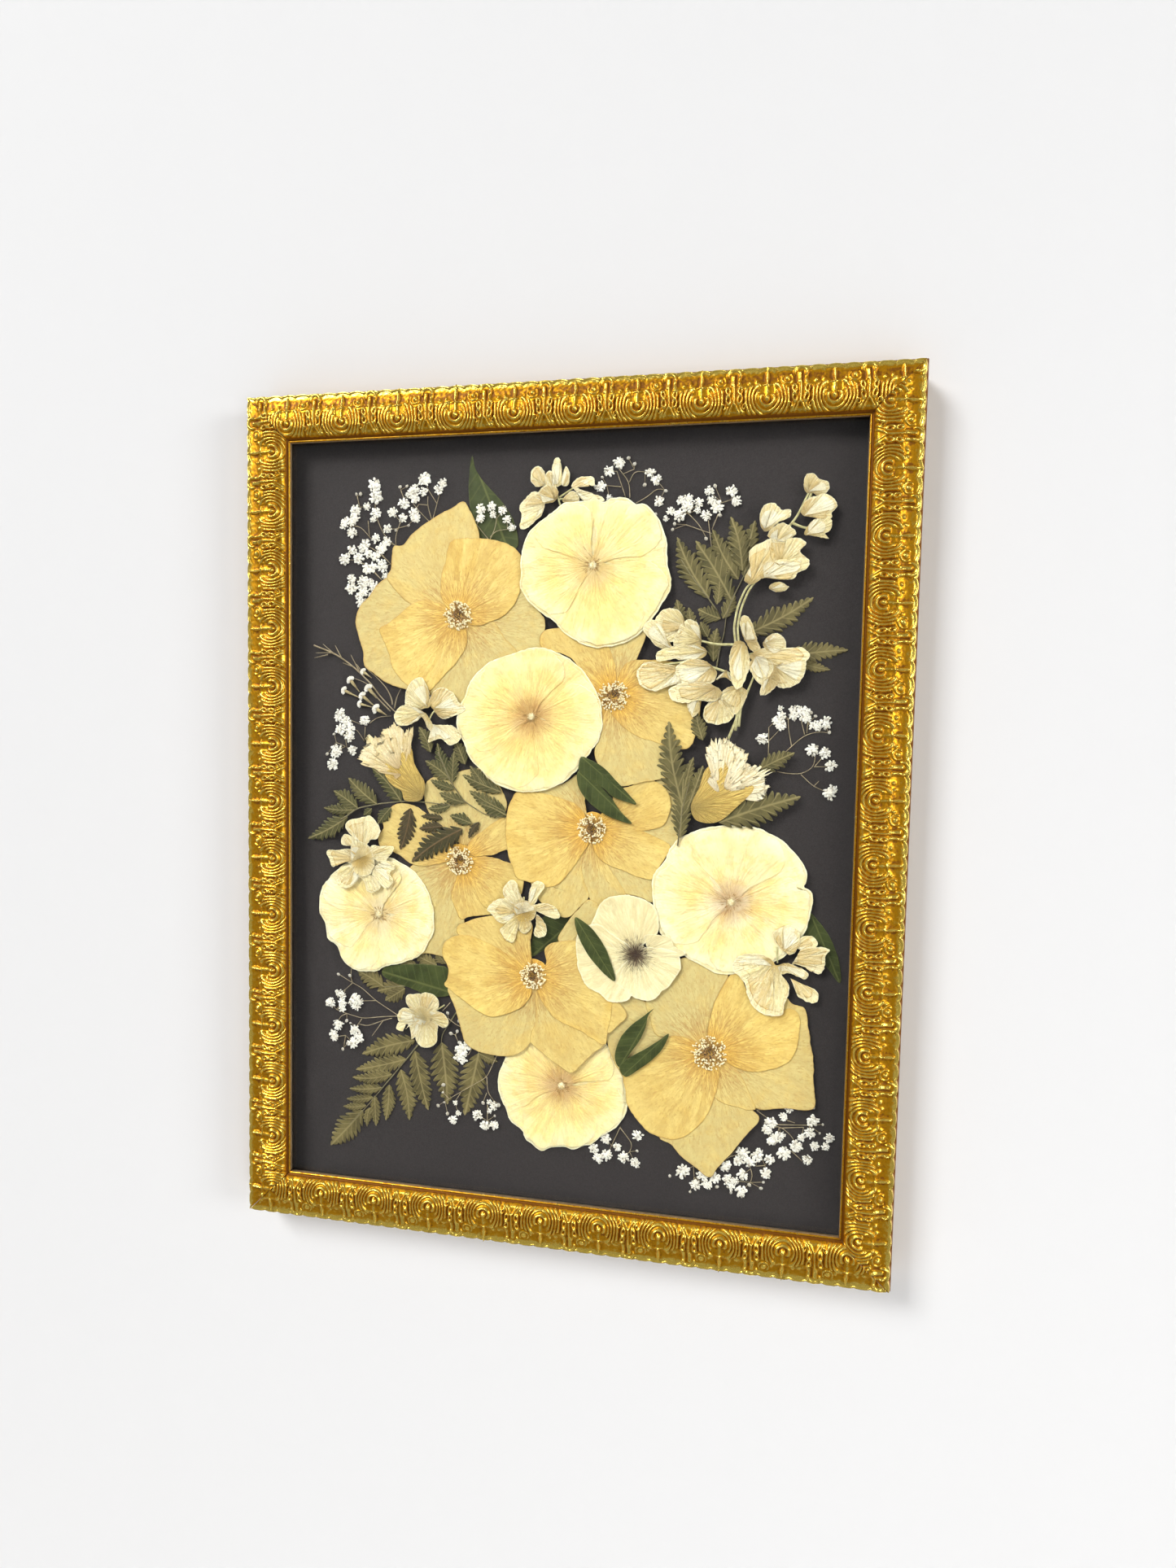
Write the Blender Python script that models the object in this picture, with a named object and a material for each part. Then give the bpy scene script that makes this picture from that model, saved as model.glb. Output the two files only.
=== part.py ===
"""Pressed flower frame: a gilded scroll moulding round a glazed collage of dried flowers.

The part hangs upright. X runs to the right, Z up, and the front faces -Y. The origin is the
centre of the backing panel's back face. Sizes and outlines are in millimetres and are scaled
to metres when a mesh is made. A depth is a distance in front of the origin plane, towards -Y.
"""

import math

import bmesh
import bpy
from mathutils import Matrix, Vector
from mathutils.geometry import delaunay_2d_cdt

MM = 0.001
WELD = 0.00001
SHORT_EDGE = 0.0006
FLAT_ANGLE = math.radians(0.5)

# Driving dimensions
SIGHT_WIDTH = 292.0
SIGHT_HEIGHT = 393.7
RAIL_FACE = 25.3
RAIL_BACK_DEPTH = 0.0
REBATE_WIDTH = 6.4
FIT_GAP = 0.3

# The stack of sheets inside the rebate, from the origin plane forwards
PANEL_THICKNESS = 3.0
BOARD_THICKNESS = 2.4
PRESS_SPACE = 4.6
GLASS_THICKNESS = 1.8
BOARD_BACK = PANEL_THICKNESS + FIT_GAP
BOARD_FRONT = BOARD_BACK + BOARD_THICKNESS
GLASS_BACK = BOARD_FRONT + PRESS_SPACE
GLASS_FRONT = GLASS_BACK + GLASS_THICKNESS
LIP_BACK = GLASS_FRONT + FIT_GAP
SPACER_INSET = 2.6

# The pressed specimens lie in six levels between the board and the glass
LEVEL_COUNT = 6
LEVEL_STEP = (PRESS_SPACE - FIT_GAP) / LEVEL_COUNT - 0.045
PETAL_THICKNESS = 0.24
FLOWER_THICKNESS = 0.42
BLOSSOM_THICKNESS = 0.36
HEAD_THICKNESS = 0.36
STAMEN_RISE = 0.6
STAMEN_RADIUS = 7.0
PISTIL_RADIUS = 3.2
DOME_SHARE = 0.75

# The moulding's section from the sight edge outwards: (distance outwards, depth)
RAIL_SECTION = [
    (0.0, LIP_BACK),
    (0.0, 14.3),
    (2.3, 14.7),
    (8.5, 18.9),
    (16.5, 17.4),
    (23.7, 16.2),
    (RAIL_FACE, 11.8),
    (RAIL_FACE, RAIL_BACK_DEPTH),
    (REBATE_WIDTH, RAIL_BACK_DEPTH),
    (REBATE_WIDTH, LIP_BACK),
]

# The scroll ornament repeats along each rail: a shell that narrows to a dart at the outer edge
SCROLL_PITCH = 30.6
SCROLL_DEPTH = 19.7
SCROLL_BASE_DEPTH = 14.0
SCROLL_TOP_SHARE = 0.72
SCROLL_OUTLINE = [(-7.5, 3.6), (7.5, 3.6), (10.0, 12.5), (0.0, 23.4), (-10.0, 12.5)]

# Fittings on the back
POINT_LENGTH = 16.0
POINT_WIDTH = 7.0
POINT_THICKNESS = 0.5
POINT_OVERLAP = 9.0
HANGER_WIDTH = 45.0
HANGER_HEIGHT = 8.0
HANGER_THICKNESS = 0.9
HANGER_TEETH = 7
HANGER_TOOTH = 1.6
HANGER_EAR = 6.0
HANGER_OUT = 10.0

GOLD = (0.60, 0.42, 0.10, 1.0)
BLACK = (0.012, 0.011, 0.011, 1.0)
CHARCOAL = (0.062, 0.056, 0.058, 1.0)
HARDBOARD = (0.24, 0.15, 0.08, 1.0)
GLASS_TINT = (0.80, 0.86, 0.84, 1.0)
STEEL = (0.62, 0.62, 0.60, 1.0)
ROSE_YELLOW = (0.86, 0.62, 0.21, 1.0)
BLOOM_CREAM = (0.90, 0.80, 0.50, 1.0)
PETAL_WHITE = (0.88, 0.80, 0.60, 1.0)
STRAW = (0.78, 0.58, 0.24, 1.0)
FERN_OLIVE = (0.14, 0.13, 0.06, 1.0)
LEAF_GREEN = (0.075, 0.095, 0.045, 1.0)
BREATH_WHITE = (0.86, 0.83, 0.72, 1.0)

# Roses: centre, level and petals from the back one to the front one
ROSES = {
    "rose_upper_left": ((-54.5, 107.0), 2, [
        [(-54, 105), (-44, 110), (-27, 110), (-21.5, 120), (-9, 105), (-9.2, 91), (-24, 88),
         (-38, 98)],
        [(-55, 104), (-37, 104), (-23.5, 88), (-41, 79), (-47, 71), (-50, 62), (-58, 60),
         (-67, 64), (-72, 69), (-57, 96)],
        [(-57, 106), (-70, 114), (-84, 119), (-93.5, 126.5), (-99, 123), (-109.5, 110.5),
         (-111, 104.5), (-106.5, 88), (-106, 82), (-92, 72.3), (-77, 69), (-64, 88)],
        [(-54, 110), (-80, 113.5), (-89, 121), (-93.5, 128), (-90, 143.5), (-85.5, 143.7),
         (-70, 156), (-53, 164.5), (-50.5, 162), (-45, 150), (-44.5, 144)],
        [(-54, 105), (-72, 114.5), (-80, 113), (-97.5, 100.3), (-92, 87), (-91, 81), (-80, 70),
         (-72, 68.2), (-69, 69), (-51.8, 89), (-50.5, 95), (-51.5, 101)],
        [(-60.5, 111), (-63.5, 117), (-64.5, 125), (-58.5, 145.3), (-46, 146), (-35, 144.8),
         (-27.5, 142), (-22.3, 137), (-21.3, 129), (-22, 120.5), (-25, 113), (-30, 108),
         (-37, 104.6), (-45, 102.7), (-51, 103.5)],
    ]),
    "rose_upper_right": ((28.0, 66.5), 3, [
        [(28, 69), (26, 80), (21, 91), (30, 97), (42, 99), (42, 90), (34, 75)],
        [(28, 68), (22, 74), (14, 78), (4, 86), (-9.4, 91), (-9, 98), (4, 100), (24, 93), (27, 84)],
        [(28, 67), (22, 80), (14, 84), (8, 80), (14, 62), (21, 50)],
        [(27.5, 64), (24, 58), (19.5, 42), (19.5, 37), (22, 31), (30, 22), (35, 21.4),
         (60.6, 27.4), (59.5, 34), (56, 41), (39, 47.5), (32, 53)],
        [(30, 73), (34.5, 82), (45, 86), (60, 84), (70, 74), (70, 58), (67.5, 47), (63, 42),
         (55, 42), (40, 47.5), (33, 52.5), (27, 59.5)],
    ]),
    "rose_centre": ((18.0, -1.5), 2, [
        [(24, 2), (40, 20), (55, 26), (62, 26), (65, 15), (64, 2), (61, -8), (57, -13), (48, -8),
         (34, -4)],
        [(16, 2), (14, 14), (17, 22), (12, 27), (-10, 17), (-5, 12), (6, 8)],
        [(19, -5), (25, -16), (35, -21.5), (49.8, -26), (50, -37), (33, -33), (25, -26)],
        [(18, -6), (14, -15), (12.5, -24), (15, -33), (22.5, -43), (27, -37), (36, -35.5),
         (24, -18)],
        [(17, -6), (14, -20), (14.5, -28), (17, -36.5), (6, -47.5), (0, -46), (-11, -37),
         (-14, -29), (-4, -28), (8, -18)],
        [(20, 1), (24, 10), (30, 17), (45, 24.3), (50, 23.7), (55, 20), (57.6, 14.5), (57, 7),
         (54, 1), (45, -0.5), (32, -0.5)],
        [(20, -1), (35, 0.5), (45, -1.5), (58.3, -8.5), (49.5, -25.7), (35, -22), (27, -17.5),
         (20, -9)],
        [(18, -3), (15.5, 5), (10, 10), (3, 13.2), (-14, 16.3), (-21, 16), (-24.5, 11), (-26.8, 3),
         (-26.7, -6), (-24, -21), (-20.5, -28.3), (-5, -32), (2, -29.5), (13, -14)],
    ]),
    "rose_left": ((-52.5, -21.0), 1, [
        [(-54, -17), (-66, 0), (-72, 12), (-70, 20), (-62, 25), (-50, 28), (-40, 28), (-32, 21),
         (-27, 10), (-30, 2), (-42, -6)],
        [(-55, -22), (-76, -22), (-84, -30), (-76, -60), (-76.5, -71), (-60, -72), (-52, -63),
         (-50, -53), (-54, -45), (-56, -34)],
        [(-56, -19), (-58, -8), (-66, 4), (-80, 7.6), (-89, 7.3), (-96.5, -0.5), (-95.2, -5.5),
         (-98, -10), (-97, -16), (-76, -25), (-64, -24)],
        [(-52, -25), (-56, -33), (-57.3, -40), (-51.5, -52), (-45, -50), (-37, -49.5), (-32, -47),
         (-38, -38), (-46, -29)],
        [(-50, -20), (-41, -18), (-30, -20), (-21, -24), (-18, -31), (-21, -39), (-30, -46),
         (-38, -46.5), (-45, -36)],
        [(-51, -18), (-45.5, -9), (-27, 3), (-22, -2), (-20, -15), (-26, -13.8), (-35, -17)],
    ]),
    "rose_lower_centre": ((-11.5, -79.0), 3, [
        [(-8, -76), (8, -49), (17, -38), (24, -44), (21, -55), (2, -72)],
        [(-5, -80), (31, -89), (35, -91), (38, -97), (33.5, -103), (28.5, -107), (10, -98)],
        [(-12, -82), (-30, -92), (-46, -92), (-57, -90), (-47.5, -118), (-43, -121), (-35, -123),
         (-25, -123), (-17, -120), (-12.5, -114), (-8.5, -96), (-9, -87)],
        [(-10, -84), (-3, -93), (5, -99), (15, -104), (26.7, -112), (9.5, -129), (-5, -119.7),
         (-12, -113.7), (-10, -104)],
        [(-9, -80), (-6, -72), (-5, -65), (1, -61.7), (12, -60.5), (20, -65), (26, -75),
         (30.5, -88), (27, -112), (4, -102), (-4, -95), (-9, -86)],
        [(-12, -77), (-13.5, -68), (-13, -51), (-22, -47.5), (-30, -48.3), (-45.5, -52.5),
         (-53, -57), (-52, -61), (-24, -76)],
        [(-12, -80), (-38, -65), (-49, -60), (-55, -61), (-59.8, -67), (-60, -73), (-57, -79),
         (-58, -84.5), (-59.7, -87.3), (-40, -100.7), (-34, -102.5), (-25, -100.3), (-17, -95.7),
         (-12.5, -88)],
    ]),
    "rose_lower_right": ((81.0, -112.5), 2, [
        [(78, -112), (64, -106), (56, -104), (50, -92), (40, -86), (30, -90), (28, -105),
         (30, -116), (34, -124), (39, -129), (50, -122), (66, -115)],
        [(79, -111), (66, -105), (54, -105.5), (47.7, -87.5), (52, -76), (64, -66), (78, -66),
         (90, -71.5), (86, -80)],
        [(83, -113), (98, -100), (116, -82), (120, -85), (126, -87), (130.5, -110), (132, -135.5),
         (104, -138), (99, -128), (92, -119)],
        [(81, -115), (84, -128), (84, -136), (101, -140), (105.5, -143), (105, -146.5),
         (82.5, -176.7), (69, -168), (63, -162), (57, -159), (66, -150), (76, -136)],
        [(82, -114), (93, -119), (97, -124.5), (104, -139), (101, -140), (89, -138), (84, -135),
         (81, -121)],
        [(81, -114), (73, -108.5), (66, -106), (60.5, -106.7), (51, -120), (38, -129), (40, -143),
         (44.5, -150), (50.5, -156), (58, -158.3), (65, -158.6), (71, -155.5), (77, -149),
         (83.3, -136), (85, -128), (85, -119)],
        [(82, -111), (80.2, -103), (84, -84), (88, -76), (92.3, -71), (96, -75), (100, -84.5),
         (106, -89), (113, -90), (119, -87.5), (123.3, -88), (123.5, -100), (121.5, -110),
         (117, -115), (109, -118.5), (101, -120), (92, -117.5)],
    ]),
}

# Round cream blooms: centre, level and outline
BLOOMS = {
    "cream_bloom_top": ((16.0, 131.5), 4,
        [(-21, 138), (-18.5, 145), (-14.5, 151), (0, 162.3), (14, 164), (21, 163), (27, 164.7),
         (38, 162), (44, 159), (48.5, 153.5), (51.5, 147), (55.6, 120), (50, 109.5), (40, 97),
         (33, 93), (20, 90.3), (7, 94.5), (-4.5, 105), (-15, 112), (-19, 117), (-21.3, 123)]),
    "cream_bloom_centre": ((-14.5, 55.5), 4,
        [(-54.5, 50.5), (-54, 56), (-50.5, 62), (-49.5, 68), (-46.5, 74), (-42, 79.5), (-35, 84),
         (-15, 90.5), (-5, 90), (9, 82.5), (15, 75.5), (22, 60), (22.7, 53), (21.5, 46), (10, 29),
         (4.5, 23.5), (-9, 17.2), (-25, 16.8), (-38, 24), (-49.5, 36), (-49.3, 41)]),
    "cream_bloom_right": ((89.0, -35.0), 3,
        [(49.5, -28), (51, -22), (62, -5), (77, 2), (85, 3.2), (100, 2.4), (114, -4), (123, -14),
         (125.5, -20), (125, -24), (123.4, -25.6), (127, -27.5), (128.6, -31), (127.7, -39),
         (124, -50.5), (115, -61.5), (105, -67), (94, -70.7), (85, -72), (60, -60), (54, -52.5),
         (51, -44)]),
    "cream_bloom_left": ((-98.0, -52.0), 2,
        [(-132.5, -49), (-132, -43), (-126, -33), (-121, -28), (-113, -23.7), (-104, -21.5),
         (-95, -21), (-79, -27), (-70, -38), (-67.5, -45), (-67, -61), (-73, -72), (-78, -75.5),
         (-95, -80.5), (-100, -83.5), (-112, -83.3), (-117, -80.5), (-122.5, -71), (-127.5, -67)]),
    "cream_bloom_bottom": ((4.5, -137.0), 1,
        [(-25, -122), (-29.7, -133), (-30.2, -140), (-28.6, -147), (-22, -159.5), (-16, -164),
         (-15, -167.3), (-5.5, -173.6), (1, -171), (12, -170.8), (22, -166.5), (36.5, -153.5),
         (39.3, -147), (38.4, -134), (34, -121.5), (27, -111.5), (18, -105.5), (5, -103),
         (-8, -105), (-18, -112)]),
}

# Other blossoms: colour, level and petals, all fused where they overlap
BLOSSOMS = {
    "pansy": (PETAL_WHITE, 4, [
        [(40, -65), (22, -51.5), (14, -54), (12, -60), (14, -76), (18, -82), (28.5, -88.7),
         (34, -89), (39, -86), (39.3, -82), (35, -77)],
        [(41, -62), (33, -62), (20, -52), (24.5, -39.5), (30, -36), (37, -34.8), (45, -36.5),
         (51, -41), (52.7, -46), (52, -53)],
        [(43, -62), (47, -55), (53, -54), (59, -55), (61, -59), (67, -62), (64, -64), (44, -66)],
        [(42, -64), (33.3, -76), (34, -80), (42, -86), (48, -87), (53, -85.3), (63, -73.5),
         (64.2, -68), (63, -63.5), (50, -63)],
    ]),
    "larkspur_top": (PETAL_WHITE, 2, [
        [(-2.5, 164), (-6, 170), (-6, 183), (-3.6, 185.3), (-1, 183), (-0.8, 176)],
        [(-2, 164), (-1, 172), (0, 178), (0.9, 181), (3, 178.5)],
        [(-3, 165), (-10, 172.5), (-14, 172.5), (-16.5, 176), (-17, 179.5), (-13.5, 181),
         (-10, 178.5)],
        [(-4, 163.8), (-10, 164), (-11, 158), (-19.5, 151), (-22, 152), (-21, 157), (-22.3, 161.5),
         (-15, 169), (-9, 169), (-2, 165.5)],
        [(-3.5, 165), (9, 173), (15.5, 171), (15, 175), (11.8, 175.8), (8, 175)],
        [(-3, 164), (5.5, 170.3), (19, 165.3), (21, 163.5), (14, 162.5), (9, 165)],
        [(-2.8, 166), (4.5, 168.5), (8, 164.5), (7, 162), (-1, 160)],
    ]),
    "larkspur_left": (PETAL_WHITE, 4, [
        [(-67, 57), (-82, 60.7), (-83, 65), (-78, 73.3), (-74.7, 74.7), (-71.3, 70.7)],
        [(-66, 56.5), (-73, 55), (-80, 51), (-86.5, 50), (-88.7, 54), (-84.7, 59.7), (-80, 60.3)],
        [(-68.5, 55), (-69, 62), (-67, 67.5), (-62, 69.5), (-57.5, 67), (-55, 62), (-55.5, 56.5),
         (-61, 54)],
        [(-68, 58), (-62, 50), (-57, 50), (-53.5, 45.8), (-53.5, 43.5), (-58, 40), (-63, 43.5),
         (-69.5, 41), (-68.5, 47), (-71, 49), (-72, 54)],
    ]),
    "larkspur_on_bloom": (PETAL_WHITE, 4, [
        [(-107, -26), (-108, -14), (-116, -5), (-114, -1.5), (-103, 0.6), (-100, -1), (-97, -6),
         (-99, -11), (-102, -11.5)],
        [(-107, -25), (-112, -11), (-116.5, -9.3), (-118.7, -12), (-118, -15), (-113, -15)],
        [(-106, -24), (-112, -18), (-122, -18), (-126.7, -19), (-123, -27)],
        [(-107, -25), (-102, -15.5), (-89, -15), (-92, -21), (-97, -23.5)],
        [(-108, -24), (-98, -24.5), (-91, -22.7), (-87.8, -26), (-91, -29), (-89, -33), (-93, -37)],
        [(-107, -23.5), (-96, -37), (-100, -40), (-104.5, -39.3), (-108, -32)],
        [(-106.5, -24), (-119, -27.5), (-121.5, -32), (-120, -37), (-114, -38), (-109, -33)],
    ]),
    "larkspur_centre": (PETAL_WHITE, 4, [
        [(-16.5, -46), (-25, -40), (-32, -41), (-36.3, -46), (-31, -51), (-27, -52)],
        [(-16.5, -47), (-15, -41), (-19, -36), (-21, -30.7), (-24.3, -29.8), (-28, -35),
         (-26, -40)],
        [(-17, -46.5), (-13.5, -41), (-12, -31), (-8, -29.8), (-6, -32), (-12, -42)],
        [(-18, -46), (-13, -42), (-7, -41), (-1, -42), (2.3, -46), (-2, -48)],
        [(-18, -45.5), (-10, -46.5), (-5, -53), (-5, -57), (-8.5, -59.3), (-11.3, -57),
         (-10.5, -52)],
        [(-16, -45.5), (-19.5, -52), (-22.5, -62.3), (-25.3, -61), (-29.3, -56)],
        [(-17.3, -45), (-13, -50), (-13, -54), (-16, -57.3), (-19.3, -55)],
    ]),
    "larkspur_lower_left": (PETAL_WHITE, 2, [
        [(-70, -107), (-81.7, -99.5), (-81.2, -95.5), (-77, -94), (-73.5, -96)],
        [(-71, -107), (-75, -100), (-74.5, -95), (-70.5, -93.5), (-67, -95.5), (-67, -100)],
        [(-71, -106.5), (-69, -93.2), (-65, -95), (-63.3, -99.5), (-65, -102.5)],
        [(-72, -105), (-66, -102.5), (-60.5, -103.5), (-57.7, -108), (-60, -111), (-64.5, -110)],
        [(-72, -104.5), (-64.5, -109), (-64, -115), (-65, -120), (-67.5, -118)],
        [(-71, -104), (-68, -120), (-71, -122.7), (-75, -120), (-76, -115)],
        [(-70, -105), (-78, -103), (-84, -103), (-86.3, -107), (-85, -110), (-86.7, -113.3),
         (-83, -115), (-80.5, -111)],
    ]),
    "larkspur_right": (PETAL_WHITE, 4, [
        [(117, -65), (113, -56), (110, -53), (110, -49.5), (115, -45.7), (119, -45), (123, -50)],
        [(118, -63), (121, -54), (125, -50), (129, -50), (131, -54)],
        [(116, -63.5), (125, -56), (130, -54.7), (137, -56), (135, -59.5), (134.7, -65),
         (132, -68), (125, -63.5)],
        [(118, -64), (110, -64), (105, -61), (95, -62), (92, -66.5), (92, -70), (101, -76),
         (108, -77), (115, -72)],
        [(118, -64.5), (104, -70), (97.5, -74), (99, -81), (102, -86), (106, -89.3), (115, -89),
         (119, -72)],
        [(117, -67), (121, -72.5), (132.6, -78), (132, -81.7), (129, -82.6), (124, -80.5)],
    ]),
    "carnation_left": (STRAW, 3, [
        [(-106.5, 40), (-112.3, 34), (-113, 30), (-109.3, 28.7), (-102, 28.7), (-102, 25.7),
         (-96, 26), (-84, 38), (-79.3, 40), (-78, 51.3), (-83.3, 51), (-89.3, 55.3), (-93.3, 52),
         (-97.3, 50.7), (-100, 47), (-105.3, 46)],
        [(-83, 10), (-85, 15), (-89, 17), (-98, 26), (-94, 36), (-86, 41), (-79.5, 36), (-78, 30),
         (-72.3, 20), (-72, 16), (-74, 11)],
    ]),
    "carnation_right": (STRAW, 5, [
        [(72, 43), (73, 46), (77, 49), (83, 49), (91, 43), (98, 41), (104, 34), (109, 33),
         (109.5, 26), (105, 22), (92, 24), (80, 34)],
        [(68, 12), (70, 6), (73, 4.5), (79, 4.2), (83.5, 6), (95, 17), (98.5, 22), (99, 28),
         (90, 34), (80, 37), (76, 32)],
    ]),
}

# The stock's stem and florets
STOCK_LEVEL = 5
STOCK_STEMS = [
    ([(88.7, 50), (89.5, 58), (89, 72), (87.5, 88), (86.8, 98), (88.5, 110), (92.5, 121),
      (104, 140), (115, 153), (119.5, 163)], 3.0),
    ([(89.5, 57), (93, 65), (98.5, 79)], 1.4),
    ([(89, 74), (83.5, 77), (76, 78)], 2.0),
    ([(113, 150), (120, 154), (126, 158)], 1.4),
    ([(107, 142), (114, 142), (122, 145)], 1.2),
    ([(107, 143), (104, 152)], 1.2),
    ([(93, 119), (100, 122), (106, 119.5)], 1.2),
]
STOCK_FLORETS = [
    [(117.8, 169), (119, 171.8), (121.5, 172), (127.5, 168.5), (128.3, 165.5), (125, 162.5),
     (119, 161)],
    [(117.5, 155), (120, 160), (128, 162), (132, 159), (132.5, 157), (130.5, 152.5), (124, 154),
     (119, 153.5)],
    [(119, 144.5), (122, 150), (127, 151.5), (130, 150), (129.5, 142.5)],
    [(98, 155), (100, 158), (104, 158.5), (110.5, 155.5), (110, 152.5), (100, 147)],
    [(100, 142), (105, 149), (109, 149), (114, 145), (111, 140), (104, 138)],
    [(92, 121), (94, 130), (93.5, 136), (97, 139), (110, 141), (118.5, 139.5), (116, 136),
     (119.5, 132), (119, 128), (114, 124), (105, 125)],
    [(103, 119.5), (107, 121.5), (111.8, 119.5), (107, 117.2)],
    [(95, 80), (97, 86), (90, 92.5), (90, 103), (91.5, 105), (95, 102), (101, 92), (106, 97),
     (110, 95), (111, 91), (118, 90), (121.5, 87), (120, 79), (117, 74), (100.5, 68), (104, 76),
     (97, 77)],
    [(87.5, 92), (91, 92), (94, 85), (93.5, 79), (90, 72), (88, 72), (85.5, 82)],
    [(83.5, 70), (88, 72), (93, 69), (92, 64), (88, 59), (84, 61), (81, 65)],
    [(54, 108.5), (59, 107.5), (63, 102), (68, 102), (70, 97), (69.5, 91), (72, 86), (64, 83),
     (55, 83), (51, 90), (43, 99), (45, 102.5)],
    [(40.5, 78), (44, 82), (65, 86), (75, 82), (80, 77), (80, 69), (78, 65), (59, 65), (55, 71),
     (48, 70), (43, 72)],
    [(73, 59), (75, 55), (83, 54), (87, 58), (88.5, 75), (80, 78), (74, 70)],
]

# Leaves: level and outline of each blade; blades of one entry join at their base
LEAVES = {
    "leaf_top": (0, [
        [(-48.7, 189), (-47, 182.5), (-43, 176.5), (-30, 162), (-26, 155), (-24, 148), (-24, 142),
         (-32, 138), (-42, 140), (-46, 150), (-49.5, 163), (-50.3, 175)],
    ]),
    "leaf_pair_centre": (5, [
        [(12, 35.5), (17, 34), (24, 30), (41, 12), (28, 16), (12.5, 24), (11, 30)],
        [(10.5, 28), (17, 25), (28, 15), (33, 8), (39, 2.2), (31, 4), (24, 7), (16, 13), (12, 18)],
    ]),
    "leaf_on_pansy": (5, [
        [(10.5, -47), (15, -49), (20, -53), (27, -63), (31, -73), (32, -79.5), (20, -69),
         (15, -62), (11, -53)],
    ]),
    "leaf_pair_lower": (4, [
        [(52.3, -91.5), (49.5, -95), (48, -102), (45, -109), (35.5, -124.5), (33, -121),
         (33, -115), (36, -107), (41, -101)],
        [(60, -104), (57, -112), (52, -118), (38, -128.5), (34.5, -124), (39, -119)],
    ]),
    "leaf_right": (0, [
        [(127.5, -38.5), (136, -48), (142.5, -64), (143, -73), (124, -50), (122, -42)],
    ]),
    "leaf_lower_left": (1, [
        [(-96, -83), (-85, -79), (-65, -78), (-55, -80), (-52, -87), (-56, -93.5), (-65, -95),
         (-73, -93.5), (-89, -88)],
    ]),
    "leaf_centre": (0, [
        [(-13, -62), (-10, -52), (-6, -48), (2, -44), (12, -44), (13, -52), (0, -62), (-13, -70)],
    ]),
}

# Half of a leaflet's edge: (share of its length, share of its half width)
LONG_LEAFLET = [(0.0, 0.2), (0.22, 1.0), (0.66, 0.74), (1.0, 0.0)]
SHORT_LEAFLET = [(0.0, 0.25), (0.4, 1.0), (1.0, 0.0)]
LONG_LEAFLET_LENGTH = 24.0

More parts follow.
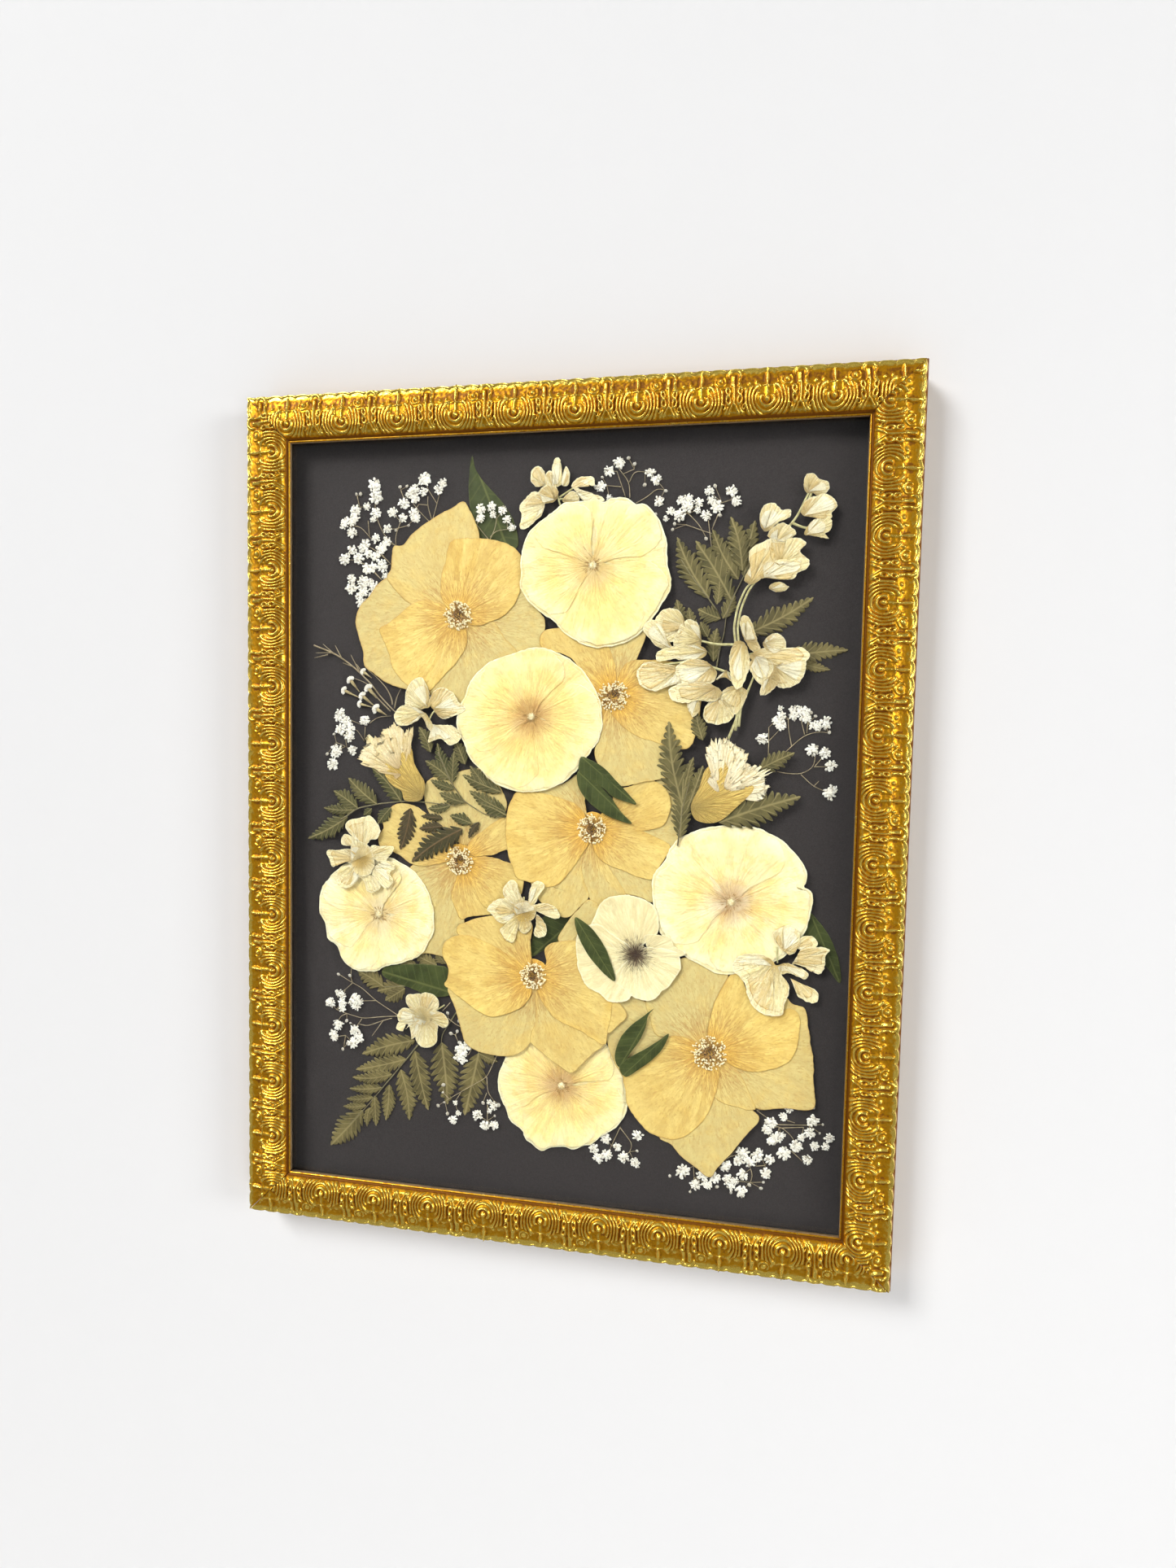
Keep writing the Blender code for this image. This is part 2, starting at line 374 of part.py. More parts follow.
# Ferns: level, midrib runs with their width, and leaflets as (base, tip, width)
FERNS = {
    "fern_upper_right": (0, [([(78.5, 80), (80, 90), (82, 98), (82.5, 105), (85, 114),
                               (89, 122), (93.5, 132)], 1.3),
                             ([(82, 98), (78, 109), (73, 117)], 1.2)], [
        ((77.5, 109), (56.5, 147), 12), ((85, 113), (65.5, 145), 12),
        ((87, 118), (74, 150), 11), ((89, 122), (83, 156), 11), ((90, 124), (95.5, 154), 11),
        ((80.5, 104), (67, 110), 9), ((81, 103), (87, 117), 6), ((78, 108), (79, 124), 6),
        ((78.7, 83), (78.5, 101.5), 7)]),
    "fern_right": (0, [([(93, 97.5), (110, 104)], 1.0)], [((94, 97.8), (126, 116), 11)]),
    "fern_far_right": (0, [([(105, 84), (118, 87)], 1.0)], [
        ((108, 84.7), (143, 90), 10), ((115, 86), (134, 80), 6)]),
    "fern_by_carnation": (4, [([(63, -4), (63.5, 12), (62, 24)], 1.6),
                              ([(63, 2), (70, 7), (84, 6)], 1.4),
                              ([(74, 6.5), (90, 24), (104, 33)], 1.4)], [
        ((63, 14), (55.5, 57), 13), ((63, 16), (69, 38), 8), ((63.5, 10), (74, 34), 9),
        ((73, 40), (69, 60), 7), ((63, -3), (61, 22), 10), ((82, 5.5), (123.5, 19.5), 14),
        ((99, 29), (118.5, 40.5), 8), ((73.5, 10), (73, 42), 5)]),
    "fern_left": (2, [([(-122, -3), (-110, 5), (-99, 7.5), (-85, 9.5), (-72, 9.5),
                        (-56, 8), (-42, 5), (-29, 4.5)], 1.4),
                      ([(-53.5, 7), (-58, 21), (-65, 36)], 1.2)], [
        ((-115, 1), (-140.5, -13.5), 9), ((-111, 4), (-131, 4.5), 6),
        ((-110, 5), (-125, 14.5), 8), ((-99, 7.3), (-116.5, 22), 9),
        ((-84, 9.3), (-102, 27), 9), ((-91, 8.5), (-99, -4), 7),
        ((-57, 19), (-74, 32), 8), ((-66, 33), (-77, 50), 7), ((-57, 19), (-66, 42), 7),
        ((-57, 17), (-53, 38), 7), ((-29.3, 15), (-53, 25), 7), ((-28.3, 6), (-49, 17), 9),
        ((-56, 15), (-70, 20), 7), ((-56, 8), (-71, 4), 6), ((-78, 9), (-86, -18), 9),
        ((-51, 8), (-81, -24), 11), ((-42, 5), (-48, -9.5), 6), ((-31, 15), (-29, 5), 3)]),
    "fern_lower_left": (0, [([(-100, -85), (-90, -90), (-82, -92)], 1.2),
                            ([(-86, -91), (-76, -80), (-62, -74)], 1.2)], [
        ((-94, -88), (-111.5, -83.5), 9), ((-86, -90.5), (-100, -95), 8),
        ((-83, -91), (-92, -101), 9), ((-79, -83), (-90, -77), 6),
        ((-72, -78), (-79, -71.5), 6), ((-64, -75), (-66, -70.5), 6)]),
    "fern_bottom_left": (0, [([(-75, -121), (-81, -130), (-89, -140), (-97, -150),
                               (-105, -160), (-115, -171)], 1.3)], [
        ((-76, -121), (-109.5, -131), 12), ((-82, -131), (-113, -140), 9),
        ((-89, -140), (-114.5, -144.5), 7), ((-95, -148), (-116, -150.5), 6),
        ((-101, -155), (-117.5, -156.5), 5), ((-105, -159.5), (-119.5, -161), 4),
        ((-105, -159), (-127, -185), 11), ((-77, -124), (-68.5, -160), 11),
        ((-85, -135), (-79.5, -166.5), 9), ((-91, -143), (-93.5, -167.5), 7),
        ((-98, -151), (-99, -171), 6), ((-104, -158), (-104.5, -171.5), 4)]),
    "fern_bottom_centre": (0, [([(-52, -100), (-57, -108), (-62, -118)], 1.3),
                               ([(-52, -100), (-46, -112), (-41, -124)], 1.3)], [
        ((-61, -116), (-58, -156), 15), ((-41, -122), (-49.5, -161), 13),
        ((-42, -121), (-30, -129), 6)]),
}

# Baby's breath: level, stems, and flower heads as (x, z, radius)
BREATH_STEM = 0.8
HEAD_SIDES = 5
BREATH = {
    "breath_upper_left": (0, [
        [(-80, 130), (-93.3, 145), (-102.7, 158.1), (-101.5, 175)],
        [(-93.3, 145), (-109.8, 154.6), (-113, 162)], [(-109.8, 154.6), (-119, 155.5)],
        [(-80, 130), (-101, 137.5), (-119, 138)], [(-86, 132), (-112, 124), (-109, 114)],
        [(-108, 137.7), (-107, 145)], [(-70, 140), (-70.4, 156), (-80, 170)],
        [(-70.4, 156), (-74.5, 177)], [(-70.2, 156), (-65.5, 175)],
        [(-93.3, 145), (-83.5, 158), (-92, 162)], [(-80, 130), (-69.5, 141)]],
        [(-101.8, 175.4, 4.1), (-101.2, 169.5, 4), (-102.6, 162, 4), (-113, 161.5, 4),
         (-119.1, 155.8, 3.1), (-114, 154.4, 4), (-94.8, 151.5, 3.4), (-100.4, 146, 3.8),
         (-107.3, 144.4, 3.8), (-114.8, 141.8, 3.3), (-119, 137.5, 3.4), (-106.5, 137.6, 3.6),
         (-104.5, 131.8, 3.9), (-97, 132.5, 3.8), (-114.6, 124.6, 4.2), (-107, 123, 4.4),
         (-108.9, 114.6, 3.6), (-102.4, 122.4, 3.8), (-80, 171, 4.4), (-74.4, 177, 3.6),
         (-65.4, 174, 3.9), (-85.6, 165.6, 3.6), (-91.8, 161.4, 3.2), (-81.4, 159.5, 4.2)]),
    "breath_on_leaf": (1, [
        [(-38.6, 140), (-38.6, 146), (-44.5, 154)], [(-38.6, 146), (-37, 161)],
        [(-38, 151), (-27, 151.5)], [(-29.5, 151.3), (-31, 159)]],
        [(-43.6, 160.6, 3.2), (-43.8, 156, 3), (-37.3, 161.4, 3.2), (-30.8, 158.8, 3.3),
         (-27.2, 152.2, 2.8)]),
    "breath_top": (0, [
        [(34, 150), (33.2, 172.7), (27.7, 180), (22.7, 178)], [(33.2, 172.7), (42, 177)],
        [(34, 165), (18.6, 171)], [(34, 158), (43.6, 165.9), (46.8, 172)],
        [(43.6, 165.9), (48.2, 163)]],
        [(22.7, 178, 3), (27.7, 182, 3.4), (18.6, 170.9, 3.1), (43.6, 176.8, 3),
         (46.8, 173, 3), (48.2, 162.7, 2.9)]),
    "breath_upper_right": (1, [
        [(75, 128), (74.5, 146.4), (58, 153), (54, 157)], [(74.5, 146.4), (76.8, 159), (73, 166)],
        [(74.5, 146.4), (71, 156), (67.5, 162)],
        [(66, 149.7), (61, 160)], [(74.5, 150), (84.5, 163)]],
        [(54.6, 157, 3), (59.2, 156.2, 3.3), (60.6, 162.4, 3.8), (67.5, 160.8, 3.2),
         (73.4, 165.4, 3.4), (76.8, 159.4, 3.6), (71.2, 155.4, 3.1), (84.3, 164.6, 3.9)]),
    "breath_right": (0, [
        [(99, 29), (120.8, 29.3), (127, 33), (131, 40)], [(127, 33.3), (134, 33.6)],
        [(120.8, 29.3), (127, 23.5), (134, 21)], [(103, 28), (116, 43), (131, 52.5)],
        [(114.5, 41.5), (115, 59)], [(103, 28), (104, 46), (110, 56)]],
        [(102.4, 46.4, 3.3), (110.3, 56, 4.2), (116.6, 59, 3.6), (121.6, 59, 4),
         (127.2, 53, 3.2), (131.8, 54, 3.5), (127, 41, 3.4), (131.8, 39.6, 3.2),
         (134.8, 33.8, 3.2), (135.2, 21.2, 3.6)]),
    "breath_left": (0, [
        [(-98, 30), (-107, 40.7), (-111.3, 46.7), (-117, 51)], [(-107, 40.7), (-107, 50)],
        [(-98, 30), (-112, 37), (-123, 35), (-125.3, 28)]],
        [(-121.3, 54.6, 3.7), (-117.6, 50.8, 3.4), (-120.7, 46.8, 3.5), (-115.2, 45.2, 3.9),
         (-107, 51.6, 3.2), (-123.3, 35.2, 3.6), (-125.3, 28.6, 3.4), (-114, 36, 3)]),
    "breath_lower_left": (1, [
        [(-76, -106), (-86, -107.3), (-99.5, -99.8), (-113, -91), (-120.5, -87)],
        [(-99.5, -99.8), (-111, -101)], [(-86, -107.3), (-107, -110.3), (-126, -102.5)],
        [(-119, -105.5), (-122, -120)], [(-107, -110.3), (-111.5, -123)]],
        [(-119.8, -97.8, 3.4), (-126, -102.8, 3.2), (-119.2, -103.6, 3.4),
         (-111.4, -100.6, 4.2), (-121.4, -115, 3.3), (-124, -120.8, 3.2), (-110.8, -118.6, 4),
         (-112.5, -124.2, 3.6)]),
    "breath_bottom_left": (1, [
        [(-30, -115), (-30.6, -123.5), (-36.2, -136.5), (-50.6, -145.9), (-54.7, -161)],
        [(-36.2, -136.5), (-35.5, -162)], [(-35.8, -147), (-32, -151)],
        [(-35.6, -151), (-41.5, -157.5)], [(-30, -115), (-44, -112), (-50, -120)]],
        [(-50.2, -123.8, 5), (-54.7, -161, 2.8), (-52.6, -155.6, 2.4), (-41.2, -157.6, 3.1),
         (-36.8, -162.4, 3.1), (-31.8, -162, 2.9), (-32, -151.8, 2.8)]),
    "breath_bottom": (0, [
        [(33, -145), (35.9, -156.3), (31.5, -166.8), (24, -171)],
        [(35.9, -156.5), (42.8, -165), (40, -172)], [(42.8, -165), (45, -160)],
        [(34, -161), (28, -164)]],
        [(28.5, -164, 3.2), (22.8, -169.4, 3), (24.6, -174, 3.1), (29.3, -171.6, 3.4),
         (34.6, -168, 3), (38.4, -172.4, 3.4), (44.1, -174.2, 3.2), (45, -159.8, 3.1)]),
    "breath_bottom_right": (0, [
        [(96, -132), (104.6, -140.3), (112, -145.5), (131, -144)],
        [(104.6, -140.3), (120, -139)], [(112, -145.5), (129, -150), (140, -152)],
        [(112, -145.5), (118.5, -160)], [(116, -154), (124.6, -156.4), (130.2, -163)],
        [(96, -132), (92, -150), (90, -171), (79, -177), (68.7, -176.5)],
        [(90.5, -166), (98.5, -163.5), (112, -165)], [(90, -171), (98.5, -183)],
        [(103, -164), (110.4, -172.4)], [(98, -165), (98.6, -176)], [(129, -150), (134, -157)]],
        [(68.7, -176.6, 4), (76.6, -180.6, 3.8), (82.2, -179.2, 4), (90.2, -171.4, 3.5),
         (92.2, -178.4, 3.6), (98.6, -175.4, 3.4), (98.5, -183, 3.4), (97.8, -164.6, 4.2),
         (104.4, -165, 4.4), (112, -165, 3), (110.4, -172.2, 3.3), (118.7, -160.8, 3.8),
         (130.2, -163, 2.9), (124.6, -156.8, 3.6), (111.4, -147.6, 4), (114.6, -153.4, 3.8),
         (119.6, -140, 3.4), (132.2, -143.4, 3.7), (129.4, -150.6, 4), (134, -155.8, 2.8),
         (139.6, -153.4, 3.6)]),
}

# The wax flower sprig: needle runs and buds as (tail point, head point, head radius)
WAX_LEVEL = 1
WAX_STEMS = [
    ([(-136, 92), (-125, 88), (-102.7, 71.3), (-86, 54)], 1.5),
    ([(-123.7, 92.5), (-117, 82)], 0.9),
    ([(-136, 86), (-121, 86)], 0.9),
    ([(-106, 80), (-94, 69.3), (-89, 57)], 0.9),
    ([(-86.3, 69), (-89, 57)], 0.9),
]
WAX_BUDS = [
    ((-101, 71), (-107, 77.7), 2.6), ((-104, 66), (-114.3, 73), 3.2),
    ((-98, 63), (-117.7, 67.7), 2.9), ((-94, 60), (-107.3, 63.5), 3.4),
    ((-90, 57), (-100.5, 58), 3.4),
]


def clear_scene():
    """Remove every object that the start-up scene holds."""
    for item in list(bpy.data.objects):
        bpy.data.objects.remove(item, do_unlink=True)


def new_collection(name):
    """Make a collection and link it to the scene."""
    collection = bpy.data.collections.new(name)
    bpy.context.scene.collection.children.link(collection)
    return collection


def new_material(name, colour, roughness, metallic=0.0):
    """Make a Principled material."""
    material = bpy.data.materials.new(name)
    material.use_nodes = True
    shader = material.node_tree.nodes["Principled BSDF"]
    shader.inputs["Base Color"].default_value = colour
    shader.inputs["Roughness"].default_value = roughness
    shader.inputs["Metallic"].default_value = metallic
    return material


def to_row(x, z, depth):
    """Turn millimetres right, up and in front of the origin plane into metres."""
    return Vector((x * MM, -depth * MM, z * MM))


def add_object(name, mesh, material, collection):
    """Link a mesh to the model's collection as a named object."""
    mesh.name = name
    mesh.materials.clear()
    mesh.materials.append(material)
    item = bpy.data.objects.new(name, mesh)
    collection.objects.link(item)
    return item


def upright(mesh):
    """Turn a mesh drawn flat, with its front towards +Z, to face -Y, without rounding."""
    mesh.transform(Matrix(((1, 0, 0, 0), (0, 0, -1, 0), (0, 1, 0, 0), (0, 0, 0, 1))))
    return mesh


def box_mesh(x_range, z_range, depth_range):
    """Make a box from its limits in millimetres."""
    low = to_row(x_range[0], z_range[0], depth_range[1])
    high = to_row(x_range[1], z_range[1], depth_range[0])
    mesh = bpy.data.meshes.new("box")
    shape = bmesh.new()
    bmesh.ops.create_cube(shape, size=1.0)
    bmesh.ops.scale(shape, vec=high - low, verts=shape.verts)
    bmesh.ops.translate(shape, vec=(low + high) / 2, verts=shape.verts)
    shape.to_mesh(mesh)
    shape.free()
    return mesh


def plate_mesh(outline, back, front):
    """Make a plate, drawn flat: a filled 2D curve, extruded between two depths."""
    curve = bpy.data.curves.new("outline", "CURVE")
    curve.dimensions = "2D"
    curve.fill_mode = "BOTH"
    curve.extrude = (front - back) * MM / 2
    spline = curve.splines.new("POLY")
    spline.points.add(len(outline) - 1)
    for point, (x, z) in zip(spline.points, outline):
        point.co = (x * MM, z * MM, 0.0, 1.0)
    spline.use_cyclic_u = True
    guide = bpy.data.objects.new("outline", curve)
    bpy.context.scene.collection.objects.link(guide)
    bpy.context.view_layer.update()
    depsgraph = bpy.context.evaluated_depsgraph_get()
    mesh = bpy.data.meshes.new_from_object(guide.evaluated_get(depsgraph))
    bpy.data.objects.remove(guide, do_unlink=True)
    bpy.data.curves.remove(curve)
    shape = bmesh.new()
    shape.from_mesh(mesh)
    bmesh.ops.remove_doubles(shape, verts=shape.verts, dist=WELD)
    for vert in shape.verts:
        vert.co.z = (front if vert.co.z > 0.0 else back) * MM
    bmesh.ops.recalc_face_normals(shape, faces=shape.faces)
    shape.to_mesh(mesh)
    shape.free()
    return mesh


def frustum_mesh(outline, back, front, top_share):
    """Make a plate, drawn flat, whose front is a smaller copy of its back."""
    mesh = plate_mesh(outline, back, front)
    middle = sum((Vector((x, z, 0.0)) for x, z in outline), Vector()) / len(outline)
    shape = bmesh.new()
    shape.from_mesh(mesh)
    top = [vert for vert in shape.verts if vert.co.z > (back + front) * MM / 2]
    bmesh.ops.scale(shape, vec=(top_share, top_share, 1.0), verts=top,
                    space=Matrix.Translation(-middle * MM))
    shape.to_mesh(mesh)
    shape.free()
    return mesh


def join_meshes(meshes):
    """Put several meshes in one, without joining their surfaces."""
    joined = bpy.data.meshes.new("joined")
    shape = bmesh.new()
    for mesh in meshes:
        shape.from_mesh(mesh)
        bpy.data.meshes.remove(mesh)
    shape.to_mesh(joined)
    shape.free()
    return joined


def fuse(name, meshes, material, collection, cutters):
    """Unite overlapping closed meshes into one solid object."""
    item = add_object(name, meshes[0], material, collection)
    if len(meshes) > 1:
        tool = add_object(name + "_tool", join_meshes(meshes[1:]), material, cutters)
        tool.hide_render = True
        tool.display_type = "WIRE"
        union = item.modifiers.new("union", "BOOLEAN")
        union.operation = "UNION"
        union.solver = "EXACT"
        union.use_self = True
        union.object = tool
        bpy.context.view_layer.update()
        depsgraph = bpy.context.evaluated_depsgraph_get()
        united = bpy.data.meshes.new_from_object(item.evaluated_get(depsgraph))
        item.modifiers.clear()
        item.data = united
        united.name = name
        bpy.data.objects.remove(tool, do_unlink=True)
    tidy_mesh(item.data)
    return item


def tidy_mesh(mesh):
    """Weld a mesh, merge its flat neighbouring faces and cut them into triangles."""
    shape = bmesh.new()
    shape.from_mesh(mesh)
    bmesh.ops.remove_doubles(shape, verts=shape.verts, dist=WELD)
    bmesh.ops.dissolve_limit(shape, angle_limit=FLAT_ANGLE, verts=shape.verts,
                             edges=shape.edges)
    bmesh.ops.triangulate(shape, faces=shape.faces)
    shape.to_mesh(mesh)
    shape.free()


def merged_mesh(outlines, back, front):
    """Merge overlapping outlines in the plane and raise the result between two depths."""
    points = []
    loops = []
    for outline in outlines:
        ring = [Vector(point) for point in outline]
        turn = sum(a.cross(b) for a, b in zip(ring, ring[1:] + ring[:1]))
        ring = ring if turn > 0.0 else ring[::-1]
        loops.append(list(range(len(points), len(points) + len(ring))))
        points += ring
    places, _, cells, _, _, owners = delaunay_2d_cdt(points, [], loops, 0, 0.0001)
    mesh = bpy.data.meshes.new("merged")
    shape = bmesh.new()
    verts = [shape.verts.new((place.x * MM, place.y * MM, back * MM)) for place in places]
    for cell, owner in zip(cells, owners):
        if owner:
            shape.faces.new([verts[k] for k in cell])
    loose = [vert for vert in shape.verts if not vert.link_faces]
    bmesh.ops.delete(shape, geom=loose, context="VERTS")
    bmesh.ops.dissolve_limit(shape, angle_limit=FLAT_ANGLE, verts=shape.verts,
                             edges=shape.edges)
    rim = [edge for edge in shape.edges if edge.is_boundary and edge.calc_length() < SHORT_EDGE]
    bmesh.ops.collapse(shape, edges=rim)
    wires = [edge for edge in shape.edges if edge.is_wire]
    bmesh.ops.delete(shape, geom=wires, context="EDGES")
    bmesh.ops.dissolve_limit(shape, angle_limit=FLAT_ANGLE, verts=shape.verts,
                             edges=shape.edges)
    raised = bmesh.ops.extrude_face_region(shape, geom=shape.faces[:], use_keep_orig=True)
    top = [part for part in raised["geom"] if isinstance(part, bmesh.types.BMVert)]
    bmesh.ops.translate(shape, vec=(0.0, 0.0, (front - back) * MM), verts=top)
    bmesh.ops.recalc_face_normals(shape, faces=shape.faces)
    bmesh.ops.triangulate(shape, faces=shape.faces)
    shape.to_mesh(mesh)
    shape.free()
    return mesh


def round_outline(centre, radius, sides, turn=0.0):
    """Give the corners of a regular polygon."""
    return [(centre[0] + radius * math.cos(turn + 2 * math.pi * k / sides),
             centre[1] + radius * math.sin(turn + 2 * math.pi * k / sides))
            for k in range(sides)]


def ribbon_outline(points, width):
    """Give the outline of a flat strip that follows a line and is narrower at its end."""
    left = []
    right = []
    for k, point in enumerate(points):
        before = Vector(points[max(k - 1, 0)])
        after = Vector(points[min(k + 1, len(points) - 1)])
        along = (after - before).normalized()
        half = width / 2 * (1.0 - k / (3.0 * (len(points) - 1)))
        left.append((point[0] - along.y * half, point[1] + along.x * half))
        right.append((point[0] + along.y * half, point[1] - along.x * half))
    return left + right[::-1]


def leaflet_outline(base, tip, width):
    """Give a fern leaflet's outline: widest a third of the way out, with a slender tip."""
    base = Vector(base)
    axis = Vector(tip) - base
    side = Vector((-axis.y, axis.x)).normalized() * width / 2
    edge = LONG_LEAFLET if axis.length > LONG_LEAFLET_LENGTH else SHORT_LEAFLET
    places = [base + axis * along + side * reach for along, reach in edge]
    places += [base + axis * along - side * reach for along, reach in edge[::-1] if reach]
    return [tuple(place) for place in places]


def bud_outline(tail, head, radius):
    """Give the outline of a cone-shaped bud with a round head."""
    tail = Vector(tail)
    head = Vector(head)
    axis = (head - tail).normalized()
    side = Vector((-axis.y, axis.x))
    crown = head + axis * radius * 0.8
    return [tuple(tail + side * 0.4), tuple(head + side * radius),
            tuple(crown + side * radius * 0.5), tuple(crown - side * radius * 0.5),
            tuple(head - side * radius), tuple(tail - side * 0.4)]


def level_depth(level):
    """Give the back depth of a specimen level."""
    return BOARD_FRONT + FIT_GAP + level * LEVEL_STEP


def petal_plates(petals, level):
    """Make one plate for each petal, each reaching a little further forward than the last."""
    back = level_depth(level)
    step = (FLOWER_THICKNESS - PETAL_THICKNESS) / max(len(petals) - 1, 1)
    return [plate_mesh(petal, back, back + PETAL_THICKNESS + step * k)
            for k, petal in enumerate(petals)]


def section_mesh(reach):
    """Sweep the moulding's section along X, with the sight edge at the bottom."""
    mesh = bpy.data.meshes.new("rail")
    shape = bmesh.new()
    corners = [shape.verts.new((-reach * MM, out * MM, depth * MM))
               for out, depth in RAIL_SECTION]
    face = shape.faces.new(corners)
    swept = bmesh.ops.extrude_face_region(shape, geom=[face], use_keep_orig=True)
    moved = [part for part in swept["geom"] if isinstance(part, bmesh.types.BMVert)]
    bmesh.ops.translate(shape, vec=(2 * reach * MM, 0.0, 0.0), verts=moved)
    bmesh.ops.recalc_face_normals(shape, faces=shape.faces)
    shape.to_mesh(mesh)
    shape.free()
    return mesh


def build_rail(name, along_half, centre, turn, first_scroll, material, collection, cutters):
    """Build one mitred rail from its section, with a shell scroll at every pitch.

    The rail is drawn flat along X with the sight edge at the bottom, and then turned to its
    place.
    """
    reach = along_half + RAIL_FACE
    pieces = [section_mesh(reach + SCROLL_PITCH)]
    place = first_scroll
    while place < reach + SCROLL_PITCH / 2:
        outline = [(place + x, out) for x, out in SCROLL_OUTLINE]
        pieces.append(frustum_mesh(outline, SCROLL_BASE_DEPTH, SCROLL_DEPTH, SCROLL_TOP_SHARE))
        place += SCROLL_PITCH
    rail = fuse(name, pieces, material, collection, cutters)
    shape = bmesh.new()
    shape.from_mesh(rail.data)
    for side in (-1, 1):
        bmesh.ops.bisect_plane(shape, geom=shape.verts[:] + shape.edges[:] + shape.faces[:],
                               plane_co=(side * (along_half - FIT_GAP / 2) * MM, 0.0, 0.0),
                               plane_no=(side, -1.0, 0.0), clear_outer=True, dist=0.000001)
        rim = [edge for edge in shape.edges if edge.is_boundary]
        bmesh.ops.triangle_fill(shape, edges=rim, use_beauty=True)
    bmesh.ops.recalc_face_normals(shape, faces=shape.faces)
    shape.to_mesh(rail.data)
    shape.free()
    tidy_mesh(rail.data)
    rail.data.transform(Matrix.Translation(Vector((centre[0] * MM, centre[1] * MM, 0.0)))
                        @ Matrix.Rotation(turn, 4, "Z"))
    upright(rail.data)


def build_frame(collection, cutters):
    """Build the four rails, mitred at the corners."""
    gold = new_material("gilded_moulding", GOLD, 0.32, 0.85)
    half_width = SIGHT_WIDTH / 2
    half_height = SIGHT_HEIGHT / 2
    rails = [
        ("rail_top", half_width, (0.0, half_height), 0.0, -146.0),
        ("rail_bottom", half_width, (0.0, -half_height), math.pi, -149.6),
        ("rail_left", half_height, (-half_width, 0.0), math.pi / 2, -206.3),
        ("rail_right", half_height, (half_width, 0.0), -math.pi / 2, -202.0),
    ]
    for name, along_half, centre, turn, first in rails:
        build_rail(name, along_half, centre, turn, first, gold, collection, cutters)


def build_sheets(collection, cutters):
    """Build the glass, the spacer mat, the mount board and the backing panel."""
    half_width = SIGHT_WIDTH / 2 + REBATE_WIDTH - FIT_GAP
    half_height = SIGHT_HEIGHT / 2 + REBATE_WIDTH - FIT_GAP
    sheets = [
        ("glass_pane", GLASS_BACK, GLASS_FRONT, new_material("glass", GLASS_TINT, 0.02)),
        ("mount_board", BOARD_BACK, BOARD_FRONT, new_material("board", CHARCOAL, 0.95)),
        ("backing_panel", 0.0, PANEL_THICKNESS, new_material("hardboard", HARDBOARD, 0.8)),
    ]
    for name, back, front, material in sheets:
        mesh = box_mesh((-half_width, half_width), (-half_height, half_height), (back, front))
        add_object(name, mesh, material, collection)
    black = new_material("spacer", BLACK, 0.9)
    depths = (BOARD_FRONT + FIT_GAP, GLASS_BACK - FIT_GAP)
    ring = box_mesh((-half_width, half_width), (-half_height, half_height), depths)
    spacer = add_object("spacer_mat", ring, black, collection)
    inner_width = SIGHT_WIDTH / 2 + SPACER_INSET
    inner_height = SIGHT_HEIGHT / 2 + SPACER_INSET
    window = box_mesh((-inner_width, inner_width), (-inner_height, inner_height),
                      (0.0, LIP_BACK))
    cutter = add_object("spacer_window", window, black, cutters)
    cutter.hide_render = True
    cutter.display_type = "WIRE"
    cut = spacer.modifiers.new("window", "BOOLEAN")
    cut.operation = "DIFFERENCE"
    cut.solver = "EXACT"
    cut.object = cutter


def build_fittings(collection):
    """Build the turn points that hold the panel in and the sawtooth hanger."""
    steel = new_material("plated_steel", STEEL, 0.35, 1.0)
    edge_x = SIGHT_WIDTH / 2 + REBATE_WIDTH
    edge_z = SIGHT_HEIGHT / 2 + REBATE_WIDTH
    back = RAIL_BACK_DEPTH - FIT_GAP - POINT_THICKNESS
    inner = POINT_OVERLAP
    outer = POINT_LENGTH - POINT_OVERLAP
    half = POINT_WIDTH / 2
    points = [
        ("turn_point_top", (-60.0 - half, -60.0 + half), (edge_z - inner, edge_z + outer)),
        ("turn_point_bottom", (-half, half), (-edge_z - outer, -edge_z + inner)),
        ("turn_point_left", (-edge_x - outer, -edge_x + inner), (-half, half)),
        ("turn_point_right", (edge_x - inner, edge_x + outer), (-half, half)),
    ]
    for name, x_range, z_range in points:
        mesh = box_mesh(x_range, z_range, (back, back + POINT_THICKNESS))
        add_object(name, mesh, steel, collection)
    bottom = SIGHT_HEIGHT / 2 + HANGER_OUT
    top = bottom + HANGER_HEIGHT
    half = HANGER_WIDTH / 2
    pitch = (HANGER_WIDTH - 2 * HANGER_EAR) / HANGER_TEETH
    outline = [(-half, top), (-half, bottom)]
    for k in range(HANGER_TEETH):
        left = -half + HANGER_EAR + pitch * k
        outline += [(left, bottom), (left + pitch / 2, bottom + HANGER_TOOTH)]
    outline += [(half - HANGER_EAR, bottom), (half, bottom), (half, top)]
    back = RAIL_BACK_DEPTH - FIT_GAP
    plate = upright(plate_mesh(outline, back - HANGER_THICKNESS, back))
    add_object("sawtooth_hanger", plate, steel, collection)


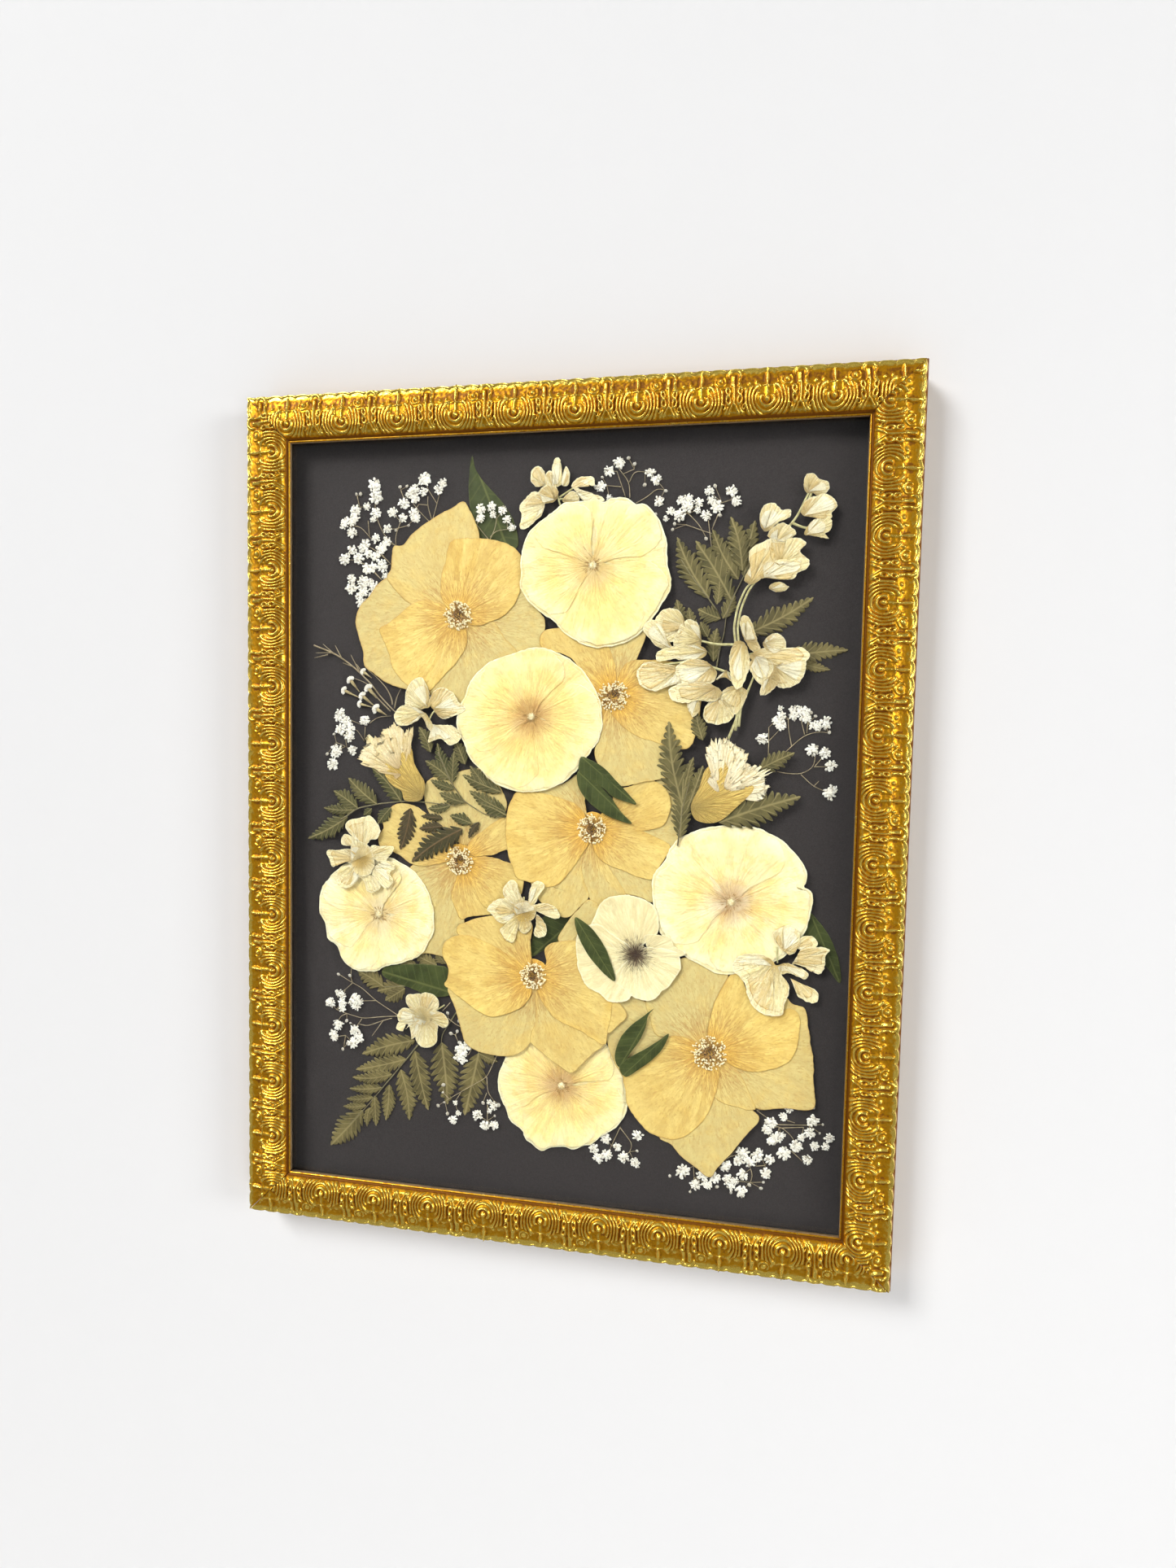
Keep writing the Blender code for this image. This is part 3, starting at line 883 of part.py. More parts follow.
def build_flowers(collection, cutters):
    """Build the roses, the round blooms and the other blossoms."""
    rose = new_material("rose_petal", ROSE_YELLOW, 0.7)
    for name, (centre, level, petals) in ROSES.items():
        back = level_depth(level)
        plates = petal_plates(petals, level)
        plates.append(frustum_mesh(round_outline(centre, STAMEN_RADIUS, 8), back,
                                   back + FLOWER_THICKNESS + STAMEN_RISE, DOME_SHARE))
        upright(fuse(name, plates, rose, collection, cutters).data)
    cream = new_material("bloom_petal", BLOOM_CREAM, 0.7)
    for name, (centre, level, outline) in BLOOMS.items():
        back = level_depth(level)
        plate = plate_mesh(outline, back, back + PETAL_THICKNESS)
        dome = frustum_mesh(round_outline(centre, PISTIL_RADIUS, 6), back,
                            back + FLOWER_THICKNESS + STAMEN_RISE / 2, DOME_SHARE)
        upright(fuse(name, [plate, dome], cream, collection, cutters).data)
    for name, (colour, level, petals) in BLOSSOMS.items():
        back = level_depth(level)
        material = new_material(name + "_petal", colour, 0.7)
        mesh = merged_mesh(petals, back, back + BLOSSOM_THICKNESS)
        add_object(name, upright(mesh), material, collection)


def build_merged(name, outlines, level, thickness, material, collection):
    """Build a specimen from outlines merged at one level."""
    back = level_depth(level)
    mesh = merged_mesh(outlines, back, back + thickness)
    add_object(name, upright(mesh), material, collection)


def build_greenery(collection):
    """Build the stock, the leaves and the fern pieces."""
    outlines = STOCK_FLORETS + [ribbon_outline(points, width) for points, width in STOCK_STEMS]
    stock = new_material("stock", PETAL_WHITE, 0.7)
    build_merged("stock_stem", outlines, STOCK_LEVEL, BLOSSOM_THICKNESS, stock, collection)
    green = new_material("leaf", LEAF_GREEN, 0.6)
    for name, (level, blades) in LEAVES.items():
        build_merged(name, blades, level, PETAL_THICKNESS, green, collection)
    olive = new_material("fern", FERN_OLIVE, 0.75)
    for name, (level, ribs, leaflets) in FERNS.items():
        outlines = [ribbon_outline(points, width) for points, width in ribs]
        outlines += [leaflet_outline(base, tip, width) for base, tip, width in leaflets]
        build_merged(name, outlines, level, PETAL_THICKNESS, olive, collection)


def build_breath(collection):
    """Build the sprays of baby's breath and the wax flower sprig."""
    white = new_material("babys_breath", BREATH_WHITE, 0.85)
    for name, (level, stems, heads) in BREATH.items():
        outlines = [ribbon_outline(points, BREATH_STEM) for points in stems]
        outlines += [round_outline((x, z), radius, HEAD_SIDES, 0.7 * k)
                     for k, (x, z, radius) in enumerate(heads)]
        build_merged(name, outlines, level, HEAD_THICKNESS, white, collection)
    outlines = [ribbon_outline(points, width) for points, width in WAX_STEMS]
    outlines += [bud_outline(tail, head, radius) for tail, head, radius in WAX_BUDS]
    straw = new_material("wax_flower", STRAW, 0.8)
    build_merged("wax_flower", outlines, WAX_LEVEL, HEAD_THICKNESS, straw, collection)


def main():
    clear_scene()
    model = new_collection("pressed_flower_frame")
    cutters = new_collection("cutters")
    build_frame(model, cutters)
    build_sheets(model, cutters)
    build_fittings(model)
    build_flowers(model, cutters)
    build_greenery(model)
    build_breath(model)


main()
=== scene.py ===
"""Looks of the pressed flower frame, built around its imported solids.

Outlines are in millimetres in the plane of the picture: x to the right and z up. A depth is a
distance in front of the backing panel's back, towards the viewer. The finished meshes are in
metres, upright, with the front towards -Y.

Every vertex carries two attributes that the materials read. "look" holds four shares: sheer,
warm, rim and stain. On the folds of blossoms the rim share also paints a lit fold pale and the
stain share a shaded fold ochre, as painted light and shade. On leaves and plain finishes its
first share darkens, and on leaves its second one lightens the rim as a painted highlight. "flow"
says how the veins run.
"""

import logging
import math
import random
from collections.abc import Callable, Iterable
from dataclasses import dataclass
from enum import Enum

import bmesh
import bpy
import numpy as np
from mathutils import Matrix, Vector, noise


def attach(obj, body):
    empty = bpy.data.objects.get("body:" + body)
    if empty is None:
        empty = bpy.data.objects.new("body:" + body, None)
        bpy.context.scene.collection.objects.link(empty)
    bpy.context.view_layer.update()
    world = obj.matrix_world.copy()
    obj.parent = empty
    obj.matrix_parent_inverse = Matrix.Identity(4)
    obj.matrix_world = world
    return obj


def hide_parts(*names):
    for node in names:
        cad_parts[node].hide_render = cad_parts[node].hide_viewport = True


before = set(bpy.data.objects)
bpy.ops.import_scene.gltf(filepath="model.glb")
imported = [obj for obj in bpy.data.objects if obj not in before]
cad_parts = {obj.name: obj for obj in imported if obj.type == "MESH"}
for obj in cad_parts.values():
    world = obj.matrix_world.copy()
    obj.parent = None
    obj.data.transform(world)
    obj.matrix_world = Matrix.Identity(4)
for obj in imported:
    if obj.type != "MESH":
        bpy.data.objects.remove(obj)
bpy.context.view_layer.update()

log = logging.getLogger("pressed_flower_frame")

Array = np.ndarray
Colour = tuple[float, float, float, float]
Material = bpy.types.Material
Node = bpy.types.Node
Numbers = tuple[float, ...]
Place = tuple[float, float]
Shape = bmesh.types.BMesh
Socket = bpy.types.NodeSocket
Tree = bpy.types.NodeTree
Finishes = dict[str, Material]
Grid = tuple[list, Array, Array]
Look = Callable[[Array, Array], Array]
Path = list[Place]

MM = 0.001
SIGHT_WIDTH = 292.0
SIGHT_HEIGHT = 393.7
LEVEL_ZERO = 6.0
LEVEL_STEP = 0.6717
MERGE_GAP = 1e-5
GOLDEN_ANGLE = 2.399963
ANY_TURN = 6.3
HALF_TURN = 3.1
PLAIN = (0.0, 0.0, 0.0, 0.0)


def tint(red: int, green: int, blue: int) -> Colour:
    """Return a paint chip's 0 to 255 values as a linear colour.

    Args:
        red: Red from 0 to 255.
        green: Green from 0 to 255.
        blue: Blue from 0 to 255.

    Returns:
        The linear colour, opaque.
    """
    parts = [value / 255 for value in (red, green, blue)]
    linear = [p / 12.92 if p < 0.04045 else ((p + 0.055) / 1.055) ** 2.4 for p in parts]
    return (*linear, 1.0)


def pairs(numbers: Numbers) -> Path:
    """Return a flat run of numbers as (x, z) points."""
    return list(zip(numbers[::2], numbers[1::2]))


def polar(centre: Place, distance: float, angle: float) -> Place:
    """Return the place at a distance and an angle from a centre."""
    return centre[0] + distance * math.cos(angle), centre[1] + distance * math.sin(angle)


def distances(places: Array, centre: Array) -> Array:
    """Return how far each place lies from a centre."""
    return np.linalg.norm(places - centre, axis=1)


def marks_of(line: Array) -> Array:
    """Return how far along a line each of its points lies."""
    return np.concatenate([[0.0], np.cumsum(np.linalg.norm(np.diff(line, axis=0), axis=1))])


def trace(at: Array, marks: Array, line: Array) -> Array:
    """Return the places on a line at some of its marks."""
    return np.stack([np.interp(at, marks, line[:, axis]) for axis in (0, 1)], 1)


def drift(places: Array, scale: float, seed: float | Array) -> Array:
    """Return smooth noise at each place.

    Args:
        places: The points.
        scale: How fast it changes from place to place.
        seed: Picks one noise of many, for all places or for each.

    Returns:
        The noise, from about -1 to 1.
    """
    seeds = np.broadcast_to(seed, len(places))
    return np.array([noise.noise(Vector((x * scale, z * scale, third)))
                     for (x, z), third in zip(places, seeds)])


def smoothstep(low: float, high: float, value: Array) -> Array:
    """Return 0 below low, 1 above high and a smooth rise between.

    Args:
        low: Where the rise starts.
        high: Where the rise ends.
        value: The values to map.

    Returns:
        The mapped values.
    """
    share = np.clip((value - low) / (high - low), 0.0, 1.0)
    return share * share * (3.0 - 2.0 * share)


def smooth_curve(corner: Array, steps: int = 8) -> Array:
    """Draw a smooth closed curve through points that doesn't overshoot where they crowd.

    Args:
        corner: The points, one row each.
        steps: How many points it has between two of them.

    Returns:
        The curve's points, one row each, without repeating the first.
    """
    before, after, beyond = (np.roll(corner, shift, 0) for shift in (1, -1, -2))
    gaps = [np.sqrt(np.linalg.norm(b - a, axis=1, keepdims=True)) + 1e-6
            for a, b in ((before, corner), (corner, after), (after, beyond))]
    first = (corner - before) / gaps[0] - (after - before) / (gaps[0] + gaps[1])
    first = (first + (after - corner) / gaps[1]) * gaps[1]
    last = (after - corner) / gaps[1] - (beyond - corner) / (gaps[1] + gaps[2])
    last = (last + (beyond - after) / gaps[2]) * gaps[1]
    curve = []
    for share in np.linspace(0.0, 1.0, steps, endpoint=False):
        cube, square = share**3, share**2
        curve.append((2 * cube - 3 * square + 1) * corner + (cube - 2 * square + share) * first
                     + (3 * square - 2 * cube) * after + (cube - square) * last)
    return np.stack(curve, 1).reshape(-1, 2)


def smooth_rim(points: Path, step: float = 0.8, fray: float = 0.0, seed: float = 0.0) -> Array:
    """Draw a smooth closed curve through points and cut it into even steps.

    Args:
        points: The corners of the outline, in order.
        step: The distance between the returned points.
        fray: How far the edge wanders, as a torn or dried edge does.
        seed: Shifts the wandering, so that two edges differ.

    Returns:
        The curve's points, one row each, without repeating the first.
    """
    curve = smooth_curve(np.array(points, float))
    closed = np.vstack([curve, curve[:1]])
    marks = marks_of(closed)
    count = max(12, round(marks[-1] / step))
    even = trace(np.linspace(0.0, marks[-1], count, endpoint=False), marks, closed)
    if fray:
        along = np.roll(even, -1, 0) - np.roll(even, 1, 0)
        out = np.stack([along[:, 1], -along[:, 0]], 1)
        out /= np.linalg.norm(out, axis=1, keepdims=True) + 1e-9
        wander = drift(even, 0.9, seed) + drift(even, 0.2, seed + 9)
        even += out * (wander * fray)[:, None]
    return even


def inside(rim: Array, places: Array) -> Array:
    """Say which places lie inside a closed rim.

    Args:
        rim: The rim's points.
        places: The points to test.

    Returns:
        True for each place inside.
    """
    found = np.zeros(len(places), bool)
    for (x0, z0), (x1, z1) in zip(rim, np.roll(rim, -1, 0)):
        if z0 == z1:
            continue
        spans = (z0 > places[:, 1]) != (z1 > places[:, 1])
        found ^= spans & (places[:, 0] < (x1 - x0) * (places[:, 1] - z0) / (z1 - z0) + x0)
    return found


def centre_of(rim: Array) -> Array:
    """Return a point well inside a rim: its area's centre, or else its fattest place.

    Args:
        rim: The rim's points.

    Returns:
        The point.
    """
    ends = np.roll(rim, -1, 0)
    cross = rim[:, 0] * ends[:, 1] - ends[:, 0] * rim[:, 1]
    middle = ((rim + ends) * cross[:, None]).sum(0) / (3 * cross.sum())
    columns, rows = (np.linspace(low, high, 13) for low, high in zip(rim.min(0), rim.max(0)))
    grid = np.stack(np.meshgrid(columns, rows), -1).reshape(-1, 2)
    grid = np.vstack([middle[None], grid])
    grid = grid[inside(rim, grid)]
    if not len(grid):
        return middle
    room = np.linalg.norm(grid[:, None] - rim[None], axis=2).min(1)
    return grid[np.argmax(room - 0.25 * distances(grid, middle))]


def farthest_pair(rim: Array) -> tuple[int, int, float]:
    """Return which two points of a rim lie farthest apart, and how far."""
    apart = np.linalg.norm(rim[:, None] - rim[None], axis=2)
    one, other = np.unravel_index(apart.argmax(), apart.shape)
    return one, other, apart.max()


class Cover:
    """Keeps which places have a petal behind them, so that a petal knows what it covers."""

    cell = 0.5
    low = np.array([-150.0, -200.0])
    last_cell = (600, 800)
    look_round = ((0.0, 0.0), (1.2, 0.0), (-1.2, 0.0), (0.0, 1.2), (0.0, -1.2))

    def __init__(self) -> None:
        """Start with the bare board."""
        self.filled = np.zeros((self.last_cell[0] + 1, self.last_cell[1] + 1))

    def lay(self, rim: Array) -> None:
        """Add one petal.

        Args:
            rim: The petal's rim.
        """
        first = np.floor((rim.min(0) - self.low) / self.cell).astype(int)
        last = np.ceil((rim.max(0) - self.low) / self.cell).astype(int) + 1
        columns, rows = np.arange(first[0], last[0]), np.arange(first[1], last[1])
        grid = np.stack(np.meshgrid(columns, rows, indexing="ij"), -1).reshape(-1, 2)
        hit = inside(rim, grid * self.cell + self.low)
        block = hit.reshape(len(columns), len(rows))
        self.filled[first[0]:last[0], first[1]:last[1]] += block

    def behind(self, places: Array) -> Array:
        """Return how much is behind each place: 0 for the bare board, up to 1 for petals.

        Args:
            places: The points to look at.

        Returns:
            The share for each place.
        """
        at = (places - self.low) / self.cell
        total = np.zeros(len(places))
        for shift in self.look_round:
            column, row = np.clip(np.rint(at + shift).astype(int), 0, self.last_cell).T
            total += np.minimum(self.filled[column, row], 2)
        return np.minimum(total / 10 * 1.35, 1.0)


# Meshes


def new_shape() -> Shape:
    """Return an empty mesh with the attributes that the materials read."""
    shape = bmesh.new()
    shape.verts.layers.float_color.new("look")
    shape.verts.layers.float_vector.new("flow")
    return shape


def shares(count: int, sheer: object = 0.0, warm: object = 0.0, rim: object = 0.0,
           stain_and_shade: object = 0.0) -> Array:
    """Return the four shares for each of count vertices, from numbers or arrays."""
    four = np.zeros((count, 4))
    for k, value in enumerate((sheer, warm, rim, stain_and_shade)):
        four[:, k] = value
    return np.clip(four, 0.0, 1.0)


def paint(shape: Shape, made: list, look: Array | Numbers = PLAIN,
          flow: Array | Numbers = PLAIN[:3]) -> None:
    """Write the attributes that the materials read.

    Args:
        shape: The mesh.
        made: Its vertices to write.
        look: The four shares, for all of them or for each.
        flow: The way the veins run, for all of them or for each.
    """
    looks = shape.verts.layers.float_color["look"]
    flows = shape.verts.layers.float_vector["flow"]
    fours = np.broadcast_to(look, (len(made), 4))
    ways = np.broadcast_to(flow, (len(made), 3))
    for vertex, four, way in zip(made, fours, ways):
        vertex[looks] = four
        vertex[flows] = way


def set_slot(faces: Iterable, slot: int) -> None:
    """Give faces a material slot."""
    for face in faces:
        face.material_index = slot


def grid_of(shape: Shape, columns: int, rows: int) -> Grid:
    """Add a flat grid to bend into shape.

    Args:
        shape: The mesh.
        columns: Faces along the first way.
        rows: Faces along the second way.

    Returns:
        The vertices, and for each its share from 0 to 1 along both ways.
    """
    made = bmesh.ops.create_grid(shape, x_segments=columns, y_segments=rows, size=0.5)["verts"]
    flat = np.array([vertex.co[:2] for vertex in made])
    low, high = flat.min(0), flat.max(0)
    share = (flat - low) / (high - low)
    return made, share[:, 0], share[:, 1]


def put(made: list, places: Array, depth: Array) -> None:
    """Move vertices to their places.

    Args:
        made: The vertices.
        places: Their x and z.
        depth: Their distance in front of the backing panel's back.
    """
    for vertex, (x, z), ahead in zip(made, places, depth):
        vertex.co = (x, -ahead, z)


def merge(shape: Shape, made: list, gap: float = MERGE_GAP) -> None:
    """Join those of the vertices that lie in one place."""
    bmesh.ops.remove_doubles(shape, verts=made, dist=gap)


def sees_rim(rim: Array, hub: Array) -> bool:
    """Say whether nearly all straight lines from a hub to its rim stay inside the rim."""
    lines = [inside(rim, hub + (rim - hub) * share) for share in (0.5, 0.8, 0.95)]
    return float(np.mean(lines)) > 0.97


def fill_spokes(shape: Shape, rim: Array, step: float, hub: Array) -> Grid:
    """Fill a rim with a grid in spokes from a hub.

    Args:
        shape: The mesh to add it to.
        rim: The rim's points.
        step: The size of the faces.
        hub: The point to fill it in from.

    Returns:
        The vertices, their x and z, and each one's share of the way out to the rim.
    """
    closed = np.vstack([rim, rim[:1]])
    length = np.linalg.norm(np.diff(closed, axis=0), axis=1).sum()
    columns = max(14, round(length / step))
    rows = max(4, round(distances(rim, hub).mean() / step))
    made, around, out = grid_of(shape, columns, rows)
    out = 1 - (1 - out) ** 1.5
    edge = trace(around * len(rim), np.arange(len(closed)), closed)
    return made, hub + (edge - hub) * out[:, None], out


def fill_across(shape: Shape, rim: Array, step: float) -> Grid:
    """Fill a rim with a grid between its two long sides.

    Args:
        shape: The mesh to add it to.
        rim: The rim's points.
        step: The size of the faces.

    Returns:
        The vertices, their x and z, and each one's share of the way out to the rim.
    """
    closed = np.vstack([rim, rim[:1]])
    length = np.linalg.norm(np.diff(closed, axis=0), axis=1).sum()
    one, other, apart = farthest_pair(rim)
    one, other = sorted((one, other))
    sides = [rim[one:other + 1], np.vstack([rim[other:], rim[:one + 1]])[::-1]]
    area = abs(np.sum(closed[:-1, 0] * closed[1:, 1] - closed[1:, 0] * closed[:-1, 1])) / 2
    columns = max(10, round(min(length / 2, 1.5 * apart) / step))
    made, along, across = grid_of(shape, columns, max(4, round(1.3 * area / apart / step)))
    across = 0.5 - 0.5 * np.cos(across * math.pi)
    edges = [trace(along * (len(side) - 1), np.arange(len(side)), side) for side in sides]
    places = edges[0] + (edges[1] - edges[0]) * across[:, None]
    return made, places, np.maximum(np.abs(2 * across - 1), np.abs(2 * along - 1) ** 3)


def lay_sheet(shape: Shape, rim: Array, depth: float, look: Look, heart: Array,
              wave: float = 0.05, step: float = 1.6, hub: Array | None = None,
              curl: float = 0.0, pleat: float = 0.0) -> None:
    """Lay one petal or leaf: a sheet filled in from its rim.

    Args:
        shape: The mesh to add it to.
        rim: The sheet's rim.
        depth: Its distance in front of the backing panel's back.
        look: Gives the four shares from the places and their shares of the way to the rim.
        heart: The flower's centre, which the veins run from.
        wave: The height of its gentle waves.
        step: The size of its faces.
        hub: The point inside that it is filled in from, or None to choose.
        curl: How far its rim lifts.
        pleat: The height of the pleats that run out from the heart.
    """
    hub = centre_of(rim) if hub is None else hub
    if sees_rim(rim, hub):
        made, places, out = fill_spokes(shape, rim, step, hub)
    else:
        made, places, out = fill_across(shape, rim, step)
    reach = distances(places, heart)
    unit = (places - heart) / (reach[:, None] + 1e-6)
    swell = drift(places, 0.09, depth * 3.0) * 1.2 + drift(places, 0.28, depth * 5.0) * 0.6
    lift = wave * swell + curl * out**4
    if pleat:
        rays = drift(unit, 4.5, reach * 0.035)
        lift += pleat * rays * np.exp(-reach / 20) * smoothstep(0.5, 4.0, reach)
    put(made, places, depth + lift)
    paint(shape, made, look(places, out), np.column_stack([unit, reach]))
    merge(shape, made)


def lay_tube(shape: Shape, path: Array, radii: Array, sides: int = 5, slot: int = 0,
             flat: float = 1.0) -> None:
    """Lay a stem: a closed tube along a path.

    Args:
        shape: The mesh to add it to.
        path: The middle line's x, z and depth, one row each.
        radii: The radius at each row of the path.
        sides: How many sides its section has.
        slot: The material slot of its faces.
        flat: Its thickness as a share of its width.
    """
    made, along, around = grid_of(shape, len(path) - 1, sides)
    row = np.rint(along * (len(path) - 1)).astype(int)
    way = np.gradient(path, axis=0)
    way /= np.linalg.norm(way, axis=1, keepdims=True) + 1e-9
    side = np.stack([-way[:, 1], way[:, 0], np.zeros(len(path))], 1)
    side /= np.linalg.norm(side, axis=1, keepdims=True) + 1e-9
    rise = np.cross(way, side) * flat
    angle = around * 2 * math.pi
    turn = np.cos(angle)[:, None] * side[row] + np.sin(angle)[:, None] * rise[row]
    spot = path[row] + turn * radii[row][:, None]
    put(made, spot[:, :2], spot[:, 2])
    paint(shape, made, PLAIN, np.column_stack([along, around, along]))
    faces = {face for vertex in made for face in vertex.link_faces}
    set_slot(faces, slot)
    merge(shape, made)
    rims = {edge for face in faces if face.is_valid for edge in face.edges if edge.is_boundary}
    set_slot(bmesh.ops.holes_fill(shape, edges=list(rims), sides=0)["faces"], slot)


def stem_path(points: Path, depth: float, step: float = 2.0) -> Array:
    """Return a smooth open path through points at one depth.

    Args:
        points: The points the stem passes.
        depth: The middle line's depth.
        step: The distance between the returned points.

    Returns:
        The path's x, z and depth, one row each.
    """
    spot = np.array(points, float)
    marks = marks_of(spot)
    count = max(3, round(marks[-1] / step) + 1)
    line = trace(np.linspace(0.0, marks[-1], count), marks, spot)
    for _ in range(2):
        line[1:-1] = (line[:-2] + 2 * line[1:-1] + line[2:]) / 4
    return np.column_stack([line, np.full(count, depth)])


def add_stem(shape: Shape, points: Path, depth: float, thick: float, thin: float,
             slot: int = 0, flat: float = 1.0) -> None:
    """Lay a tapering stem through points.

    Args:
        shape: The mesh to add it to.
        points: The points the stem passes, from its thick end.
        depth: The depth of its middle line.
        thick: Its radius at the start.
        thin: Its radius at the end.
        slot: The material slot of its faces.
        flat: Its thickness as a share of its width.
    """
    path = stem_path(points, depth)
    lay_tube(shape, path, np.linspace(thick, thin, len(path)), slot=slot, flat=flat)


def add_bead(shape: Shape, place: Numbers, size: Numbers, turn: float = 0.0, tilt: float = 0.0,
             slot: int = 0, deep: float = 0.0, finer: int = 1) -> None:
    """Add one small rounded grain, such as an anther, a floret's petal or a bud.

    Args:
        shape: The mesh to add it to.
        place: Its x, z and depth.
        size: Its half sizes along its length, across and towards the viewer.
        turn: Its turn in the plane of the picture, in radians.
        tilt: How far its far end rises, in radians.
        slot: The material slot of its faces.
        deep: How far its colour goes towards its finish's deep one.
        finer: The icosphere's subdivisions.
    """
    stand = (Matrix.Translation((place[0], -place[2], place[1])) @ Matrix.Rotation(-turn, 4, "Y")
             @ Matrix.Rotation(-tilt, 4, "Z") @ Matrix.Diagonal((size[0], size[2], size[1], 1.0)))
    made = bmesh.ops.create_icosphere(shape, subdivisions=finer, radius=1.0, matrix=stand)["verts"]
    paint(shape, made, (deep, 0.0, 0.0, 0.0))
    if slot:
        set_slot({face for vertex in made for face in vertex.link_faces}, slot)


def thicken(shape: Shape, thickness: float) -> None:
    """Give every sheet laid so far its thickness, towards the viewer.

    Args:
        shape: The mesh, which holds nothing but open sheets.
        thickness: How thick they become.
    """
    front = bmesh.ops.extrude_face_region(shape, geom=shape.faces[:], use_keep_orig=True)["geom"]
    moved = [part for part in front if isinstance(part, bmesh.types.BMVert)]
    bmesh.ops.translate(shape, vec=(0.0, -thickness, 0.0), verts=moved)


def add_object(name: str, data: object) -> bpy.types.Object:
    """Add an object to the scene.

    Args:
        name: Its name.
        data: Its mesh, light or camera.

    Returns:
        The object.
    """
    made = bpy.data.objects.new(name, data)
    bpy.context.scene.collection.objects.link(made)
    return made


def mesh_of(shape: Shape, name: str, materials: list[Material]) -> bpy.types.Mesh:
    """Turn a shape into a mesh with its materials, and free it.

    Args:
        shape: The shape, which is used up.
        name: The mesh's name.
        materials: Its materials, in the order of its slots.

    Returns:
        The mesh.
    """
    mesh = bpy.data.meshes.new(name)
    shape.to_mesh(mesh)
    shape.free()
    for material in materials:
        mesh.materials.append(material)
    return mesh


def finish_piece(shape: Shape, name: str, materials: list[Material],
                 node: str) -> None:
    """Turn a mesh in millimetres into a piece of the object.

    Args:
        shape: The mesh, which is used up.
        name: The piece's name.
        materials: Its materials, in the order of its slots.
        node: The CAD node that it stands for.
    """
    bmesh.ops.scale(shape, vec=(MM, MM, MM), verts=shape.verts[:])
    bmesh.ops.recalc_face_normals(shape, faces=shape.faces[:])
    for face in shape.faces:
        face.smooth = True
    mesh = mesh_of(shape, name, materials)
    piece = add_object(name, mesh)
    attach(piece, "root")
    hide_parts(node)
    log.info("%s: %d faces", name, len(mesh.polygons))


# Materials


class Graph:
    """Adds nodes to one node tree and links them."""

    def __init__(self, tree: Tree) -> None:
        """Start on the tree of a material or of a node group."""
        self.tree = tree

    def add(self, kind: str, inputs: dict | None = None, **settings: object) -> Node:
        """Add a node.

        Args:
            kind: The node's type, without the leading ShaderNode.
            inputs: Values or sockets for its inputs, by name or place.
            **settings: The node's own properties.

        Returns:
            The node.
        """
        node = self.tree.nodes.new("ShaderNode" + kind)
        for name, value in settings.items():
            setattr(node, name, value)
        for name, value in (inputs or {}).items():
            self.feed(node.inputs[name], value)
        return node

    def feed(self, socket: Socket, value: object) -> None:
        """Link an input to a socket, or set it to a constant."""
        if isinstance(value, bpy.types.NodeSocket):
            self.tree.links.new(value, socket)
        else:
            socket.default_value = value

    def math(self, operation: str, first: object, second: object = 0.0) -> Socket:
        """Return the result of a Math node."""
        return self.add("Math", {0: first, 1: second}, operation=operation).outputs[0]

    def times(self, first: object, second: object) -> Socket:
        """Return a product."""
        return self.math("MULTIPLY", first, second)

    def plus(self, first: object, second: object) -> Socket:
        """Return a sum."""
        return self.math("ADD", first, second)

    def off_middle(self, value: object) -> Socket:
        """Return how far a value lies from a half."""
        return self.math("ABSOLUTE", self.math("SUBTRACT", value, 0.5))

    def line(self, away: object, width: object) -> Socket:
        """Return a line's mask, which falls from 1 in its middle to 0 at a width."""
        share = self.math("DIVIDE", away, width)
        return self.add("Math", {0: 1.0, 1: share}, operation="SUBTRACT",
                        use_clamp=True).outputs[0]

    def blend(self, share: object, first: object, second: object, mode: str = "MIX") -> Socket:
        """Return a mix of two colours."""
        return self.add("Mix", {0: share, 6: first, 7: second}, data_type="RGBA",
                        blend_type=mode).outputs[2]

    def rise(self, value: object, low: float, high: float, bottom: float = 0.0,
             top: float = 1.0) -> Socket:
        """Return a value mapped smoothly from low..high to bottom..top."""
        return self.add("MapRange", {0: value, 1: low, 2: high, 3: bottom, 4: top},
                        interpolation_type="SMOOTHSTEP").outputs[0]

    def noise(self, vector: object, scale: object, detail: float, roughness: float,
              distortion: float) -> Socket:
        """Return a noise's value."""
        return self.add("TexNoise", {"Vector": vector, "Scale": scale, "Detail": detail,
                                     "Roughness": roughness, "Distortion": distortion}).outputs[0]

    def parts(self, vector: Socket) -> list[Socket]:
        """Return a vector's three parts."""
        return self.add("SeparateXYZ", {0: vector}).outputs[:3]

    def place(self) -> Socket:
        """Return the piece's own coordinates, in metres."""
        return self.add("TexCoord").outputs["Object"]

    def looks(self) -> tuple[Socket, ...]:
        """Return the four shares that the mesh carries."""
        look = self.add("Attribute", attribute_name="look")
        parts = self.add("SeparateColor", {0: look.outputs["Color"]})
        return (*parts.outputs[:3], look.outputs["Alpha"])

    def flow(self) -> Socket:
        """Return the way of the veins that the mesh carries."""
        return self.add("Attribute", attribute_name="flow").outputs["Vector"]

    def use(self, tree: Tree, **inputs: object) -> dict[str, Socket]:
        """Place a shared group.

        Args:
            tree: The group.
            **inputs: Values or sockets for its inputs.

        Returns:
            Its outputs by name.
        """
        node = self.tree.nodes.new("ShaderNodeGroup")
        node.node_tree = tree
        for name, value in inputs.items():
            self.feed(node.inputs[name], value)
        return {socket.name: socket for socket in node.outputs}


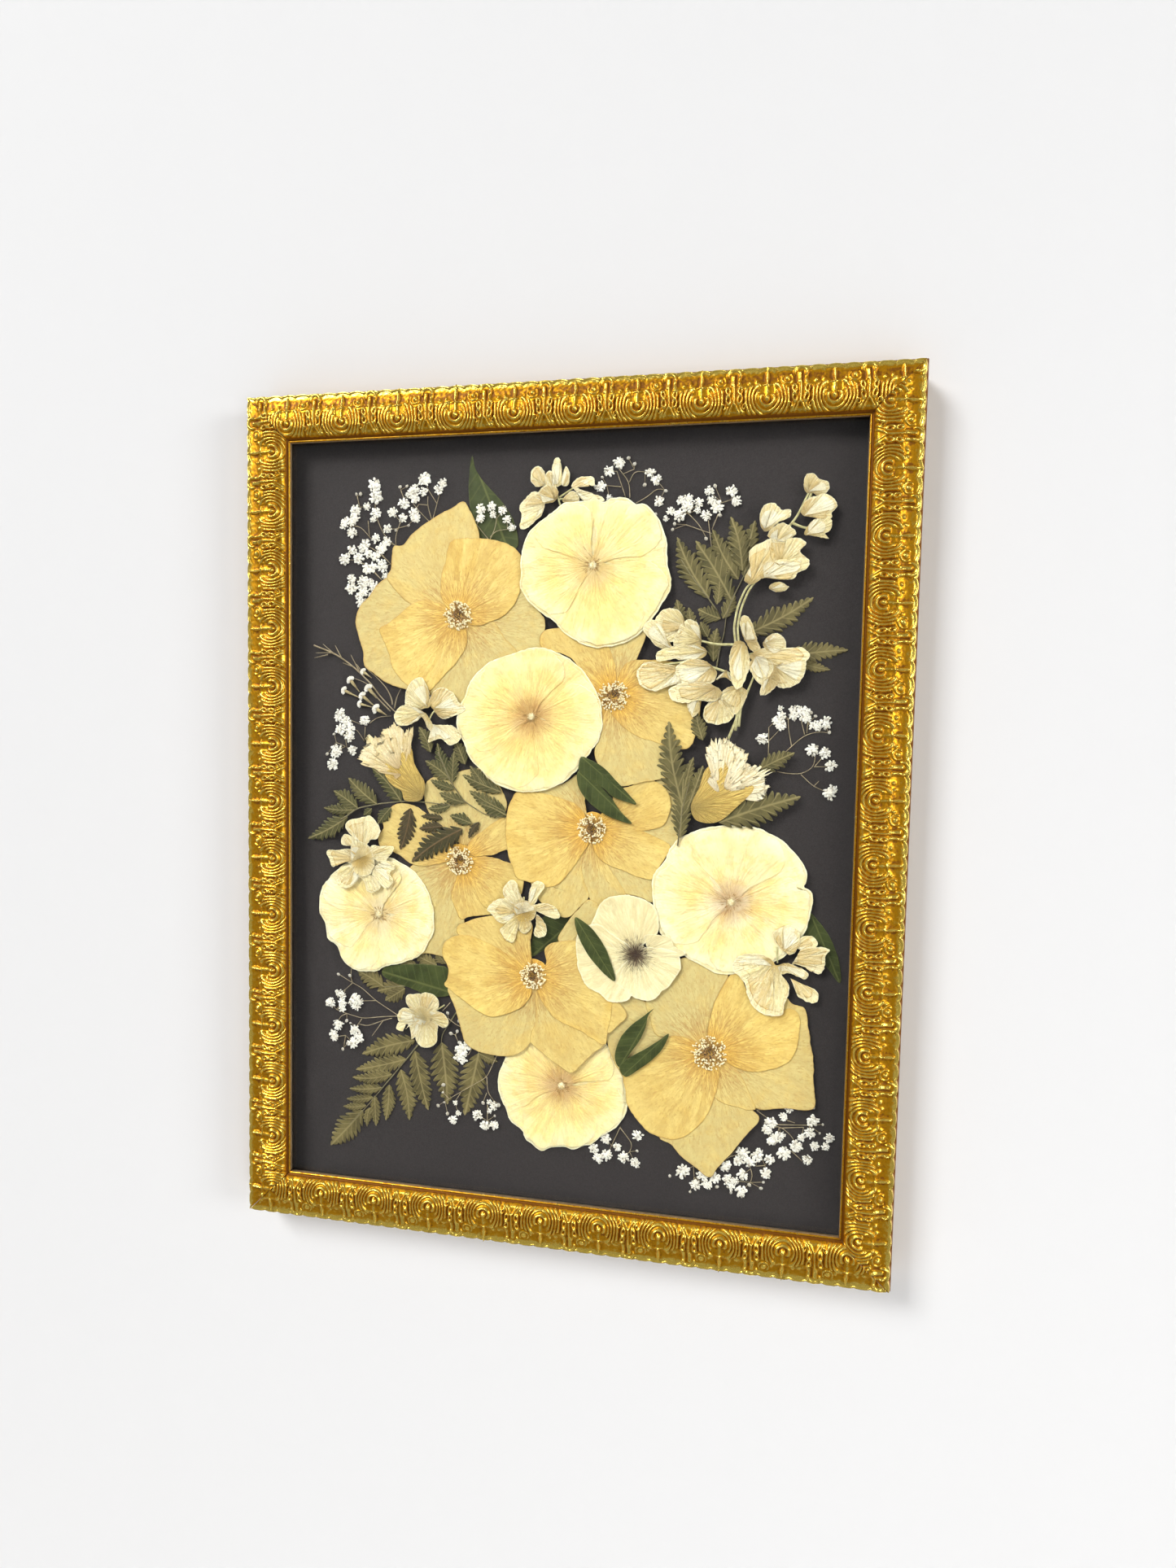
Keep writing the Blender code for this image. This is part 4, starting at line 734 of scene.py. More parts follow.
class Effect:
    """One shared shader node group, while it is being built."""

    def __init__(self, name: str, inputs: dict[str, float | None],
                 outputs: tuple[str, ...]) -> None:
        """Start the group with named sockets.

        Args:
            name: The group's name.
            inputs: Each input's default: a number, or None for a vector.
            outputs: The names of its outputs, which are numbers.
        """
        self.tree = bpy.data.node_groups.new(name, "ShaderNodeTree")
        add = self.tree.interface.new_socket
        for label, value in inputs.items():
            if value is None:
                add(label, in_out="INPUT", socket_type="NodeSocketVector")
            else:
                add(label, in_out="INPUT", socket_type="NodeSocketFloat").default_value = value
        for label in outputs:
            add(label, in_out="OUTPUT", socket_type="NodeSocketFloat")
        self.graph = Graph(self.tree)
        self.taken = self.tree.nodes.new("NodeGroupInput").outputs
        self.given = self.tree.nodes.new("NodeGroupOutput").inputs

    def give(self, **values: Socket) -> Tree:
        """Feed the group's outputs and return the group."""
        for label, value in values.items():
            self.graph.feed(self.given[label], value)
        return self.tree


class Effects:
    """The shader node groups that several finishes share."""

    def __init__(self) -> None:
        """Build each group once."""
        self.veins = self.build_veins()
        self.mottle = self.build_mottle()
        self.crumple = self.build_crumple()
        self.blades = self.build_blades()

    def build_veins(self) -> Tree:
        """Build thin veins that fan out from a flower's centre and fork on the way.

        Returns:
            The group: Vein is a line, Streak a broad pleat and Fine a thin streak.
        """
        effect = Effect("FanningVeins", {"Flow": None, "Count": 9.0, "Width": 0.14},
                        ("Vein", "Streak", "Fine"))
        graph, taken = effect.graph, effect.taken
        parts = graph.parts(taken["Flow"])
        across = [graph.times(part, taken["Count"]) for part in parts[:2]]
        along = graph.times(parts[2], 0.10)
        way = graph.add("CombineXYZ", {0: across[0], 1: across[1], 2: along}).outputs[0]
        away = graph.off_middle(graph.noise(way, 1.0, 1.0, 0.5, 0.1))
        return effect.give(Vein=graph.line(away, taken["Width"]),
                           Streak=graph.noise(way, 0.8, 2.0, 0.6, 0.2),
                           Fine=graph.noise(way, 4.2, 2.0, 0.6, 0.1))

    def build_mottle(self) -> Tree:
        """Build the cloudy unevenness and fine tooth of dried tissue.

        Returns:
            The group, with outputs Cloud, Patch and Grain.
        """
        effect = Effect("DriedMottle", {"Vector": None, "Size": 8.0}, ("Cloud", "Patch", "Grain"))
        graph, taken = effect.graph, effect.taken
        scale = graph.math("DIVIDE", 1 / MM, taken["Size"])
        cloud, patch, grain = (
            graph.noise(taken["Vector"], graph.times(scale, factor), detail, 0.6, 0.2)
            for factor, detail in ((1.0, 3.0), (2.7, 2.0), (14.0, 2.0)))
        return effect.give(Cloud=cloud, Patch=patch, Grain=grain)

    def build_crumple(self) -> Tree:
        """Build the creases of a petal that dried folded and was pressed flat.

        Returns:
            The group: Crease is the dark line, Height the relief.
        """
        effect = Effect("PressedCreases", {"Vector": None, "Size": 3.0}, ("Crease", "Height"))
        graph, taken = effect.graph, effect.taken
        scale = graph.math("DIVIDE", 1 / MM, taken["Size"])
        away = graph.off_middle(graph.noise(taken["Vector"], scale, 2.0, 0.5, 0.9))
        wide = graph.noise(taken["Vector"], graph.times(scale, 0.7), 1.0, 0.5, 0.0)
        crease = graph.times(graph.rise(away, 0.0, 0.03, 1.0, 0.0), graph.rise(wide, 0.42, 0.6))
        height = graph.noise(taken["Vector"], graph.times(scale, 1.4), 3.0, 0.6, 0.4)
        return effect.give(Crease=crease, Height=height)

    def build_blades(self) -> Tree:
        """Build a leaf's midrib and its side veins from its own along and across shares.

        Returns:
            The group, with outputs Rib and Side.
        """
        effect = Effect("LeafRibs", {"Flow": None, "Pairs": 9.0, "Slant": 1.4, "Width": 0.06},
                        ("Rib", "Side"))
        graph, taken = effect.graph, effect.taken
        along, across, _ = graph.parts(taken["Flow"])
        across = graph.math("ABSOLUTE", across)
        rib = graph.line(across, taken["Width"])
        slanted = graph.math("SUBTRACT", graph.times(along, taken["Pairs"]),
                             graph.times(across, taken["Slant"]))
        tooth = graph.off_middle(graph.math("FRACT", slanted))
        return effect.give(Rib=rib, Side=graph.rise(tooth, 0.0, 0.14, 1.0, 0.0))


def start_material(name: str, roughness: float,
                   **settings: object) -> tuple[Material, Graph, Node]:
    """Start a material with its Principled shader.

    Args:
        name: The material's name.
        roughness: Its plain roughness.
        **settings: The shader's other plain values, with _ for each space.

    Returns:
        The material, its graph and the Principled node.
    """
    material = bpy.data.materials.new(name)
    material.use_nodes = True
    shader = material.node_tree.nodes["Principled BSDF"]
    for label, value in {"Roughness": roughness, **settings}.items():
        shader.inputs[label.replace("_", " ")].default_value = value
    return material, Graph(material.node_tree), shader


def add_bump(graph: Graph, shader: Node, height: Socket, depth_mm: float) -> None:
    """Feed a relief to a shader's normal.

    Args:
        graph: The material's graph.
        shader: Its Principled node.
        height: The relief, from 0 to 1.
        depth_mm: How deep the relief is, in millimetres.
    """
    bump = graph.add("Bump", {"Height": height, "Distance": depth_mm * MM, "Strength": 1.0})
    graph.feed(shader.inputs["Normal"], bump.outputs[0])


def see_through(material: Material, graph: Graph, shader: Node, share: Socket,
                colour: Colour = (1.0, 1.0, 1.0, 1.0)) -> None:
    """Let a material be clear instead of its shader by a share.

    Args:
        material: The material.
        graph: Its graph.
        shader: Its Principled node.
        share: Where it is clear.
        colour: The colour of the light that passes.
    """
    clear = graph.add("BsdfTransparent", {0: colour})
    either = graph.add("MixShader", {0: share, 1: shader.outputs[0], 2: clear.outputs[0]})
    output = material.node_tree.nodes["Material Output"]
    graph.feed(output.inputs["Surface"], either.outputs[0])


@dataclass(frozen=True)
class PetalFinish:
    """A pressed petal: cloudy tissue with fanning veins, paler or greyer where it is one layer."""

    name: str
    body: Colour
    shade: Colour
    sheer: Colour
    heart: Colour
    vein: Colour
    rim: Colour
    stain_and_shade: Colour = tint(90, 60, 45)
    heart_reach: float = 22.0
    heart_rays: float = 12.0
    vein_reach: float = 30.0
    vein_count: float = 9.0
    vein_strength: float = 0.5
    fine_strength: float = 0.8
    crease_size: float = 16.0
    crease_strength: float = 0.05
    relief: float = 0.5
    roughness: float = 0.62
    core: float = 0.25

    def make(self, effects: Effects) -> Material:
        """Build the material.

        Args:
            effects: The shared node groups.

        Returns:
            The material.
        """
        material, graph, shader = start_material(self.name, self.roughness, Sheen_Weight=0.08,
                                                 Specular_IOR_Level=0.25)
        place, flow = graph.place(), graph.flow()
        sheer, warm, rim, stain_and_shade = graph.looks()
        reach = graph.parts(flow)[2]
        veins = graph.use(effects.veins, Flow=flow, Count=self.vein_count)
        mottle = graph.use(effects.mottle, Vector=place, Size=16.0)
        crease = graph.use(effects.crumple, Vector=place, Size=self.crease_size)
        cloud, patch, grain = mottle["Cloud"], mottle["Patch"], mottle["Grain"]
        streak, fine = veins["Streak"], veins["Fine"]

        rays = graph.times(graph.math("SUBTRACT", fine, 0.5), self.heart_rays)
        glow = graph.rise(graph.plus(reach, rays), self.heart_reach * self.core, self.heart_reach,
                          1.0, 0.0)
        fade = graph.rise(reach, self.vein_reach * 0.35, self.vein_reach, 1.0, 0.35)
        broad = graph.times(graph.times(veins["Vein"], fade), self.vein_strength)
        thin = graph.times(graph.rise(fine, 0.5, 0.66), graph.times(fade, self.fine_strength))
        pleat = graph.plus(graph.times(cloud, 0.5), graph.times(streak, 0.5))
        colour = self.body
        for share, layer in (
                (graph.rise(pleat, 0.38, 0.62), self.shade),
                (graph.times(sheer, graph.rise(patch, 0.25, 0.6, 0.72, 1.05)), self.sheer),
                (graph.times(glow, warm), self.heart),
                (graph.math("MAXIMUM", broad, thin), self.vein),
                # Creases darkened towards the vein colour: partly the browned crease, partly
                # painted shade in the fold.
                (graph.times(crease["Crease"], self.crease_strength), self.vein),
                # The stain share paints real browning, and on blossom folds painted shade.
                (graph.times(stain_and_shade, graph.rise(streak, 0.3, 0.6, 0.35, 1.0)), self.stain_and_shade),
                (graph.times(rim, graph.rise(patch, 0.3, 0.6, 0.5, 1.0)), self.rim)):
            colour = graph.blend(share, colour, layer)
        tooth = graph.blend(grain, (0.45, 0.42, 0.36, 1), (1, 1, 1, 1))
        graph.feed(shader.inputs["Base Color"], graph.blend(0.22, colour, tooth, "MULTIPLY"))
        graph.feed(shader.inputs["Roughness"], graph.rise(
            cloud, 0.3, 0.7, self.roughness - 0.1, self.roughness + 0.12))
        height = graph.times(streak, 1.2)
        for layer, share in ((fine, 0.35), (crease["Height"], 0.8), (grain, 0.1)):
            height = graph.plus(height, graph.times(layer, share))
        add_bump(graph, shader, height, self.relief)
        return material


@dataclass(frozen=True)
class LeafFinish:
    """A pressed leaf or frond: dull tissue with a midrib and side veins along its own blade."""

    name: str
    body: Colour
    shade: Colour
    rib: Colour
    pairs: float = 9.0
    slant: float = 1.4
    rib_width: float = 0.07
    side_strength: float = 0.25
    deep: Colour = tint(52, 60, 30)
    roughness: float = 0.6

    def make(self, effects: Effects) -> Material:
        """Build the material.

        Args:
            effects: The shared node groups.

        Returns:
            The material.
        """
        material, graph, shader = start_material(self.name, self.roughness, Specular_IOR_Level=0.2)
        deep, edge, _, _ = graph.looks()
        mottle = graph.use(effects.mottle, Vector=graph.place(), Size=9.0)
        ribs = graph.use(effects.blades, Flow=graph.flow(), Pairs=self.pairs, Slant=self.slant,
                         Width=self.rib_width)
        colour = graph.blend(graph.rise(mottle["Cloud"], 0.35, 0.68), self.body, self.shade)
        colour = graph.blend(graph.times(deep, 0.85), colour, self.deep)
        # Painted highlight: each leaf's rim is lightened towards the rib colour.
        colour = graph.blend(graph.times(edge, 0.7), colour, self.rib)
        line = graph.math("MAXIMUM", graph.times(ribs["Rib"], 0.75),
                          graph.times(ribs["Side"], self.side_strength))
        colour = graph.blend(line, colour, self.rib)
        tooth = graph.blend(mottle["Grain"], (0.5, 0.5, 0.5, 1), (1, 1, 1, 1))
        graph.feed(shader.inputs["Base Color"], graph.blend(0.3, colour, tooth, "MULTIPLY"))
        graph.feed(shader.inputs["Roughness"], graph.rise(
            mottle["Patch"], 0.3, 0.7, self.roughness - 0.1, self.roughness + 0.1))
        height = graph.plus(graph.times(line, 0.8), graph.times(mottle["Patch"], 0.5))
        add_bump(graph, shader, height, 0.15)
        return material


@dataclass(frozen=True)
class GrainFinish:
    """A plain dull finish with a fine tooth: stems, stamens, board, paper and bare wood."""

    name: str
    body: Colour
    shade: Colour
    size: float = 3.0
    stretch: Numbers = (1.0, 1.0, 1.0)
    relief: float = 0.05
    roughness: float = 0.8
    metallic: float = 0.0
    fleck: float = 0.25
    deep: Colour = tint(120, 104, 72)

    def make(self, effects: Effects) -> Material:
        """Build the material.

        Args:
            effects: The shared node groups.

        Returns:
            The material.
        """
        material, graph, shader = start_material(self.name, self.roughness, Metallic=self.metallic)
        place = graph.add("VectorMath", {0: graph.place(), 1: self.stretch}, operation="MULTIPLY")
        mottle = graph.use(effects.mottle, Vector=place.outputs[0], Size=self.size)
        colour = graph.blend(graph.rise(mottle["Cloud"], 0.32, 0.68), self.body, self.shade)
        colour = graph.blend(graph.looks()[0], colour, self.deep)
        speck = graph.blend(mottle["Grain"], (0.35, 0.35, 0.35, 1), (1, 1, 1, 1))
        graph.feed(shader.inputs["Base Color"], graph.blend(self.fleck, colour, speck, "MULTIPLY"))
        graph.feed(shader.inputs["Roughness"], graph.rise(
            mottle["Patch"], 0.3, 0.7, self.roughness - 0.08, min(1.0, self.roughness + 0.08)))
        add_bump(graph, shader, mottle["Grain"], self.relief)
        return material


@dataclass(frozen=True)
class GildedFinish:
    """Burnished gold over a brown ground, with painted light: a paler highlight colour on what
    stands proud and a darker brown in the hollows, partly patina and partly painted shade.
    """

    name: str = "GildedMoulding"
    # crest is a painted highlight colour, and hollow a painted shade colour that is partly the
    # brown ground's patina.
    crest: Colour = tint(255, 222, 102)
    gold: Colour = tint(224, 160, 16)
    hollow: Colour = tint(140, 86, 2)
    foil: float = 0.05

    def make(self, effects: Effects) -> Material:
        """Build the material.

        Args:
            effects: The shared node groups.

        Returns:
            The material.
        """
        material, graph, shader = start_material(self.name, 0.3, Metallic=1.0)
        mottle = graph.use(effects.mottle, Vector=graph.place(), Size=5.0)
        # The first share carries the rail's painted highlight and painted shade with its patina,
        # varied at random.
        wear_and_shade = graph.plus(graph.looks()[0], graph.rise(mottle["Patch"], 0.25, 0.75, -0.16, 0.16))
        colour = graph.blend(graph.rise(wear_and_shade, 0.18, 0.5), self.hollow, self.gold)
        colour = graph.blend(graph.rise(wear_and_shade, 0.5, 0.92), colour, self.crest)
        graph.feed(shader.inputs["Base Color"], colour)
        graph.feed(shader.inputs["Metallic"], graph.rise(wear_and_shade, 0.1, 0.5, 0.5, 0.75))
        graph.feed(shader.inputs["Roughness"], graph.rise(wear_and_shade, 0.15, 0.75, 0.55, 0.27))
        wrinkle = graph.plus(mottle["Grain"], graph.times(mottle["Patch"], 0.8))
        add_bump(graph, shader, wrinkle, self.foil)
        return material


def make_glass() -> Material:
    """Build the clear pane, which lets light through to the flowers.

    Returns:
        The material.
    """
    material, graph, shader = start_material(
        "ClearGlass", 0.0, Base_Color=(0.99, 1.0, 0.995, 1.0), Transmission_Weight=1.0, IOR=1.46)
    shadow = graph.add("LightPath").outputs["Is Shadow Ray"]
    see_through(material, graph, shader, shadow, (0.98, 0.985, 0.98, 1.0))
    return material


# The moulding


def ridge(away: Array, width: float | Array) -> Array:
    """Return a rounded ridge's height: 1 on its crest, and about a third at a width from it."""
    return np.exp(-((away / width) ** 2))


def band(value: Array, *flanks: float) -> Array:
    """Return 1 in a band and 0 outside it: it rises and falls between the four flanks."""
    return smoothstep(flanks[0], flanks[1], value) * (1 - smoothstep(flanks[2], flanks[3], value))


class Side(Enum):
    """The four rails: name, place of the sight edge's middle, turn, first motif and outer tone,
    which is painted light: the outer band darker on the top rail and brighter on the bottom one, in
    place of the room's reflections.
    """

    TOP = ("rail_top", (0.0, SIGHT_HEIGHT / 2), 0.0, -146.0, -0.10)
    BOTTOM = ("rail_bottom", (0.0, -SIGHT_HEIGHT / 2), math.pi, -149.6, 0.14)
    LEFT = ("rail_left", (-SIGHT_WIDTH / 2, 0.0), math.pi / 2, -206.3, 0.0)
    RIGHT = ("rail_right", (SIGHT_WIDTH / 2, 0.0), -math.pi / 2, -202.0, 0.0)


@dataclass(frozen=True)
class Carving:
    """A rail's surface: a grid of places along and outwards, with depth and brightness."""

    along: Array
    out: Array
    depth: Array
    bright: Array
    front_rows: int


@dataclass(frozen=True)
class Moulding:
    """The gilded frame: four mitred rails with scrolls and leaves cast in relief."""

    face: float = 25.3
    rebate: float = 6.4
    lip_back: float = 12.4
    pitch: float = 30.6
    finest: int = 1240
    mitre_gap: float = 0.15
    tallest: float = 19.66
    boss_out: float = 8.3
    first_line: float = 5.3
    line_step: float = 1.53
    rim_depth: float = 12.6
    hollow_reach: float = 2.3
    profile: tuple[Numbers, ...] = (
        (0.0, 14.3), (0.3, 14.9), (0.7, 14.8), (1.0, 14.2), (1.5, 14.3), (2.0, 15.6), (3.2, 17.0),
        (6.0, 18.0), (9.0, 18.3), (12.5, 18.1), (14.5, 17.7), (16.0, 17.0), (17.5, 16.4),
        (19.5, 16.1), (21.0, 16.2), (22.6, 16.1), (23.6, 15.5), (24.4, 14.6), (25.3, 11.8))
    leaf_curls: tuple[Numbers, ...] = (
        (2.6, 8.4, 2.3, 1.25), (2.9, 12.6, 2.0, 1.2), (4.6, 5.4, 1.3, 0.7))

    def horseshoe(self, side: Array, up: Array) -> Array:
        """Return which of the nested scroll lines runs through a place, as its radius.

        Args:
            side: The distance from the motif's middle line.
            up: The distance outwards from the boss.

        Returns:
            The radius: a circle's towards the sight edge, drawn out towards the outer edge.
        """
        radius = np.hypot(side, up)
        for _ in range(4):
            drawn = np.interp(radius, (5.0, 6.6, 9.0, 10.4), (1.0, 0.74, 0.70, 0.5))
            radius = np.hypot(side, up * np.where(up > 0, drawn, 1.0))
        return radius

    def scrolls(self, along: Array, out: Array) -> Array:
        """Return the carving's height over the plain section.

        Args:
            along: The distance from the nearest motif's middle.
            out: The distance from the sight edge.

        Returns:
            The height in millimetres.
        """
        side, up = np.abs(along), out - self.boss_out
        far = self.horseshoe(side, up)
        # The nested scroll lines, which end at the dart, and the groove round them.
        last = np.interp(far, (5.3, 6.8, 8.3, 9.9), (11.6, 15.3, 14.8, 13.2))
        reach = band(far, 4.5, 4.95, 10.35, 10.75) * (1 - smoothstep(last - 0.5, last + 0.4, out))
        line = 0.5 + 0.5 * np.cos((far - self.first_line) * 2 * math.pi / self.line_step)
        height = (1.25 * line**0.65 - 0.35) * reach
        height -= 0.5 * ridge(far - 11.1, 0.45) * (out < 14)
        # The ring round the boss, and the boss.
        ring_open = 1 - smoothstep(9.7, 10.7, out)
        height += (1.1 * ridge(far - 3.1, 0.65) - 0.4 * ridge(far - 1.9, 0.4)) * ring_open
        height += 1.4 * ridge(np.hypot(along, (up - 0.2) * 0.75), 1.0)
        # The stem in its sunk ground, the dart at its end and the bead beside it.
        height -= 0.35 * band(out, 10.0, 11.0, 14.4, 15.2) * (side < 3.2)
        height += 0.6 * ridge(side, 0.8) * band(out, 9.8, 11.0, 14.6, 15.6)
        dart = np.interp(out, (15.0, 16.0, 18.3, 20.5, 22.0), (0.3, 0.55, 1.3, 0.8, 0.05))
        height += 1.7 * np.clip(1 - side / dart, 0, 1) ** 0.8 * smoothstep(14.6, 15.6, out)
        height += 0.9 * ridge(np.hypot(side - 4.0, out - 15.4), 0.7)
        return height + self.leaves(self.pitch / 2 - side, out, along > 0)

    def leaves(self, aside: Array, out: Array, after: Array) -> Array:
        """Return the height of the leaves between two motifs and of the outer lobes.

        Args:
            aside: The distance from the middle between two motifs.
            out: The distance from the sight edge.
            after: Whether the place lies behind its motif along the rail.

        Returns:
            The height in millimetres.
        """
        # The stem between the motifs and the outer blade beside it.
        height = 1.2 * ridge(aside, 0.42) * band(out, 5.6, 7.0, 19.8, 20.8)
        beside = np.where(after, 0.9, 2.3 + 0.05 * (out - 18) ** 2)
        blade = np.clip(1 - np.abs(aside - beside) / 1.1, 0, 1) ** 0.7
        height += blade * band(out, 14.6, 15.8, 20.0, 21.2)
        # The two lines that flare towards the sight edge, and the curled leaves.
        flare = np.interp(out, (2.2, 7.0), (2.8, 0.2))
        height += 0.9 * ridge(aside - flare, 0.4) * band(out, 1.8, 2.6, 6.4, 7.2)
        height += 0.8 * ridge(aside - flare - 1.5, 0.4) * band(out, 2.0, 3.0, 5.0, 6.4)
        for x, z, long, wide in self.leaf_curls:
            body = np.hypot((out - z) / long, (aside - x - 0.15 * (out - z)) / wide)
            height += ridge(body - 0.8, 0.3) - 0.3 * ridge(body, 0.35)
        # The outer knobs, the loop and the line along the scalloped edge.
        knob = np.hypot(aside - np.where(after, 6.4, 6.9), out - np.where(after, 17.8, 16.4))
        large = np.where(after, 1.0, 0.55)
        height += 1.5 * large * ridge(knob, 1.3 * large)
        height += 0.8 * ridge(knob - 2.5, 0.4) * after * (out < 19.5)
        height += 0.8 * ridge(np.hypot(aside - 10.2, (out - 17.0) / 1.5), 0.6)
        height += ridge(np.hypot(aside, out - 20.2) - 2.75, 0.5) * smoothstep(18.6, 19.8, out)
        line = self.rim_line(aside - self.pitch / 2) - out
        return height + 0.7 * ridge(line - 0.7, 0.45) - 0.25 * ridge(line - 1.7, 0.5)

    def rim_line(self, along: Array) -> Array:
        """Return how far out the scalloped outer edge lies."""
        return 23.0 + 1.35 * np.sqrt(np.abs(np.cos(along * math.pi / (self.pitch / 4))) + 1e-6)

    def rows(self) -> tuple[Array, Array, int]:
        """Return the section's points from the lip round to the lip again.

        Returns:
            Their distances outwards, their depths, and how many belong to the carved front.
        """
        front = np.concatenate([[0.0, 0.3, 0.7, 1.0, 1.5], np.arange(1.8, 16.0, 0.325),
                                np.arange(16.0, self.face - 0.2, 0.42), [self.face]])
        back = ((self.face, 8.0), (self.face, 4.0), (self.face, 0.0), (16.0, 0.0),
                (self.rebate, 0.0), (self.rebate, 6.0), (self.rebate, self.lip_back),
                (3.2, self.lip_back), (0.0, self.lip_back), (0.0, 14.3))
        back_out, back_depth = zip(*back)
        lifted = np.interp(front, *zip(*self.profile))
        return np.append(front, back_out), np.append(lifted, back_depth), len(front)

    def carve(self, first: float, reach: float, tone: float) -> Carving:
        """Work out the carved surface of one rail.

        Args:
            first: Where the first motif's middle lies along the rail.
            reach: Half the rail's length.
            tone: How much brighter the gold of the outer band is painted, as painted light in place
                of the room's reflections.

        Returns:
            The surface.
        """
        outs, depths, count = self.rows()
        run, out = np.meshgrid(np.linspace(-reach, reach, self.finest), outs, indexing="ij")
        depth = np.tile(depths, (self.finest, 1))
        cell = (run - first + self.pitch / 2) % self.pitch - self.pitch / 2
        wander = 0.12 * np.sin(run * 0.37 + out * 0.5)
        relief = self.scrolls(cell + wander, out + 0.10 * np.sin(run * 0.71))
        tool = 0.05 * np.sin(run * 1.9 + 2.2 * np.sin(out * 1.1))
        tool *= np.sin(out * 2.1 + np.sin(run * 0.9))
        raised = relief * smoothstep(1.7, 2.3, out) + tool * smoothstep(2.6, 4.0, out)
        front = depth + raised * (1 - smoothstep(24.0, 25.0, out))
        drop = smoothstep(0.0, 1.0, (out - self.rim_line(cell) + 0.35) / 1.1)
        front = front * (1 - drop) + np.minimum(front, self.rim_depth) * drop
        depth[:, 1:count - 1] = np.minimum(front, self.tallest)[:, 1:count - 1]
        bright = np.full_like(depth, 0.62)
        bright[:, :count] = self.brighten(depth[:, :count], outs[:count], reach, tone)
        return Carving(run, out, depth, bright, count)

    def brighten(self, depth: Array, outs: Array, reach: float, tone: float) -> Array:
        """Return how bright the gold is: a painted highlight on what stands proud, and dark in the
        hollows as patina and painted shade.

        Args:
            depth: The carved front's depths.
            outs: The distance of each row from the sight edge.
            reach: Half the rail's length.
            tone: How much brighter the gold of the outer band is painted, as painted light in place
                of the room's reflections.

        Returns:
            The brightness, from 0 to 1.
        """
        window = max(3, round(self.hollow_reach * self.finest / (2 * reach)))
        size = 2 * window
        total = np.cumsum(np.cumsum(np.pad(depth, window, mode="edge"), 0), 1)
        mean = (total[size:, size:] - total[:-size, size:] - total[size:, :-size]
                + total[:-size, :-size]) / size**2
        # Painted highlight and shade: lighter where the carving stands above its surroundings,
        # darker where it sinks below them, partly patina.
        bright = 0.54 + 0.62 * (depth - mean[:depth.shape[0], :depth.shape[1]])
        # Painted light on the outer band, per rail, and painted shade on the outermost edge that
        # holds back its glints.
        bright += (tone * smoothstep(14.8, 16.0, outs)
                   - (0.35 - 1.2 * tone) * smoothstep(23.0, 24.4, outs))
        # A dark line of painted shade in the cove behind the lip; the lip's bead itself stays gold.
        bright = np.clip(bright, 0.0, 1.0) * (1 - 0.9 * ridge(outs - 1.3, 0.4))
        return np.maximum(bright, 0.6 * ((outs > 0.2) & (outs < 0.8)))

    def cut_mitre(self, shape: Shape, way: int, half: float) -> None:
        """Cut one end of a rail at 45 degrees and close it with bare wood.

        Args:
            shape: The rail's mesh, lying along x.
            way: Which end: -1 or 1.
            half: Half the length of the rail's sight edge.
        """
        level = shape.verts.layers.float_color["look"]
        everything = shape.verts[:] + shape.edges[:] + shape.faces[:]
        bmesh.ops.bisect_plane(shape, geom=everything, dist=MERGE_GAP, clear_outer=True,
                               plane_co=(way * (half - self.mitre_gap), 0.0, 0.0),
                               plane_no=(way, 0.0, -1.0))
        ends = [edge for edge in shape.edges if edge.is_boundary]
        for cap in bmesh.ops.holes_fill(shape, edges=ends, sides=0)["faces"]:
            cap.material_index = 1
            for vertex in cap.verts:
                vertex[level] = Vector(vertex[level]) * 0.55

    def build_rail(self, side: Side, gold: Material, wood: Material) -> None:
        """Build one rail, mitred at both ends.

        Args:
            side: Which rail.
            gold: The carved front's finish.
            wood: The bare back's finish.
        """
        name, place, turn, first, tone = side.value
        half = SIGHT_HEIGHT / 2 if side in (Side.LEFT, Side.RIGHT) else SIGHT_WIDTH / 2
        carving = self.carve(first, half + self.face + 1.0, tone)
        columns, rows = (count - 1 for count in carving.depth.shape)
        shape = new_shape()
        made, along, across = grid_of(shape, columns, rows)
        at = np.rint(along * columns).astype(int), np.rint(across * rows).astype(int)
        put(made, np.column_stack([carving.along[at], carving.out[at]]), carving.depth[at])
        paint(shape, made, shares(len(made), carving.bright[at]))
        for vertex, row in zip(made, at[1]):
            vertex.tag = bool(row >= carving.front_rows + 2)
        for face in shape.faces:
            face.material_index = int(all(vertex.tag for vertex in face.verts))
        merge(shape, made, 1e-4)
        for way in (-1, 1):
            self.cut_mitre(shape, way, half)
        stand = Matrix.Translation((place[0], 0.0, place[1])) @ Matrix.Rotation(-turn, 4, "Y")
        bmesh.ops.transform(shape, matrix=stand, verts=shape.verts[:])
        finish_piece(shape, name + "_carved", [gold, wood], name)

    def build(self, gold: Material, wood: Material) -> None:
        """Build the four rails."""
        for side in Side:
            self.build_rail(side, gold, wood)


# The flowers


def level_depth(level: int) -> float:
    """Return how far a level of the pressing lies in front of the panel's back."""
    return LEVEL_ZERO + LEVEL_STEP * level


def angles_of(places: Array, centre: Place | Array) -> Array:
    """Return the angle at which each place lies from a centre."""
    return np.arctan2(places[:, 1] - centre[1], places[:, 0] - centre[0])


def rim_reach(rim: Array, centre: Place | Array, angles: Array) -> Array:
    """Return how far a rim lies from a centre at each angle.

    Args:
        rim: The rim's points.
        centre: The centre.
        angles: The angles to look along.

    Returns:
        The distances.
    """
    at = angles_of(rim, centre)
    order = np.argsort(at)
    far = distances(rim, np.array(centre))
    return np.interp(angles, at[order], far[order], period=2 * math.pi)


